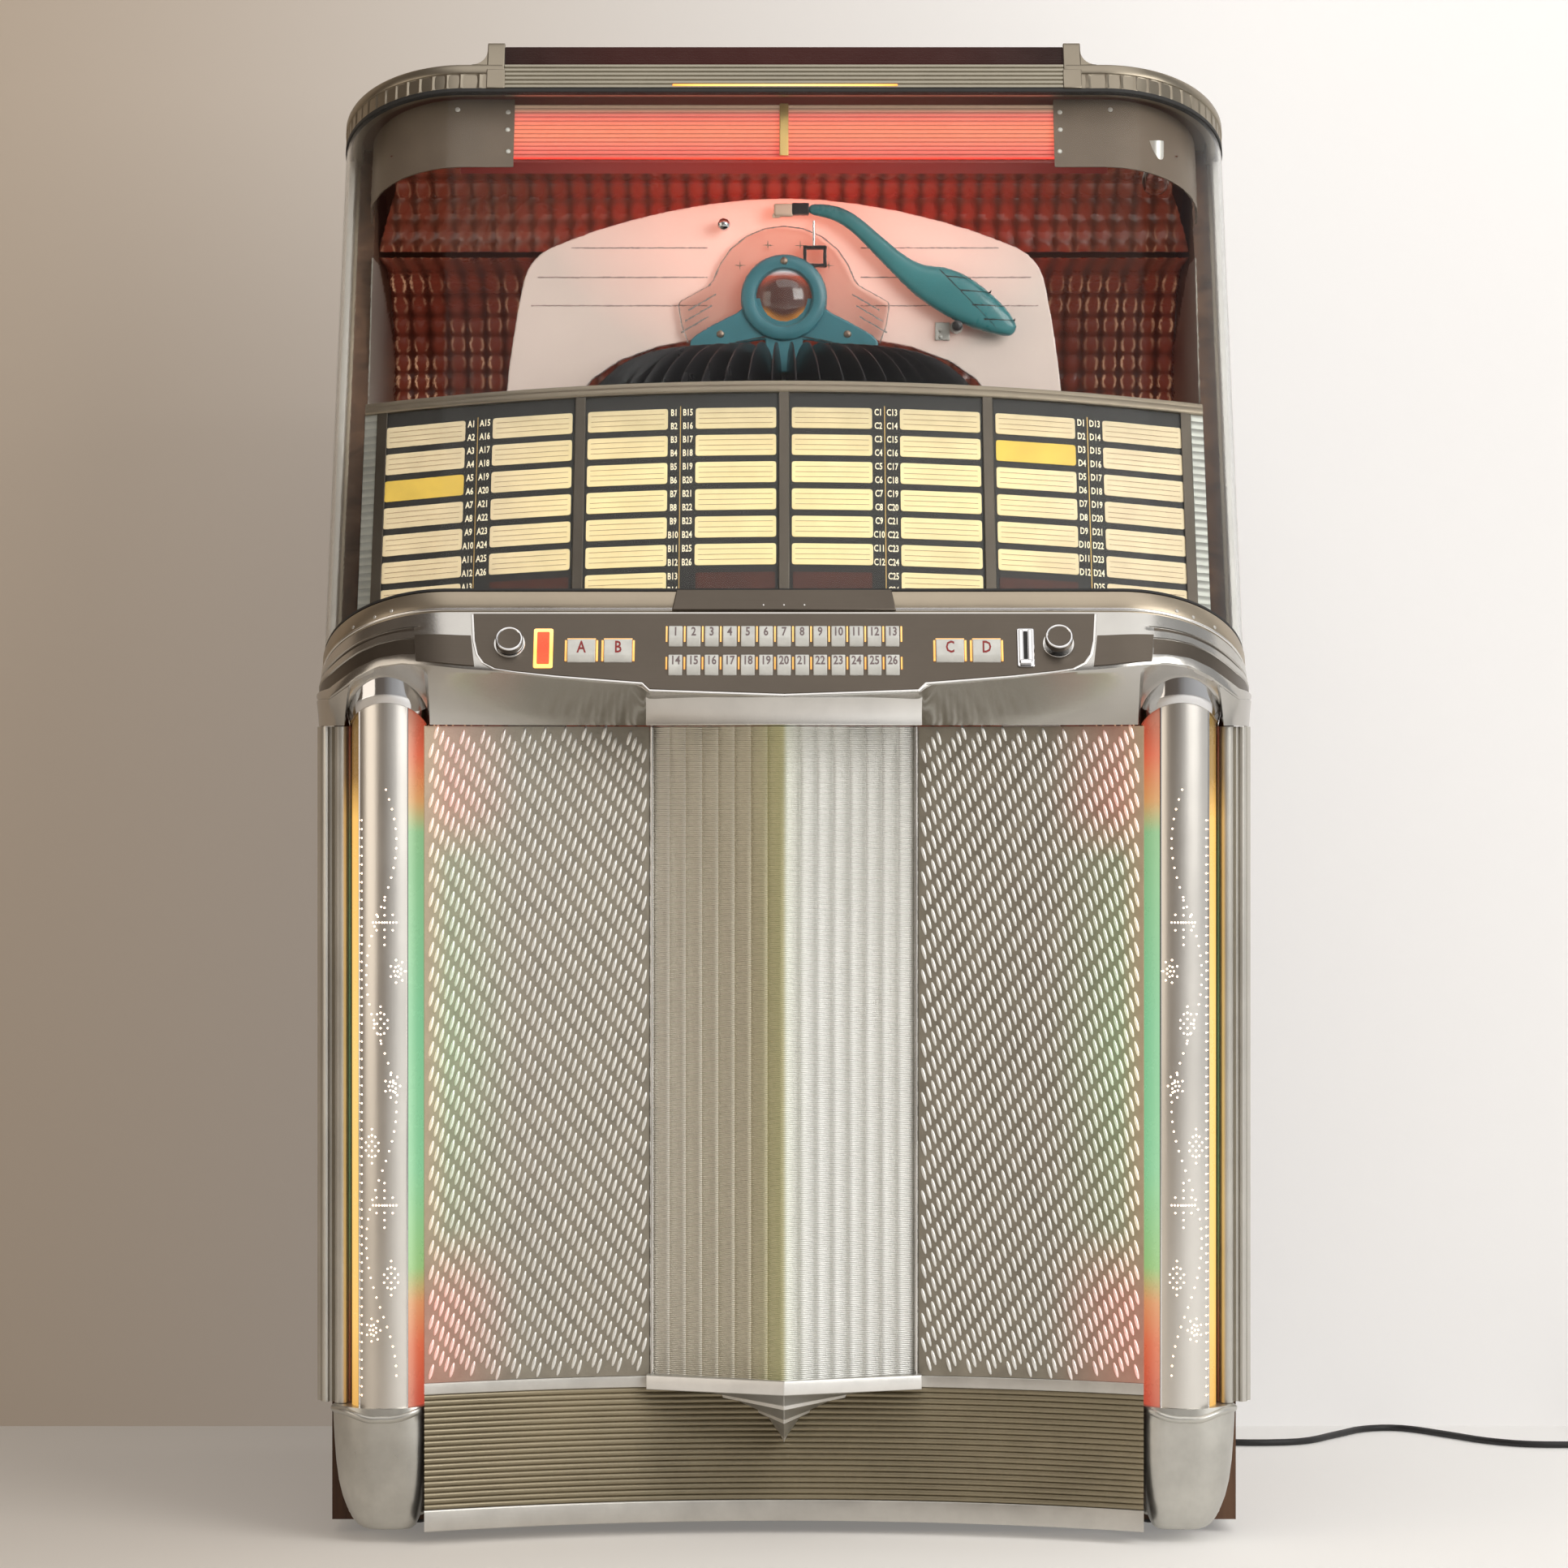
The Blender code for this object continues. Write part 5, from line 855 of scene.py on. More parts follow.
for levels in ORNAMENT_LEVELS:
    rings = []
    for height, half, nose, dip in levels:
        back = depth(bow_depth(half))
        corner = max(back - 0.0115 * half / 0.1225, nose + 0.001)
        rings.append([Vector(point) for point in ((-half, back - 0.0002, height), (-half, corner, height),
            (0, nose, height - dip), (half, corner, height), (half, back - 0.0002, height))])
    tiers.append(lofted("tier", rings, edge=0.0004, segments=1))
ornament = joined("pilaster_ornament", tiers)
# Painted light and shade: upright faces get a bright finish as a highlight, and faces that look down a dark one as
# shade.
painted(ornament, (finish_of("ornament_aluminium", (0.52, 0.51, 0.48), 0.32, 0.7, scale=18, amount=0.2,
    grain=(500, 500, 60), bump=0.04), finish_of("ornament_edge_highlight", (0.9, 0.89, 0.86), 0.34, 0.5, scale=18, amount=0.2),
    finish_of("ornament_underside_shade", (0.1, 0.095, 0.085), 0.5, 0.3, scale=18, amount=0.3)),
    lambda middle, normal: 1 if abs(normal.z) < 0.35 else 2 if normal.z < -0.93 else 0)
fitted(ornament, "cast_aluminium")

# The control band: a chromed casting that wraps the front and both corners. It overhangs the grille as
# a polished cove, arches over the column caps, and carries two dark grooves along each wing.
LID_HALF, LID_CORNER = 0.415, 0.12
LOOKS_OUT, LOOKS_UP = 0.8778, 0.479
LEAN = math.radians(24.5)
LID = Matrix.Translation((0, -0.295, 0.842)) @ Matrix.Rotation(-LEAN, 4, "X")
SEAT_TILT = math.tan(math.radians(7))
ARCH_SPRING = 0.7225
FRONT_SHARE, CORNER_SHARE = 0.5, 0.93
BAND_STEPS = 240
LIP_LINE = mm(((0, 747.4), (117, 751.2), (121.5, 753), (124.5, 757.5), (160, 760), (200, 764), (245, 769),
    (276, 771.2), (313, 775.2), (333, 776.2), (355, 773.5), (375, 765), (392, 754), (403, 747), (500, 700)))
COVE_ROWS = 10
WING_START = 0.3185
WING_GROOVES = ((0.2, 0.54), (0.68, 0.76))
WING_GROOVE_DEPTH = 0.0013
FACE_ROWS = (0, 0.012, 0.035, 0.07, 0.12, 0.195, 0.205, 0.37, 0.535, 0.545, 0.61, 0.675, 0.685, 0.72, 0.755, 0.765,
    0.85, 0.93, 0.97, 0.99, 1)
FLANGE_ROWS = (0.0015, 0.008, 0.078)


def seat_height(back):
    """Height of the lid's seat, in the leaning frame, this far back."""
    return -0.0225 - back * SEAT_TILT


def between(values, wanted):
    """Straight-line reading of a table of (place, value) pairs."""
    return float(np.interp(wanted, *zip(*values)))


def band_line(share, half, radius, front, back):
    """A place on a line that runs from one rear end round the front to the other: share -1 to 1."""
    side, share = math.copysign(1, share), abs(share)
    if share <= FRONT_SHARE:
        return side * (half - radius) * share / FRONT_SHARE, front
    turn = min((share - FRONT_SHARE) / (CORNER_SHARE - FRONT_SHARE), 1) * math.pi / 2
    along = front + radius - radius * math.cos(turn)
    rest = max(share - CORNER_SHARE, 0) / (1 - CORNER_SHARE)
    return side * (half - radius + radius * math.sin(turn)), along + (back - along) * rest


def band_out(share):
    """The direction in which the band's sloping face looks there."""
    turn = min(max(abs(share) - FRONT_SHARE, 0) / (CORNER_SHARE - FRONT_SHARE), 1) * math.pi / 2
    return Vector((math.copysign(math.sin(turn), share) * LOOKS_OUT, -math.cos(turn) * LOOKS_OUT, LOOKS_UP))


def band_face(share, rise, proud=0):
    """A place on the sloping face: rise 0 at the lip's line and 1 at the lid's seat."""
    across, back = band_line(share, LID_HALF, LID_CORNER, 0, 0.138)
    top = LID @ Vector((across, back, seat_height(back)))
    across, back = band_line(share, 0.419, 0.135, 0, 0.1635)
    low = Vector((across, depth(back), min(0.747, top.z - 0.006)))
    start = min(max((between(LIP_LINE, abs(across)) - low.z) / (top.z - low.z), 0), 0.7)
    return low.lerp(top, start + (1 - start) * rise) + band_out(share) * proud


def cove_foot(share):
    """A place on the cove's inner edge: over the grille, round a column cap, or under the wing."""
    across, back = band_line(share, 0.417, 0.1, 0.035, 0.1635)
    lip = band_face(share, 0).x
    mix = min(max((abs(lip) - 0.36) / 0.03, 0), 1)
    middle = abs(lip) * (1 - mix) + abs(across) * mix
    offset = (middle - COLUMN_X) / 0.0375
    if middle < 0.313:
        height, back = 0.7232, bow_depth(middle) - 0.004
    elif abs(offset) < 1:
        height = ARCH_SPRING + 0.0425 * math.sqrt(1 - offset ** 2)
        back = 0.0855 - 0.0375 * math.sqrt(1 - offset ** 2)
    else:
        height = 0.7226
    return Vector((math.copysign(middle, share), depth(back), height))


def wing(across):
    """How far this place belongs to a wing, beyond the dark plate's end."""
    return min(max((abs(across) - WING_START) / 0.003, 0), 1)


def band_place(across, along):
    share = 2 * across - 1
    row = round(along * band_rows)
    if row < COVE_ROWS:
        climb = row / COVE_ROWS
        foot, lip = cove_foot(share), band_face(share, 0)
        place = foot.lerp(lip, climb)
        place.z = foot.z + (lip.z - foot.z) * climb ** 0.8
        return place
    row -= COVE_ROWS
    if row < len(FACE_ROWS):
        rise = FACE_ROWS[row]
        sunk = WING_GROOVE_DEPTH * any(low < rise < high for low, high in WING_GROOVES)
        rolled = 0.0016 * math.sqrt(max(0, 1 - (1 - min(rise, 0.07) / 0.07) ** 2)) - 0.0016
        place = band_face(share, rise)
        return place + band_out(share) * (rolled + 0.0006 * (rise > 0.07) - sunk * wing(place.x))
    inward = FLANGE_ROWS[row - len(FACE_ROWS)]
    side, back = band_line(share, LID_HALF - inward, max(LID_CORNER - inward, 0.04), inward, 0.138)
    return LID @ Vector((side, back, seat_height(back) + 0.0001))


band_rows = COVE_ROWS + len(FACE_ROWS) + len(FLANGE_ROWS) - 1
band = bent_sheet("control_band_casting", BAND_STEPS, band_rows, band_place, thickness=0.0015)
smooth(band, 40)
band_chrome = finish_of("band_chrome", (0.52, 0.505, 0.475), 0.2, 1, scale=10, amount=0.22, grain=500, bump=0.03)
fitted(band, "chrome_trim", "control_band", look=band_chrome)
bronze = finish_of("dark_brushed_bronze", (0.125, 0.105, 0.085), 0.33, 0.9, scale=9, amount=0.35,
    grain=(12, 500, 500), bump=0.08)


def on_wing(name, end, shares, rises, proud, steps, thickness=0):
    """A strip on one wing's sloping face, between two shares of the line and two rises."""
    start, stop = sorted((end * shares[0], end * shares[1]))
    return bent_sheet(name, *steps, lambda across, along: band_face(start + (stop - start) * across,
        rises[0] + (rises[1] - rises[0]) * along, proud), thickness=thickness)


grooves = [on_wing("groove", end, (0.572, 0.985), (low + 0.012, high - 0.012), 0.0007 - WING_GROOVE_DEPTH, (50, 3))
    for end in (-1, 1) for low, high in WING_GROOVES]
fitted(joined("band_wing_grooves", grooves), "chrome_trim", look=bronze)
wing_plates = [on_wing("plate", end, (0.4695, 0.57), (0.06, 0.58), 0.002, (12, 4), 0.0022) for end in (-1, 1)]
fitted(joined("band_wing_plates", wing_plates), "chrome_trim", look=bronze)
NOSE_HALF, NOSE_BACK = 0.1212, -0.262
NOSE_LEVELS = mm(((722.6, 0), (723.2, 0.6), (730, 1.2), (739, 4), (744, 8.2), (746.8, 10.5), (747.4, 10)))
nose_rings = [[Vector((*point, height)) for point in ((NOSE_HALF, NOSE_BACK), (-NOSE_HALF, NOSE_BACK),
    (-NOSE_HALF, -0.306 - proud), (0, -0.3349 - proud), (NOSE_HALF, -0.306 - proud))] for height,
    proud in NOSE_LEVELS]
fitted(lofted("band_nose", nose_rings, edge=0.0005, segments=1), "chrome_trim", look=polished)

# The dark control plate: brushed, bronze-dyed aluminium on a polished rim, let into the band's face. It
# is bored for the stem of the coin return button.
PLATE_LOW, PLATE_HALF = 0.747, 0.2725
PLATE = Matrix(((1, 0, 0, 0), (0, LOOKS_UP, -LOOKS_OUT, -0.345), (0, LOOKS_OUT, LOOKS_UP, PLATE_LOW), (0, 0, 0, 1)))
PLATE_HALF_OUTLINE = mm(((0, 749), (60, 751), (117, 753), (123.5, 759.2), (160, 762), (200, 765.2), (236, 769),
    (252, 771.5), (262, 776.5), (267.5, 784), (270.5, 796), (272.5, 819.8)))


def plate_outline(grow):
    """The plate's outline in its own frame, grown outwards by this much."""
    return both_sides([(across + grow * (across / PLATE_HALF) ** 2, (height - PLATE_LOW) / LOOKS_OUT - grow
        * (1 - (across / PLATE_HALF) ** 6)) for across, height in PLATE_HALF_OUTLINE])


def plate_spot(across, height, out=0):
    """The plate's frame, moved to a place on its face."""
    return PLATE @ Matrix.Translation((across, (height - PLATE_LOW) / LOOKS_OUT, out))


def bored(piece, spot, radius):
    """The piece with a round hole through it at this spot."""
    bpy.ops.mesh.primitive_cylinder_add(vertices=40, radius=radius, depth=0.02)
    drill = bpy.context.object
    drill.data.transform(spot)
    cut = piece.modifiers.new("Bore", "BOOLEAN")
    cut.operation, cut.solver, cut.object = "DIFFERENCE", "EXACT", drill
    bpy.context.view_layer.objects.active = piece
    bpy.ops.object.modifier_apply(modifier=cut.name)
    bpy.data.objects.remove(drill)
    return piece


STEM_HOLE = plate_spot(0.24, 0.793), 0.0054
fitted(bored(slab("control_plate_rim", plate_outline(0.0022), -0.002, 0.001, PLATE, 0.0005), *STEM_HOLE),
    "chrome_trim", look=polished)
fitted(bored(slab("control_plate", plate_outline(0), -0.002, 0.0017, PLATE, 0.0003, 1), *STEM_HOLE), "chrome_trim",
    look=bronze)

# The select window is two steps of lit plastic, orange round red. The coin slot is a black mouth, painted
# shade for its opening, in a chromed escutcheon with two cheeks and a tongue. Both are let into the control
# plate.
WINDOW_SPOT, SLOT_SPOT = plate_spot(-0.2104, 0.7885), plate_spot(0.2112, 0.789)


def rounded(half_width, half_height, radius, steps=4, centre=(0, 0)):
    """A rectangle with round corners, anticlockwise."""
    outline = []
    for corner in range(4):
        side, top = (1, 1, -1, -1)[corner], (-1, 1, 1, -1)[corner]
        for step in range(steps + 1):
            turn = math.pi / 2 * (corner - 1 + step / steps)
            outline.append((centre[0] + side * (half_width - radius) + radius * math.cos(turn),
                centre[1] + top * (half_height - radius) + radius * math.sin(turn)))
    return outline


window_glow = lit(finish_of("select_window_edge", (0.9, 0.5, 0.15), 0.3, scale=90, amount=0.3), 2, (0.77, 0.81),
    ((0, (1, 0.62, 0.16)), (0.4, (1, 0.45, 0.07)), (1, (1, 0.66, 0.25))), 1.3)
window_red = lit(finish_of("select_window_red", (0.75, 0.08, 0.03), 0.25, scale=90, amount=0.3), 2, (0.77, 0.81),
    ((0, (1, 0.12, 0.02)), (0.5, (1, 0.05, 0.012)), (1, (1, 0.12, 0.03))), 0.75)
for name, size, high, edge, look in (("select_window_edge", (0.0085, 0.0198, 0.0018), 0.0028, 0.0005, window_glow),
        ("select_window", (0.0054, 0.0162, 0.001), 0.0033, 0.0004, window_red)):
    fitted(slab(name, rounded(*size), -0.001, high, WINDOW_SPOT, edge), "key_plastic", look=look)
escutcheon = [slab("part", rounded(*size, centre=centre), low, high, SLOT_SPOT, edge) for size, centre, low, high,
    edge in (((0.0078, 0.0196, 0.0022), (0, 0), -0.001, 0.003, 0.0008), ((0.0018, 0.0165, 0.0008), (-0.004, 0.0012),
    0.002, 0.0044, 0.0005), ((0.0018, 0.0165, 0.0008), (0.004, 0.0012), 0.002, 0.0044, 0.0005),
    ((0.0052, 0.0022, 0.001), (0, -0.0158), 0.002, 0.0058, 0.0006))]
fitted(joined("coin_slot_escutcheon", escutcheon), "chrome_trim", look=chrome)
shade_black = finish_of("slot_shadow", (0.012, 0.011, 0.01), 0.6, scale=60, amount=0.3)
# The slot's mouth is a black slab: painted shade inside the opening.
fitted(slab("coin_slot_mouth", rounded(0.0019, 0.014, 0.0006, centre=(0, 0.0022)), 0, 0.0034, SLOT_SPOT, 0.0002),
    "chrome_trim", look=shade_black)

# Selection keys: 26 number keys and 4 letter keys of white moulded plastic, each on its own plunger.
# A face that is lit at the sides carries its numeral, and the lower slope is left plain.
key_white = finish_of("key_white", (0.7, 0.7, 0.66), 0.32, scale=70, grain=900, bump=0.03)
numeral_grey = finish_of("numeral_grey", (0.2, 0.15, 0.15), 0.5, scale=300, amount=0.4)
letter_red = finish_of("letter_red", (0.3, 0.022, 0.022), 0.45, scale=300, amount=0.4)
amber_stops = ((0, (0.9, 0.34, 0.05)), (0.5, (1, 0.52, 0.14)), (1, (1, 0.66, 0.24)))
key_amber = lit(finish_of("key_edge_amber", (0.8, 0.42, 0.12), 0.35, scale=120, amount=0.4), 2, (0.765, 0.81),
    amber_stops, 0.9)
ON_EDGE = Matrix(((0, 0, 1, 0), (1, 0, 0, 0), (0, 1, 0, 0), (0, 0, 0, 1)))
NUMBER_PROFILE = mm(((-10, -6), (10, -6), (10, 3.6), (8.8, 4.9), (-2.2, 6.4), (-4, 6.2), (-9.2, 3), (-10, 1.8)))
LETTER_PROFILE = mm(((-11.2, -6), (11.2, -6), (11.2, 4.2), (10, 5.2), (-5, 6), (-6.6, 5.6), (-10.4, 3), (-11.2, 2)))


def words(text, size, place, stretch=1, bold=0):
    """One short label as a flat mesh, in the place's frame."""
    pick()
    bpy.ops.object.text_add()
    label = bpy.context.object
    label.data.body = text
    label.data.size = size
    label.data.align_x, label.data.align_y = "CENTER", "CENTER"
    label.data.resolution_u = 2
    label.data.offset = bold
    bpy.ops.object.convert(target="MESH")
    label = bpy.context.object
    label.data.transform(place @ Matrix.Diagonal((stretch, 1, 1, 1)))
    return label


KEY_PITCH = 0.0158


def pressed_key(name, half_width, profile, spot, text, size, ink, text_up):
    """A key cap on its plunger, marked on its upper face."""
    cap = slab(name + "_cap", profile, -half_width, half_width, spot @ ON_EDGE, 0.0007)
    cap.data.materials.clear()
    cap.data.materials.append(key_white)
    tilt = math.atan2(profile[4][1] - profile[3][1], profile[3][0] - profile[4][0])
    label_out = profile[3][1] + (profile[3][0] - text_up) * math.tan(tilt) + 0.00012
    label = words(text, size, spot @ Matrix.Translation((0, text_up, label_out)) @ Matrix.Rotation(-tilt, 4, "X"),
        0.66, 0.0003)
    label.data.materials.clear()
    label.data.materials.append(ink)
    fitted(joined(name + "_cap", [cap, label]), "key_plastic", name, body=name)


for index in range(26):
    row, column = divmod(index, 13)
    pressed_key(f"number_key_{index + 1:02d}", 0.006, NUMBER_PROFILE, plate_spot((column - 6) * KEY_PITCH,
        (0.799, 0.7735)[row]), str(index + 1), 0.0132, numeral_grey, 0.0027)
lit_edges = []
for letter, across in zip("abcd", (-0.177, -0.145, 0.145, 0.177)):
    spot = plate_spot(across, 0.786)
    pressed_key("letter_key_" + letter, 0.0122, LETTER_PROFILE, spot, letter.upper(), 0.0172, letter_red, 0.0018)
    for side in (-1, 1):
        lit_edges.append(slab("edge", rounded(0.0009, 0.0104, 0.0004, centre=(side * 0.0136, 0.0004)), 0, 0.003, spot,
            0.0003, 1))
    lit_edges.append(slab("edge", rounded(0.0125, 0.0006, 0.0003, centre=(0, 0.0122)), 0, 0.0026, spot, 0.0002, 1))
for column in range(14):
    for height, half in ((0.8013, 0.0078), (0.7755, 0.0062)):
        lit_edges.append(slab("edge", rounded(0.0007, half, 0.0003), 0, 0.0024,
            plate_spot((column - 6.5) * KEY_PITCH, height), 0.0002, 1))
fitted(joined("key_edge_lights", lit_edges), "key_plastic", look=key_amber)

# The lock knob and the coin return button: chromed turned brass with a dark, slightly dished face. Each
# has a thin stem and sits in a polished collar on the control plate.
knob_profile = mm([(0, -7.5), (4.6, -7.5), (4.6, 1.2), (11.8, 1.4), (12.2, 2), (12, 6.8), (11.9, 8.2), (11.3, 9),
    (10.4, 9.1), (9.9, 8.6), (5, 8.4), (0, 8.4)])
for name, across, stand_off in (("lid_lock_knob", -0.24, 0.0006), ("coin_return_button", 0.24, 0.005)):
    spot = plate_spot(across, 0.793, 0.0012 + stand_off)
    knob = turned(name + "_head", knob_profile, spot, 40)
    onto_spot = spot.inverted()
    painted(knob, (chrome, bronze), lambda place, normal: int((onto_spot @ place).z > 0.0082
        and (onto_spot @ place).xy.length < 0.0101))
    fitted(knob, "chrome_trim", name, body=name)
    collar = turned(name + "_collar", mm([(5.6, 1), (5.6, 2), (13.5, 2), (14.2, 1.2)]), plate_spot(across, 0.793), 40)
    fitted(collar, "chrome_trim", look=polished)

# The title panel: a black rack behind the glass that holds cream cards, 26 by 76 mm, lit from behind.
# Each card serves two numbers. Headers, footers and the cards' own lines are left bare.
TITLE_RADIUS = 1.6629
SECTION_PITCH = 0.1832
CARD_PITCH, CARD_TOP_CENTRE, CARD_HALF_HEIGHT = 0.02745, 0.1782, 0.0104
CARDS_PER_COLUMN = 8
COLUMN_OF_CARDS = ((0.007, 0.079), (0.104, 0.1762))
NUMBER_AT = (0.0846, 0.097)


def on_titles(across, up, proud=0):
    """A place on the curved face of the title panel."""
    back = 0.0115 + TITLE_RADIUS - math.sqrt(TITLE_RADIUS ** 2 - across ** 2)
    return LID @ Vector((across, back - proud, up))


def title_spot(across, up, proud=0):
    """A frame on the title panel, square to its curved face."""
    turn = Matrix.Rotation(math.asin(across / TITLE_RADIUS), 4, "Z")
    return Matrix.Translation(on_titles(across, up, proud)) @ LID.to_3x3().to_4x4() @ turn @ FACE


def title_slab(name, outline, low, high, edge=0, segments=1):
    """A flat part on the title panel, following its curve."""
    return lofted(name, [[on_titles(across, up, proud) for across, up in outline] for proud in (low, high)], edge,
        segments)


rack_black = finish_of("title_rack_black", (0.022, 0.02, 0.018), 0.45, scale=40, amount=0.4)
card_cream = finish_of("title_card", (0.62, 0.52, 0.34), 0.6, scale=30, grain=900, bump=0.03)


def card_light(look, strength):
    """Lamps behind the middle of the panel: bright yellow there, and cooler to both ends and the top."""
    tree = look.node_tree
    across, _, height = split_place(tree)
    lamps = colours_along(tree, share_of(tree, across, -0.36, 0.36), ((0, (0.42, 0.3, 0.16)),
        (0.13, (0.5, 0.36, 0.2)), (0.2, (0.8, 0.6, 0.24)), (0.28, (0.95, 0.7, 0.22)), (0.37, (1, 0.8, 0.26)),
        (0.5, (1, 0.74, 0.2)), (0.63, (1, 0.8, 0.27)), (0.76, (1, 0.74, 0.24)), (0.85, (0.72, 0.52, 0.26)),
        (0.9, (0.5, 0.38, 0.24)), (1, (0.42, 0.32, 0.2))))
    patches = add_node(tree, "TexNoise", [("Vector", place_in(tree))], Scale=9, Detail=2).outputs[0]
    level = math_of(tree, "MULTIPLY", share_of(tree, height, 1.01, 0.955, To_Min=0.3),
        share_of(tree, patches, 0.35, 0.65, To_Min=0.75, To_Max=1))
    glow = add_node(tree, "MixRGB", [("Fac", level), ("Color2", lamps)], Color1=(0, 0, 0, 1))
    return shining(look, glow.outputs[0], strength)


card_light(card_cream, 0.52)
card_line = finish_of("card_line", (0.34, 0.2, 0.13), 0.6, scale=200, amount=0.5)
card_yellow = card_light(finish_of("yellow_card", (0.72, 0.48, 0.06), 0.5, scale=30, amount=0.3), 0.25)
gold = finish_of("gold_line", (0.62, 0.42, 0.16), 0.35, 0.8, scale=60, amount=0.3)
cream_ink = lit(finish_of("cream_ink", (0.85, 0.78, 0.6), 0.55, scale=300, amount=0.2), 0, (-0.38, 0.38),
    ((0, (0.8, 0.66, 0.42)), (1, (0.8, 0.66, 0.42))), 0.35)
maroon = finish_of("maroon_label", (0.07, 0.022, 0.014), 0.45, scale=60, amount=0.4)

RACK_LOW, RACK_HIGH = seat_height(0.03) + 0.002, 0.2155
rack = bent_sheet("title_rack", 40, 2, lambda across, along: on_titles(0.38 * (2 * across - 1),
    RACK_LOW + (RACK_HIGH - RACK_LOW) * along, 0.0001), thickness=0.0058)
fitted(rack, "title_card", "title_panel", look=rack_black)
cards, card_lines, numerals, labels, yellow_cards = [], [], [], [], []
for section, letter in enumerate("ABCD"):
    left = (section - 2) * SECTION_PITCH
    for column, (start, end) in enumerate(COLUMN_OF_CARDS):
        for row in range(CARDS_PER_COLUMN):
            middle = CARD_TOP_CENTRE - CARD_PITCH * row
            low = max(middle - CARD_HALF_HEIGHT, -0.0255)
            footed = (letter in "AB") == (column == 1)
            if footed and row == CARDS_PER_COLUMN - 1:
                continue
            half_width, half_height = (end - start) / 2, (middle + CARD_HALF_HEIGHT - low) / 2
            centre = left + (start + end) / 2, low + half_height
            if footed and row == CARDS_PER_COLUMN - 2:
                labels.append(title_slab("label", rounded(half_width - 0.001, half_height - 0.001, 0.001, 1, centre),
                    0, 0.0011))
                continue
            card = title_slab("card", rounded(half_width, half_height, 0.0022, 2, centre), 0, 0.0009)
            if (letter, column, row) in (("D", 0, 1), ("A", 0, 2)):
                yellow_cards.append(card)
                continue
            cards.append(card)
            for line_up in (0.0052, -0.0002, -0.0052):
                if middle + line_up < low + 0.001:
                    continue
                card_lines.append(bent_sheet("line", 3, 1, lambda across, along: on_titles(left + start + 0.003
                    + (end - start - 0.006) * across, middle + line_up + 0.00022 * (2 * along - 1), 0.00102)))
        first_column = 14 if letter in "AB" else 12
        for row in range(26 - first_column if column else first_column):
            number = row + 1 + first_column * column
            up = CARD_TOP_CENTRE - CARD_PITCH * (row / 2 - 0.25)
            if up < -0.02:
                continue
            numerals.append(words(letter + str(number), 0.0094, title_spot(left + NUMBER_AT[column], up - 0.0008,
                0.0009), 0.62, 0.0002))
for name, pieces, look in (("title_cards", cards, card_cream), ("title_card_lines", card_lines, card_line),
        ("yellow_title_card", yellow_cards, card_yellow), ("title_numbers", numerals, cream_ink),
        ("title_labels", labels, maroon)):
    fitted(joined(name, pieces), "title_card", look=look)


def upright(name, middle, half, low, high, proud, *edge):
    """An upright bar on the title panel."""
    return title_slab(name, [(middle - half, low), (middle + half, low), (middle + half, high),
        (middle - half, high)], 0, proud, *edge)


rules = [upright("rule", (section - 2) * SECTION_PITCH + 0.0903, 0.0004, -0.024, 0.191, 0.0008)
    for section in range(4)]
fitted(joined("title_rules", rules), "title_card", look=gold)
mullions = [upright("mullion", middle, 0.0048, -0.026, 0.2062, 0.0026, 0.0008, 2)
    for middle in (-0.3638, -SECTION_PITCH, 0, SECTION_PITCH, 0.3638)]
fitted(joined("title_mullions", mullions), "column_metal", look=bronze)
rail_section = mm(((0, 203.5), (3, 203.5), (4, 204.5), (4.3, 206), (4, 208.5), (2.8, 211), (3, 212.5), (2.4, 215),
    (0, 216), (-5.8, 216)))


def top_rail_place(across, along):
    proud, up = rail_section[round(along * (len(rail_section) - 1))]
    return on_titles(0.3795 * (2 * across - 1), up, proud)


fitted(bent_sheet("title_top_rail", 48, len(rail_section) - 1, top_rail_place), "column_metal",
    look=finish_of("title_rail_tan", (0.3, 0.25, 0.19), 0.32, 0.9, scale=9, amount=0.35))
ribbed_ends = []
for side in (-1, 1):
    def ribbed_place(across, along, side=side):
        low, high = sorted((side * 0.3685, side * 0.3795))
        return on_titles(low + (high - low) * across, -0.026 + 0.231 * along,
            0.0008 + 0.0009 * abs(math.sin(math.pi * 30 * along)))
    ribbed_ends.append(bent_sheet("ribbed", 2, 240, ribbed_place))
fitted(joined("title_ribbed_ends", ribbed_ends), "column_metal", look=finish_of("ribbed_end_grey", (0.34, 0.34, 0.31),
    0.38, 0.7, scale=40, amount=0.3))


def glow_near(look, centre, reach, colour, strength):
    """Light that falls on a surface near one place and fades out at its reach."""
    tree = look.node_tree
    moved = add_node(tree, "Mapping", [("Vector", place_in(tree))], vector_type="TEXTURE", Location=centre,
        Scale=reach)
    ball = add_node(tree, "TexGradient", [("Vector", moved.outputs[0])], gradient_type="SPHERICAL")
    glow = add_node(tree, "MixRGB", [("Fac", ball.outputs[1])], Color1=(0, 0, 0, 1), Color2=(*colour, 1))
    return shining(look, glow.outputs[0], strength)


# The crystal back: a moulded sheet of dark red plastic in square pillows, bent forward at its top under
# the dome, and lit red from above.
PILLOW = 0.0182
PILLOW_RISE = 0.0034
CRYSTAL_HALF = 0.3866
PILLOW_COLUMNS, PILLOW_FACES = 42, 5
CRYSTAL_FOOT, CRYSTAL_BEND = 0.7006, 0.112
crystal_route = [(0.244, CRYSTAL_FOOT)]
crystal_route += [(0.132 + CRYSTAL_BEND * math.cos(turn), 1.06 + CRYSTAL_BEND * math.sin(turn))
    for turn in np.linspace(0, math.pi / 2, 13)]
crystal_route += [(0.0552, 1.172)]


def run_lengths(route):
    """The run from the route's start to each of its points."""
    return [0, *np.cumsum([math.dist(start, end) for start, end in zip(route, route[1:])])]


def along_route(route, lengths, run):
    """The place after this run along the route."""
    return (float(np.interp(run, lengths, [point[axis] for point in route])) for axis in (0, 1))


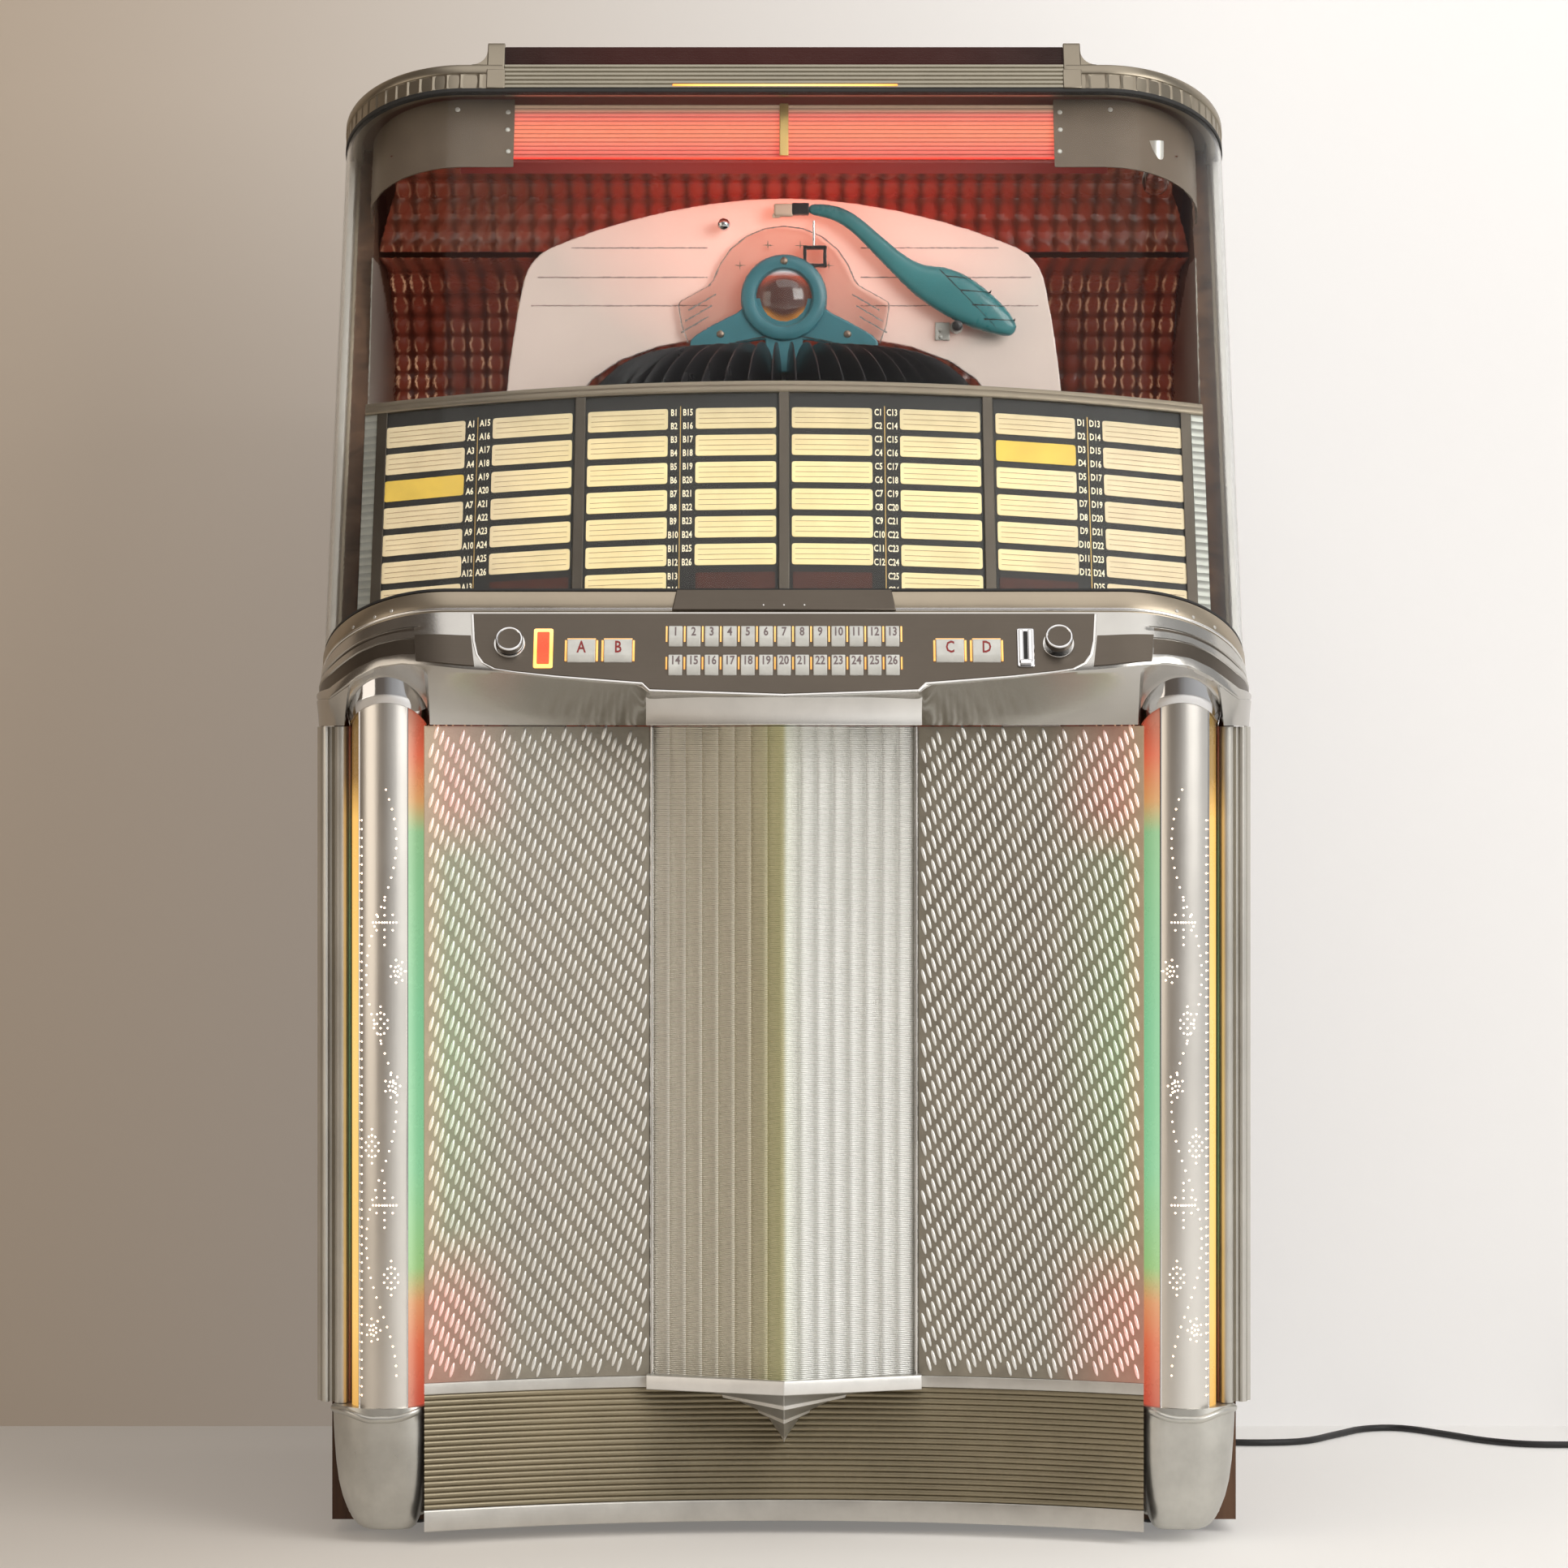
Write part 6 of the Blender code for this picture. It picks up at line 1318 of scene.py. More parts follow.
def pillow_swell(across, along, columns, rows):
    """How far the square pillows stand out there."""
    return PILLOW_RISE * (abs(math.sin(math.pi * across * columns)) * abs(math.sin(math.pi * along * rows))) ** 0.6


crystal_lengths = run_lengths(crystal_route)
CRYSTAL_RUN = crystal_lengths[-1]
BEND_START, BEND_REST = 0.3594, 0.0768
PILLOW_ROWS = round(CRYSTAL_RUN / PILLOW)


def crystal_place(across, along):
    run = along * CRYSTAL_RUN
    y, height = along_route(crystal_route, crystal_lengths, run)
    bend = min(max((run - BEND_START) / (CRYSTAL_RUN - BEND_START - BEND_REST), 0), 1) * math.pi / 2
    proud = pillow_swell(across, along, PILLOW_COLUMNS, PILLOW_ROWS)
    return Vector((CRYSTAL_HALF * (2 * across - 1), y - proud * math.cos(bend), height - proud * math.sin(bend)))


crystal = bent_sheet("crystal_pillows", PILLOW_COLUMNS * PILLOW_FACES, PILLOW_ROWS * PILLOW_FACES, crystal_place)
smooth(crystal, 50)
crystal_look = glow_near(finish_of("crystal_dark_red", (0.085, 0.026, 0.013), 0.14, scale=4, amount=0.6, grain=60,
    bump=0.03, Coat_Weight=0.5), (0.02, 0.06, 1.2), (0.3, 0.3, 0.12), (0.62, 0.006, 0.004), 0.5)


def pillow_glints(look):
    """Painted light: the lamps behind the sheet as bright arcs on the flanks of the pillows, most at both sides."""
    tree = look.node_tree
    place = place_in(tree)

    def sum_of(*terms):
        return math_of(tree, *terms)
    sideways, _, height = split_place(tree, place)
    pitch = 2 * CRYSTAL_HALF / PILLOW_COLUMNS
    across = sum_of("SUBTRACT", sum_of("FRACT", sum_of("DIVIDE", sum_of("ADD", sideways, CRYSTAL_HALF), pitch)), 0.5)
    rise = sum_of("SUBTRACT", sum_of("FRACT", sum_of("DIVIDE", sum_of("SUBTRACT", height, CRYSTAL_FOOT),
        CRYSTAL_RUN / PILLOW_ROWS)), 0.5)
    reach = sum_of("SQRT", sum_of("ADD", sum_of("MULTIPLY", across, across),
        sum_of("MULTIPLY", sum_of("MULTIPLY", rise, rise), 0.55)))
    arc = share_of(tree, sum_of("ABSOLUTE", sum_of("SUBTRACT", reach, 0.33)), 0.06, 0.02)
    flank = share_of(tree, sum_of("ABSOLUTE", across), 0.18, 0.27)
    sides = share_of(tree, sum_of("ABSOLUTE", sideways), 0.22, 0.31, To_Min=0.1, To_Max=1)
    patches = add_node(tree, "TexNoise", [("Vector", place)], Scale=16, Detail=3).outputs[0]
    level = sum_of("MULTIPLY", sum_of("MULTIPLY", arc, flank), sum_of("MULTIPLY", sides,
        share_of(tree, patches, 0.4, 0.64)))
    # Painted shade darkens each pillow towards its seams; a steady red glow is added to the light from above.
    seam = share_of(tree, reach, 0.52, 0.22, To_Min=0.22, To_Max=1.15)
    shader = tree.nodes["Principled BSDF"]
    warm = add_node(tree, "MixRGB", [("Color1", shader.inputs["Emission Color"].links[0].from_socket)], Fac=1,
        Color2=(0.16, 0.026, 0.014, 1), blend_type="ADD").outputs[0]
    warm = add_node(tree, "MixRGB", [("Color1", warm), ("Color2", seam)], Fac=1, blend_type="MULTIPLY").outputs[0]
    level = sum_of("MULTIPLY", level, share_of(tree, height, 1.2, 1.13, To_Min=0.12, To_Max=0.9))
    total = add_node(tree, "MixRGB", [("Fac", level), ("Color1", warm)], Color2=(1.35, 0.74, 0.42, 1))
    tree.links.new(total.outputs[0], shader.inputs["Emission Color"])


pillow_glints(crystal_look)
fitted(crystal, "crystal", "crystal_back", look=crystal_look)

# The crest: a second moulded sheet of the same pillows, fixed inside the lid. It runs from the head of
# the fixed sheet forward to the header, and goes up with the lid.
CREST_ROUTE = mm(((59, 1178), (50, 1200), (33, 1220), (10, 1237), (-15, 1248), (-45, 1256)))
CREST_ROWS = 7
crest_lengths = run_lengths(CREST_ROUTE)


def crest_place(across, along):
    y, height = along_route(CREST_ROUTE, crest_lengths, along * crest_lengths[-1])
    proud = pillow_swell(across, along, PILLOW_COLUMNS, CREST_ROWS)
    lean = math.radians(20 + 55 * along)
    half = CRYSTAL_HALF - 0.02 * min(1, 2 * along)
    return Vector((half * (2 * across - 1), y - proud * math.cos(lean), height - proud * math.sin(lean)))


crest = bent_sheet("lid_crystal_pillows", PILLOW_COLUMNS * PILLOW_FACES, CREST_ROWS * PILLOW_FACES, crest_place)
smooth(crest, 50)
fitted(crest, "crystal", look=crystal_look, body="lid")

# Linings of grey enamelled sheet metal, screwed flat to the wooden sides inside the dome, so that no
# bare wood shows through the glass.
LINING_OUTLINE = mm(((-150, 735), (238, 735), (238, 1100), (60, 1165), (-10, 1165)))
lining_grey = finish_of("lining_grey", (0.4, 0.38, 0.33), 0.38, 0.6, scale=5, amount=0.3, grain=500, bump=0.04)
linings = [slab("lining", LINING_OUTLINE, *sorted((side * 0.3862, side * 0.3869)), ON_EDGE) for side in (-1, 1)]
fitted(joined("dome_side_linings", linings), "chassis_steel", look=lining_grey)

# The mechanism board: enamelled sheet metal in front of the changer, arched on top and cut away over
# the records, with three engraved lines. The red lamp above it tints its crown.
HUB = Vector((0, 0, 1.127))
board_half_outline = mm([(260, 700.6), (260.8, 1040), (257.5, 1070), (251.5, 1110), (246.5, 1136), (244, 1146.7),
    (240.5, 1155.5), (235, 1163.5), (228.8, 1169.5), (219, 1175.5), (199, 1183.5), (175.7, 1192), (145, 1201),
    (110, 1209.5), (70, 1216.5), (35, 1220.5), (0, 1221.8)])
opening_half = mm([(205, 700.6), (205, 1005), (197.5, 1030), (180, 1052), (155, 1069), (120, 1082), (80, 1089.5),
    (40, 1091.5), (0, 1092)])
opening = [(-across, up) for across, up in both_sides(opening_half)]
board = slab("board_enamel", both_sides(board_half_outline) + opening, -0.0078, -0.0002, FACE, 0.0012)
enamel = glow_near(finish_of("board_enamel", (0.76, 0.63, 0.57), 0.36, scale=6, amount=0.12, grain=200, bump=0.02),
    (0.02, 0, 1.215), (0.25, 0.3, 0.17), (1, 0.22, 0.13), 0.78)
fitted(board, "board_enamel", "mechanism_board", look=enamel)
engraving = []
for up, start, end in ((1.1752, -0.2, 0.202), (1.1475, -0.232, 0.2325), (1.1209, -0.238, 0.2395)):
    for low, high in ((start, -0.072), (0.072, end)):
        engraving.append(block("line", (low, up - 0.0005, -0.0001), (high, up + 0.0005, 0.0003), FACE, 0.0002, 1))
engraved = finish_of("engraved_line", (0.36, 0.25, 0.23), 0.5, scale=120, amount=0.3)
fitted(joined("board_engraving", engraving), "board_enamel", look=engraved)

# The hub: a teal pressing with a ring and a spread skirt over the records, riveted to the board, with
# a clear bell guard behind it and a glass lens at its centre, its amber glint painted round its rim.
teal = finish_of("hub_teal", (0.045, 0.17, 0.205), 0.3, amount=0.3, grain=400, bump=0.03)
ring = turned("ring", mm([(26.2, 1), (26.2, 16.5), (28, 19.2), (31, 20), (36, 19.6), (39.2, 17.6), (40.5, 14.6),
    (40.5, 1), (26.2, 1)]), Matrix.Translation(HUB) @ FACE, 64)
skirt_half = mm([(0, 1130), (30, 1126), (39.2, 1117), (44, 1113), (66, 1102), (83, 1092), (88, 1086.5), (88.2, 1082),
    (86, 1079.5), (70, 1079), (48, 1083.5), (25, 1087), (17.5, 1087.6), (18.5, 1064), (15, 1057.5), (0, 1057)])
skirt = slab("skirt", both_sides(skirt_half), 0.006, 0.014, FACE, 0.0016, 3)
fitted(joined("hub_pressing", [ring, skirt]), "board_enamel", look=teal)
details = []
for middle in (-0.0062, 0.0062):
    leaf = [(middle + 0.003 * math.sin(math.tau * step / 16), 1.069 + 0.0115 * math.cos(math.tau * step / 16))
        for step in range(16)]
    details.append(slab("leaf", leaf, 0.013, 0.0144, FACE, 0.0004, 1))
arc_line = [(-0.046 + 0.092 * step / 24, 1.085 + 0.0062 * math.cos(math.pi * (step / 24 - 0.5)))
    for step in range(25)]
arc_outline = [(across, up - 0.0006) for across, up in arc_line] + [(across, up + 0.0006) for across,
    up in reversed(arc_line)]
details.append(slab("arc", arc_outline, 0.013, 0.0145, FACE))
fitted(joined("hub_dark_lines", details), "board_enamel", look=shade_black)
rivets = [turned("rivet", mm([(0, 2.2), (1.8, 2), (3.2, 1), (3.6, 0)]), Matrix.Translation((across, -out, height))
    @ FACE, 16) for across, height, out in ((0, 1.1608, 0.0196), (-0.0596, 1.0929, 0.0139), (0.0596, 1.0929, 0.0139))]
old_brass = finish_of("rivet_brass", (0.3, 0.22, 0.17), 0.35, 0.8, scale=200, amount=0.4)
fitted(joined("hub_rivets", rivets), "board_enamel", look=old_brass)
lens_profile = [(0.0261, 0.002)] + [(0.0261 * math.cos(turn), 0.006 + 0.015 * math.sin(turn))
    for turn in np.linspace(0, math.pi / 2, 12)]
lens_profile[-1] = (0, 0.021)
lens = turned("hub_lens", lens_profile, Matrix.Translation(HUB) @ FACE, 48)
lens_look = finish_of("hub_lens", (0.07, 0.03, 0.022), 0.06, scale=30, amount=0.3, Coat_Weight=1)
lens_tree = lens_look.node_tree
lens_at = add_node(lens_tree, "Mapping", [("Vector", place_in(lens_tree))], vector_type="TEXTURE",
    Location=(0, -0.018, 1.127), Scale=(0.0262, 0.0262, 0.0262)).outputs[0]
lens_out = add_node(lens_tree, "VectorMath", [(0, lens_at)], operation="LENGTH").outputs["Value"]
# Painted glints round the lens's rim: amber low down, red higher, and a white highlight at the top.
lens_edge = share_of(lens_tree, lens_out, 0.55, 0.95, interpolation_type="SMOOTHSTEP")
lens_glint_colours = colours_along(lens_tree, share_of(lens_tree, split_place(lens_tree, lens_at)[2], -1, 1),
    ((0, (0.4, 0.14, 0.02)), (0.22, (0.75, 0.3, 0.04)), (0.36, (0.1, 0.035, 0.02)), (0.68, (0.16, 0.05, 0.035)),
    (0.88, (0.62, 0.12, 0.07)), (1, (1, 1, 1))))
lens_painted_glints = add_node(lens_tree, "MixRGB", [("Fac", lens_edge), ("Color2", lens_glint_colours)], Color1=(0.035, 0.02, 0.02, 1))
shining(lens_look, lens_painted_glints.outputs[0], 0.8)
fitted(lens, "board_enamel", look=lens_look)

clear_acrylic = finish_of("clear_acrylic", (0.93, 0.86, 0.83), 0.08, scale=20, amount=0.05, Transmission_Weight=1,
    IOR=1.12)
guard_half = mm([(0, 1195), (18, 1192.6), (35, 1185.5), (50, 1173.5), (60, 1159), (66.5, 1144), (70.5, 1139),
    (97.5, 1124), (99, 1120.5), (96, 1102), (90, 1085), (80, 1088), (42, 1109), (0, 1109)])
fitted(slab("bell_guard", both_sides(guard_half), 0.003, 0.0058, FACE, 0.0012, 3), "lid_clear", look=clear_acrylic)


def at_share(values, share):
    """The value at this share of a row of points."""
    place = share * (len(values) - 1)
    index = min(int(place), len(values) - 2)
    return Vector(values[index]).lerp(Vector(values[index + 1]), place - index)


def guard_edge_place(side):
    """A painted highlight: a bright round edge along the outline of the clear guard."""
    def place(across, along):
        point = at_share([(side * x, up) for x, up in guard_half[:11]], across)
        turn = math.tau * (round(along * 6) % 6) / 6
        offset = Vector((-point.x, HUB.z - point.y)).normalized() * 0.0007 * math.cos(turn)
        return Vector((point.x + offset.x, -0.006 - 0.0007 * math.sin(turn), point.y + offset.y))
    return place


guard_edge_highlights = [bent_sheet("edge", 60, 6, guard_edge_place(side), seam=True) for side in (-1, 1)]
# Bright slits in the guard: painted highlights too.
for side in (-1, 1):
    for slot in range(3):
        start = Vector((side * (0.064 + 0.0035 * slot), 1.131 - 0.0105 * slot))
        end = start + Vector((side * 0.0255, -0.015))
        run = (end - start).normalized() * 0.0006
        beside = Vector((-run.y, run.x))
        guard_edge_highlights.append(slab("slot", [start - beside, end - beside, end + beside, start + beside], 0.0056, 0.0064,
            FACE))
fitted(joined("bell_guard_highlights", guard_edge_highlights), "lid_clear", look=polished)
sparks = []
for across, height in ((-0.0152, 1.177), (0.0152, 1.177), (-0.0414, 1.1581), (0.0421, 1.1581)):
    spark = []
    for step in range(8):
        reach = (0.0058 if step % 4 == 0 else 0.0048) if step % 2 == 0 else 0.0007
        spark.append((across + reach * math.cos(math.tau * step / 8), height + reach * math.sin(math.tau * step / 8)))
    sparks.append(slab("spark", spark, 0.0058, 0.0062, FACE))
fitted(joined("guard_sparks", sparks), "board_enamel", look=old_brass)
ball_knob = turned("ball_knob", mm([(0, 18.5), (3, 17.8), (5.2, 15.8), (6, 12.8), (5.2, 9.8), (3.4, 8), (2.2, 7),
    (2, 2), (4.5, 1.2), (5, 0)]), Matrix.Translation((-0.0565, -0.0001, 1.196)) @ FACE, 28)
rest_rod = turned("rest_rod", mm([(0, -0.4), (1.3, -0.4), (1.3, 26), (0, 26)]),
    Matrix.Translation((0.028, -0.0085, 1.1735)), 12)
fitted(joined("arm_rest_rod", [ball_knob, rest_rod]), "chrome_trim", look=chrome)
rest = [block("bar", (left, low, 0.0062), (right, high, 0.015), FACE) for left, right, low,
    high in ((0.018, 0.04, 1.1725, 1.176), (0.018, 0.04, 1.156, 1.159), (0.018, 0.0212, 1.156, 1.176),
    (0.0368, 0.04, 1.156, 1.176))]
black_bakelite = finish_of("black_bakelite", (0.02, 0.016, 0.016), 0.28, scale=60, amount=0.3)
fitted(joined("arm_rest_frame", rest), "board_enamel", look=black_bakelite)

# The record magazine: a carousel of upright records with paper labels, in a steel tray with a felted
# spindle, turning on a shaft over the deck.
CAROUSEL = Matrix.Translation((0, 0.033, 0))
disc_half = mm([(0, 0.9), (18.8, 0.9), (19.2, 0.6), (44, 0.6), (44.6, 1), (46, 1.1), (80, 0.8), (87, 0.9),
    (88.8, 0.6), (89, 0)])
disc = turned("records", disc_half + [(radius, -height) for radius, height in reversed(disc_half[:-1])], steps=40)
vinyl = finish_of("record_vinyl", (0.012, 0.011, 0.012), 0.2, scale=9, amount=0.3, grain=8)
vinyl_tree = vinyl.node_tree
grooves_at = add_node(vinyl_tree, "TexWave", [("Vector", add_node(vinyl_tree, "TexCoord").outputs["UV"])],
    bands_direction="Y", Scale=60)
groove_bump = add_node(vinyl_tree, "Bump", [("Height", grooves_at.outputs[1])], Strength=0.25, Distance=0.0004)
vinyl_tree.links.new(groove_bump.outputs[0], vinyl_tree.nodes["Principled BSDF"].inputs["Normal"])
label_paper = finish_of("record_label", (0.16, 0.02, 0.018), 0.5, scale=3, amount=0.8)
painted(disc, (vinyl, label_paper), lambda middle, normal: int(math.hypot(middle.x, middle.y) < 0.045))
copies_at(disc, [CAROUSEL @ Matrix.Rotation(math.tau * (index + 0.5) / 52, 4, "Z")
    @ Matrix.Translation((0.108, 0, 0.991)) @ Matrix.Rotation(math.pi / 2, 4, "X") for index in range(52)])
fitted(disc, "record_vinyl", "record_magazine", body="record_magazine")
hub_profile = mm([(0, 1068), (30, 1068), (33.5, 1066), (34, 1062), (34, 896), (40, 891), (147, 890), (150, 889),
    (150, 885), (147, 884), (16, 884), (12, 880), (12, 703), (0, 703)])
fitted(turned("carousel_tray", hub_profile, CAROUSEL, 56), "chassis_steel", look=dark_steel, body="record_magazine")

# The tone arm: a teal die casting that sweeps up from a leaf-shaped counterweight, with five notches
# along its edge, to a cream cartridge over the hub.
ARM_STATIONS = mm((((21.5, 1215.5), (21.5, 1204.5), 5), ((43, 1215), (39, 1202.2), 5.6),
    ((62, 1209.5), (54.5, 1196), 5.8), ((80.5, 1194.5), (70, 1183), 5.8), ((100, 1177), (85, 1166.5), 6),
    ((119, 1162.2), (104, 1147.5), 6.4), ((134, 1156.8), (122, 1128.5), 7.8), ((151, 1157.2), (142, 1115), 9.4),
    ((172, 1149), (156, 1106.5), 10.4), ((193, 1133), (172, 1099.5), 10.4), ((208, 1118.5), (190, 1093.5), 9.4),
    ((217, 1105), (206, 1090.5), 7), ((218.8, 1098.5), (213.5, 1090.6), 4)))
ARM_Y = -0.0142


def arm_place(across, along):
    top, low, thick = ARM_STATIONS[round(along * (len(ARM_STATIONS) - 1))]
    turn = math.tau * (round(across * 12) % 12) / 12
    span = math.copysign(abs(math.cos(turn)) ** 0.8, math.cos(turn))
    swell = math.copysign(abs(math.sin(turn)) ** 0.8, math.sin(turn))
    share = 0.5 + 0.5 * span
    return Vector((low[0] + (top[0] - low[0]) * share, ARM_Y - thick * (swell if swell > 0 else 0.75 * swell),
        low[1] + (top[1] - low[1]) * share))


arm = bent_sheet("tone_arm_casting", 12, len(ARM_STATIONS) - 1, arm_place, seam=True)
apply_modifier(arm, "SUBSURF", levels=2, render_levels=2)
smooth(arm, 60)
arm_teal = finish_of("arm_teal", (0.04, 0.185, 0.2), 0.24, scale=16, amount=0.35, bump=0.03, Coat_Weight=0.4)
fitted(arm, "arm_teal", "tone_arm", look=arm_teal, body="tone_arm")
# The notches are drawn as dark strips laid on the casting: painted shade.
notch_shades = []
for start, end in mm((((152, 1146.2), (175, 1144.5)), ((165, 1133), (193.5, 1131.2)), ((176, 1119.5), (206.5, 1118)),
        ((187, 1106), (216, 1105)), ((145.5, 1153), (201, 1096)))):
    def notch_place(across, along, start=start, end=end):
        width = 0.00075 * (1 - 0.6 * across)
        return Vector((start[0] + (end[0] - start[0]) * across, -0.04, start[1] + (end[1] - start[1]) * across
            + width * (2 * along - 1)))
    notch_shades.append(bent_sheet("notch", 16, 2, notch_place))
notch_shade_strip = joined("tone_arm_notch_shades", notch_shades)
apply_modifier(notch_shade_strip, "SHRINKWRAP", target=arm, wrap_method="PROJECT", use_project_y=True,
    use_positive_direction=True, use_negative_direction=False, wrap_mode="ABOVE_SURFACE", offset=0.0002)
fitted(notch_shade_strip, "arm_teal", look=shade_black, body="tone_arm")
cartridge = [block("shell", (-0.0095, 1.203, 0.008), (0.0085, 1.215, 0.019), FACE, 0.0022, 3),
    block("nose", (-0.011, 1.2018, 0.01), (-0.004, 1.206, 0.017), FACE, 0.001)]
card_plastic = finish_of("cartridge_cream", (0.66, 0.5, 0.38), 0.4, scale=90, amount=0.3)
fitted(joined("tone_arm_cartridge", cartridge), "arm_teal", look=card_plastic, body="tone_arm")
holder = [block("clip", (0.007, 1.2045, 0.0075), (0.0235, 1.2155, 0.019), FACE, 0.0012),
    turned("pivot_pin", mm([(0, 2), (3.5, 1.8), (5, 0.8), (5.2, -9), (0, -9)]),
    Matrix.Translation((0.162, -0.0245, 1.1)) @ FACE, 24)]
fitted(joined("tone_arm_clip", holder), "arm_teal", look=black_bakelite, body="tone_arm")
bracket = [block("foot", (0.142, 1.088, 0.0002), (0.156, 1.105, 0.0022), FACE),
    turned("post", mm([(0, 8.5), (6, 8.5), (6.2, 8), (6.2, 0.2), (0, 0.2)]),
    Matrix.Translation((0.162, -0.0001, 1.1)) @ FACE, 24)]
bracket += [turned("screw", mm([(0, 3.6), (1.2, 3.4), (2, 2.8), (2.2, 2)]),
    Matrix.Translation((0.147, 0, height)) @ FACE, 12) for height in (1.0915, 1.0975)]
fitted(joined("tone_arm_bracket", bracket), "chassis_steel", look=satin)

# The loudspeaker and the amplifier, out of sight behind the grille: doped paper on black steel, and a
# cadmium-plated chassis.
speaker_paper = finish_of("speaker_black", (0.03, 0.027, 0.025), 0.65, scale=30, amount=0.5, bump=0.2)
chassis_plate = finish_of("chassis_plate", (0.34, 0.32, 0.27), 0.42, 0.8, scale=20, amount=0.4)
repaint(speaker_paper, "speaker")
repaint(chassis_plate, "amplifier")

# The lid: an aluminium frame that leans back over the changer. Its lower rail wraps the glass in
# bronze-dyed satin metal, with a bright bead at its foot and screws at its ends.
RAIL_BACK = 0.176


def lid_ring(name, back, section, steps=110, shares=(-1, 1), on_seat=True):
    """A moulding round the lid's front: its section is a closed run of (inset, height) points."""
    section = [*section, section[0]]

    def place(across, along):
        inset, up = section[round(along * (len(section) - 1))]
        share = shares[0] + (shares[1] - shares[0]) * across
        side, behind = band_line(share, LID_HALF - inset, LID_CORNER - inset, inset, back)
        return LID @ Vector((side, behind, up + (seat_height(behind) if on_seat else 0)))
    return bent_sheet(name, steps, len(section) - 1, place, seam=True)


rail_bronze = finish_of("rail_bronze", (0.4, 0.34, 0.26), 0.33, 0.9, scale=8, amount=0.3, grain=(20, 20, 800))
rail = lid_ring("lid_lower_rail", RAIL_BACK, mm([(1.2, 0.5), (0.6, 4.5), (0.2, 6), (0, 9), (0, 19), (0.6, 20.8),
    (2, 21.9), (9.2, 22), (9.5, 21.5), (9.5, 0.3), (3, 0.3)]))
smooth(rail, 30)
fitted(rail, "column_metal", "lid_frame", look=rail_bronze, body="lid")
bead = lid_ring("lid_rail_bead", RAIL_BACK, mm([(1, 2.2), (0, 2), (-0.7, 2.6), (-0.9, 3.4), (-0.6, 4.2), (0, 4.7),
    (0.8, 4.8)]))
smooth(bead, 60)
fitted(bead, "chrome_trim", look=polished, body="lid")
name_bar = slab("lid_name_bar", both_sides(mm([(98.5, -21.2), (94.5, -1)])), 0, 0.0026, LID @ FACE, 0.0009)
name_dots = [turned("dot", mm([(0, 0.6), (0.7, 0.5), (1, 0)]), LID @ FACE
    @ Matrix.Translation((across, -0.0165, 0.0026)), 10) for across in (-0.018, 0, 0.018)]
fitted(name_bar, "column_metal", look=bronze, body="lid")
fitted(joined("lid_name_bar_dots", name_dots), "chrome_trim", look=polished, body="lid")
rail_screws = []
for side in (-1, 1):
    for share, up in ((0.62, 0.0085), (0.66, 0.0078), (0.72, 0.0082)):
        across, behind = band_line(side * share, LID_HALF, LID_CORNER, 0, RAIL_BACK)
        turn = min((share - FRONT_SHARE) / (CORNER_SHARE - FRONT_SHARE), 1) * math.pi / 2
        spot = LID @ Matrix.Translation((across, behind, seat_height(behind) + up))
        rail_screws.append(turned("screw", mm([(0, 0.7), (1.2, 0.6), (1.8, 0)]),
            spot @ Matrix.Rotation(side * turn, 4, "Z") @ FACE, 12))
fitted(joined("lid_rail_screws", rail_screws), "chrome_trim", look=satin, body="lid")

# The dome glass: one clear curved sheet that goes round the front and both sides. Black rubber channel
# holds it at its foot and its head.
GLASS_BACK = 0.1222
glass_look = finish_of("dome_glass", (0.93, 0.945, 0.94), 0.02, scale=3, amount=0, Transmission_Weight=1, IOR=1.14)
glass_tree = glass_look.node_tree
clear_mix = add_node(glass_tree, "MixShader", [(0, add_node(glass_tree, "LightPath").outputs["Is Shadow Ray"]),
    (1, glass_tree.nodes["Principled BSDF"].outputs[0]), (2, add_node(glass_tree, "BsdfTransparent").outputs[0])])
glass_tree.links.new(clear_mix.outputs[0], glass_tree.nodes["Material Output"].inputs[0])


def glass_place(across, along):
    rise = (0, 1, 1, 0)[round(along * 4) % 4]
    inset = (0, 0, 0.0025, 0.0025)[round(along * 4) % 4]
    side, behind = band_line(2 * across - 1, 0.4135 - inset, 0.1185 - inset, 0.0015 + inset, GLASS_BACK)
    up = 0.5186 if rise else seat_height(behind) + 0.0224
    return LID @ Vector((side, behind, up))


glass = bent_sheet("dome_glass", 96, 4, glass_place, seam=True)
smooth(glass, 40)
fitted(glass, "lid_clear", "lid_glass", look=glass_look, body="lid")
gasket_black = finish_of("gasket_rubber", (0.018, 0.017, 0.016), 0.55, scale=60, amount=0.4)
gaskets = [lid_ring("foot_gasket", GLASS_BACK, mm([(0.8, 22), (1, 24.3), (1.5, 24.7), (6.4, 24.7), (6.8, 24.3),
    (6.8, 22)])), lid_ring("head_gasket", GLASS_BACK, mm([(0.4, 519.2), (0.4, 516.2), (1, 515.4), (6.4, 515.4),
    (6.8, 516), (6.8, 519.2)]), on_seat=False)]
fitted(joined("glass_gaskets", gaskets), "caster_rubber", look=gasket_black, body="lid")

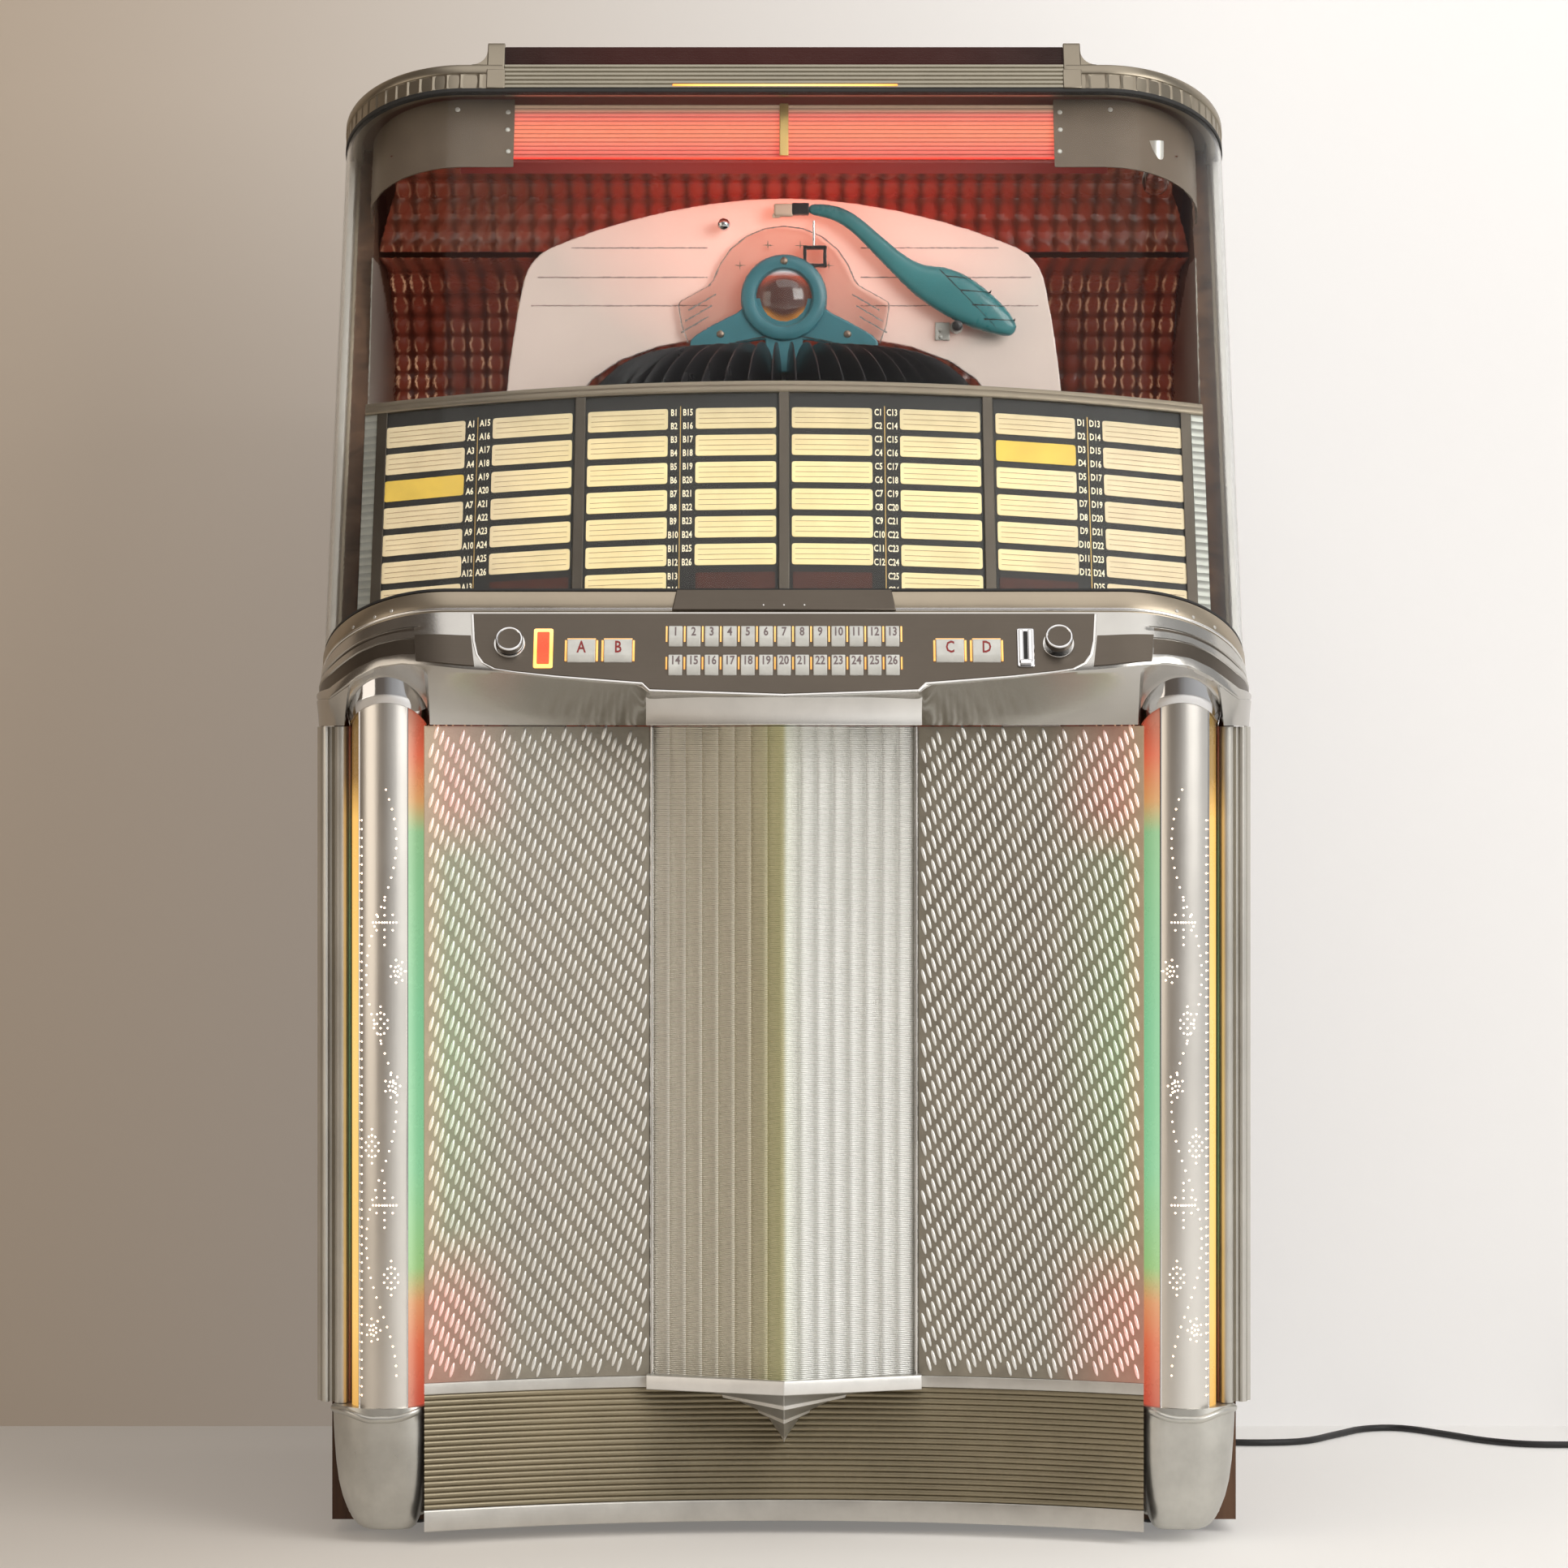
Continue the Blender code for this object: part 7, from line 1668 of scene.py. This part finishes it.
# The head of the lid: a fluted tier and a smooth tier round both corners, a ribbed aluminium extrusion
# between the sign brackets, and a bare, dark reeded sign bar that a red lamp lights from behind.
HEAD_BACK = 0.1345
BRACKET_IN, BRACKET_OUT = 0.259, 0.275
HEAD_LOW, HEAD_STEP, HEAD_TOP = 0.519, 0.5355, 0.5465
FLUTES, FLUTE_LEVELS = 19, (0, 0.06, 0.12, 0.5, 0.86, 0.94, 1)
head_bronze = finish_of("head_satin", (0.31, 0.27, 0.21), 0.32, 0.95, scale=9, amount=0.3, grain=(30, 30, 500))
start_share = FRONT_SHARE * (BRACKET_IN + 0.002) / 0.295
tiers = []
for end in (-1, 1):
    def flute_place(across, along, end=end):
        share = end * (start_share + (1 - start_share) * (across if end > 0 else 1 - across))
        run = (abs(share) - start_share) / (1 - start_share)
        dip = abs(math.sin(math.pi * FLUTES * run ** 1.06))
        level = FLUTE_LEVELS[round(along * 6)]
        cut = 0.0021 * (1 - (1 - dip) ** 2) * (1 - abs(2 * level - 1) ** 6)
        inset = 0.0004 + cut + 0.001 * (level in (0, 1))
        side, behind = band_line(share, LID_HALF - inset, LID_CORNER - inset, inset, HEAD_BACK)
        return LID @ Vector((side, behind, HEAD_LOW + (HEAD_STEP - HEAD_LOW) * level))
    fluted = bent_sheet("fluted", FLUTES * 10, 6, flute_place)
    upper = lid_ring("upper", HEAD_BACK, [(0.0016, HEAD_STEP - 0.0004), (0.0006, HEAD_STEP), (0, HEAD_STEP + 0.001),
        (0, HEAD_TOP - 0.0034), (0.0008, HEAD_TOP - 0.0016), (0.0026, HEAD_TOP - 0.0004), (0.006, HEAD_TOP),
        (0.015, HEAD_TOP), (0.015, HEAD_LOW), (0.0016, HEAD_LOW)], 60, sorted((end * start_share, end)),
        on_seat=False)
    tiers += [fluted, upper]
head = joined("lid_corner_caps", tiers)
smooth(head, 35)
fitted(head, "column_metal", look=head_bronze, body="lid")
rib_section = []
for rib in range(6):
    low = HEAD_LOW + 0.0006 + rib * 0.00445
    rib_section += [(0.0018, low), (0.0004, low + 0.0007), (0.0001, low + 0.0019), (0.0004, low + 0.0031),
        (0.0018, low + 0.004)]
rib_section += [(0.015, HEAD_TOP), (0.015, HEAD_LOW)]
extrusion = lid_ring("lid_head_extrusion", HEAD_BACK, rib_section, 4, (-start_share * 0.992, start_share * 0.992),
    on_seat=False)
smooth(extrusion, 50)
extruded = finish_of("extruded_aluminium", (0.35, 0.32, 0.255), 0.34, 0.9, scale=10, grain=(10, 600, 600))
fitted(extrusion, "column_metal", look=extruded, body="lid")
strip_glow = lit(finish_of("slit_glow", (1, 0.45, 0.1), 0.4, scale=80, amount=0.2), 0, (-0.105, 0.107),
    ((0, (1, 0.2, 0.02)), (0.12, (1, 0.5, 0.1)), (0.5, (1, 0.66, 0.22)), (0.88, (1, 0.5, 0.1)), (1, (1, 0.2, 0.02))),
    2)
fitted(block("head_light_slit", (-0.103, 0.5214, 0), (0.105, 0.5232, 0.0006), LID @ FACE, 0.0003, 1), "lid_clear",
    look=strip_glow, body="lid")
brackets = []
for side in (-1, 1):
    profile = mm([(1, 538.5), (1, 565.5), (2.6, 569.8), (6, 571.4), (13, 571.4), (16, 569), (16, 538.5)])
    low, high = sorted((side * BRACKET_IN, side * BRACKET_OUT))
    brackets.append(slab("bracket", profile, low, high, LID @ ON_EDGE, 0.0009))
    foot_low, foot_high = sorted((side * (BRACKET_IN - 0.0008), side * (BRACKET_OUT + 0.0004)))
    brackets.append(block("post", (foot_low, HEAD_LOW - 0.0002, -0.0024), (foot_high, 0.5395, 0.0009), LID @ FACE,
        0.0009))
    fillet = [(side * BRACKET_OUT, HEAD_TOP - 0.001)]
    fillet += [(side * (BRACKET_OUT + 0.015 - 0.015 * math.sin(turn)), HEAD_TOP - 0.0005 + 0.015
        * (1 - math.cos(turn))) for turn in np.linspace(0, math.pi / 2, 8)]
    if side < 0:
        fillet.reverse()
    brackets.append(slab("fillet", fillet, -0.014, -0.0018, LID @ FACE, 0.0004, 1))
fitted(joined("sign_brackets", brackets), "column_metal", look=head_bronze, body="lid")
SIGN_RIBS = 12


def sign_place(across, along):
    rib = along * SIGN_RIBS % 1
    return LID @ Vector((0.2585 * (2 * across - 1), 0.0046 - 0.0006 * abs(math.sin(math.pi * rib)),
        0.5468 + 0.02 * along))


sign_dark = lit(finish_of("sign_reeded", (0.022, 0.011, 0.009), 0.34, scale=40, amount=0.4), 0, (-0.26, 0.26),
    ((0, (0.08, 0.004, 0.002)), (0.2, (0.3, 0.012, 0.006)), (0.5, (0.36, 0.014, 0.006)), (0.8, (0.3, 0.012, 0.006)),
    (1, (0.08, 0.004, 0.002))), 0.09)
sign_face = bent_sheet("sign_face", 8, SIGN_RIBS * 6, sign_place)
sign_back = block("sign_back", (-0.2605, 0.5466, -0.014), (0.2605, 0.567, -0.005), LID @ FACE)
fitted(joined("sign_bar", [sign_face, sign_back]), "board_enamel", look=sign_dark, body="lid")

# The roof: an enamelled steel panel behind the head, with rounded rear corners. Steel hinge knuckles at
# its rear edge carry the whole lid.
roof_half = mm([(298.5, 16), (400, 90), (402.2, 134.5), (402.2, 409), (398, 429), (385, 445), (365, 453),
    (345, 454.5)])
roof = slab("lid_roof", both_sides(roof_half), 0.5386, 0.546, LID, 0.002, 3)
roof_paint = finish_of("roof_enamel", (0.2, 0.165, 0.125), 0.42, scale=7, amount=0.3, grain=700, bump=0.08)
fitted(roof, "column_metal", look=roof_paint, body="lid")
KNUCKLE_SIDE = mm([(0, 0.3), (7.5, 0.3), (8.8, 1.4), (8.8, 15.3), (7.5, 16.4), (0, 16.4)])
knuckles = [turned("knuckle", KNUCKLE_SIDE, Matrix.Translation((low + 0.05 * index / 3, 0.32492, 1.14006)) @ ACROSS,
    24) for low in (-0.325, 0.275) for index in range(3)]
fitted(joined("lid_hinge_knuckles", knuckles), "chassis_steel", look=dark_steel, body="lid")

# Side channels of satin aluminium close the ends of the glass. Flat metal rails, screwed to the front
# edges of the cabinet's sides, stand right behind them.
channels, rails = [], []
for side in (-1, 1):
    profile = [(0.1225, seat_height(0.1225) + 0.0215), (0.1342, seat_height(0.1342) + 0.0215), (0.1342, 0.5195),
        (0.1225, 0.5195)]
    channels.append(slab("channel", profile, *sorted((side * 0.4058, side * 0.4147)), LID @ ON_EDGE, 0.0008))
    low, high = sorted((side * 0.4027, side * 0.4153))
    rails.append(block("rail", (0.1392, 0.018, low), (0.1498, 0.5762, high), LID @ ON_EDGE))
fitted(joined("lid_side_channels", channels), "column_metal", look=satin, body="lid")
fitted(joined("cabinet_side_rails", rails), "column_metal", look=rail_bronze)

# Under the head, inside the dome: a ribbed plastic lens lit salmon and orange, split by a gilt bar,
# between brown enamelled corner plates, over a dark ledge with red light painted on its middle. A clear
# bulb hangs at the right.
LENS_TOP, LENS_FOOT, LENS_RIBS = 0.5188, 0.463, 13


def lens_place(across, along):
    rib = along * LENS_RIBS % 1
    bulge = 0.0013 * math.sqrt(max(0, 1 - (2 * rib - 1) ** 2))
    return LID @ Vector((0.252 * (2 * across - 1), 0.029 + 0.005 * (1 - along) - bulge,
        LENS_FOOT + (LENS_TOP - LENS_FOOT) * along))


LENS_STOPS = ((0, (0.62, 0.05, 0.04)), (0.12, (0.9, 0.1, 0.075)), (0.38, (1, 0.2, 0.1)), (0.55, (1, 0.19, 0.1)),
    (0.72, (0.8, 0.1, 0.085)), (0.84, (0.24, 0.14, 0.09)), (1, (0.13, 0.15, 0.1)))
lens_salmon = lit(finish_of("header_lens", (0.2, 0.11, 0.08), 0.34), 2, (1.252, 1.306), LENS_STOPS, 0.95)
lens_valley_shade = lit(finish_of("header_lens_valley_shade", (0.12, 0.07, 0.05), 0.4), 2, (1.252, 1.306), LENS_STOPS, 0.55)
header_lens = bent_sheet("header_lens", 24, LENS_RIBS * 6, lens_place)
LID_BACK = LID.inverted()
# The valleys between the ribs glow dimmer: painted shade along the rib lines.
painted(header_lens, (lens_salmon, lens_valley_shade), lambda middle, normal: int(abs(((LID_BACK @ middle).z - LENS_FOOT)
    / (LENS_TOP - LENS_FOOT) * LENS_RIBS % 1 - 0.5) > 0.36))
fitted(header_lens, "lid_clear", body="lid")
fitted(block("header_lens_bar", (-0.0042, LENS_FOOT - 0.001, -0.0275), (0.0042, LENS_TOP, -0.0255), LID @ FACE),
    "column_metal", look=gold, body="lid")
corner_brown = finish_of("corner_plate_mauve", (0.15, 0.112, 0.082), 0.4, 0.3, scale=12, amount=0.35, grain=500,
    bump=0.06)
plates = []
plate_start = FRONT_SHARE * 0.25 / 0.295
for end in (-1, 1):
    def corner_plate_place(across, along, end=end):
        share = end * (plate_start + (0.97 - plate_start) * (across if end > 0 else 1 - across))
        side, behind = band_line(share, LID_HALF - 0.026, LID_CORNER - 0.026, 0.026, HEAD_BACK)
        return LID @ Vector((side, behind, 0.45 + (HEAD_LOW + 0.004 - 0.45) * along))
    plates.append(bent_sheet("plate", 40, 4, corner_plate_place, thickness=0.0012))
fitted(joined("header_corner_plates", plates), "column_metal", look=corner_brown, body="lid")
plate_screws = []
for side in (-1, 1):
    for across, up in ((0.256, 0.509), (0.256, 0.49), (0.255, 0.4665), (0.303, 0.512)):
        plate_screws.append(turned("screw", mm([(0, 1), (1.6, 0.9), (2.3, 0.2), (2.4, -0.4)]),
            LID @ Matrix.Translation((side * across, 0.0258, up)) @ FACE, 12))
fitted(joined("corner_plate_screws", plate_screws), "chrome_trim", look=satin, body="lid")
# Painted light: the ledge glows red at its middle, as if lit by the lens above.
ledge = block("header_ledge", (-0.3, 0.456, -0.048), (0.3, 0.459, -0.0285), LID @ FACE, 0.0008)
fitted(ledge, "column_metal", look=lit(finish_of("ledge_dark_painted_glow", (0.05, 0.012, 0.009), 0.5, amount=0.3), 0,
    (-0.39, 0.39), ((0, (0.02, 0.004, 0.003)), (0.3, (0.25, 0.008, 0.006)), (0.5, (0.36, 0.012, 0.008)),
    (0.7, (0.25, 0.008, 0.006)), (1, (0.02, 0.004, 0.003))), 0.8), body="lid")
red_line = lit(finish_of("ledge_glow", (0.8, 0.05, 0.03), 0.4, scale=60, amount=0.3), 0, (-0.39, 0.39),
    ((0, (0.1, 0.004, 0.002)), (0.3, (0.9, 0.04, 0.02)), (0.5, (1, 0.1, 0.03)), (0.7, (0.9, 0.04, 0.02)),
    (1, (0.1, 0.004, 0.002))), 0.8)
fitted(block("ledge_glow", (-0.262, 0.4592, -0.0284), (0.262, 0.4608, -0.0262), LID @ FACE, 0.0004, 1), "lid_clear",
    look=red_line, body="lid")
bulb_spot = Matrix.Translation((0.345, -0.055, 1.235))
bulb = turned("bulb", mm([(0, -17), (6, -15.8), (10.5, -12), (12.5, -6), (12.2, 0), (10, 6), (7.2, 11), (6.6, 15),
    (0, 15)]), bulb_spot, 28)
bulb_glass = finish_of("bulb_glass", (0.95, 0.94, 0.92), 0.03, scale=10, amount=0, Transmission_Weight=1, IOR=1.3)
fitted(bulb, "lid_clear", look=bulb_glass, body="lid")
cap = turned("bulb_cap", mm([(0, 14), (7.4, 14.2), (7.8, 16), (7.8, 33), (0, 33)]), bulb_spot, 24)
fitted(cap, "chrome_trim", look=satin, body="lid")
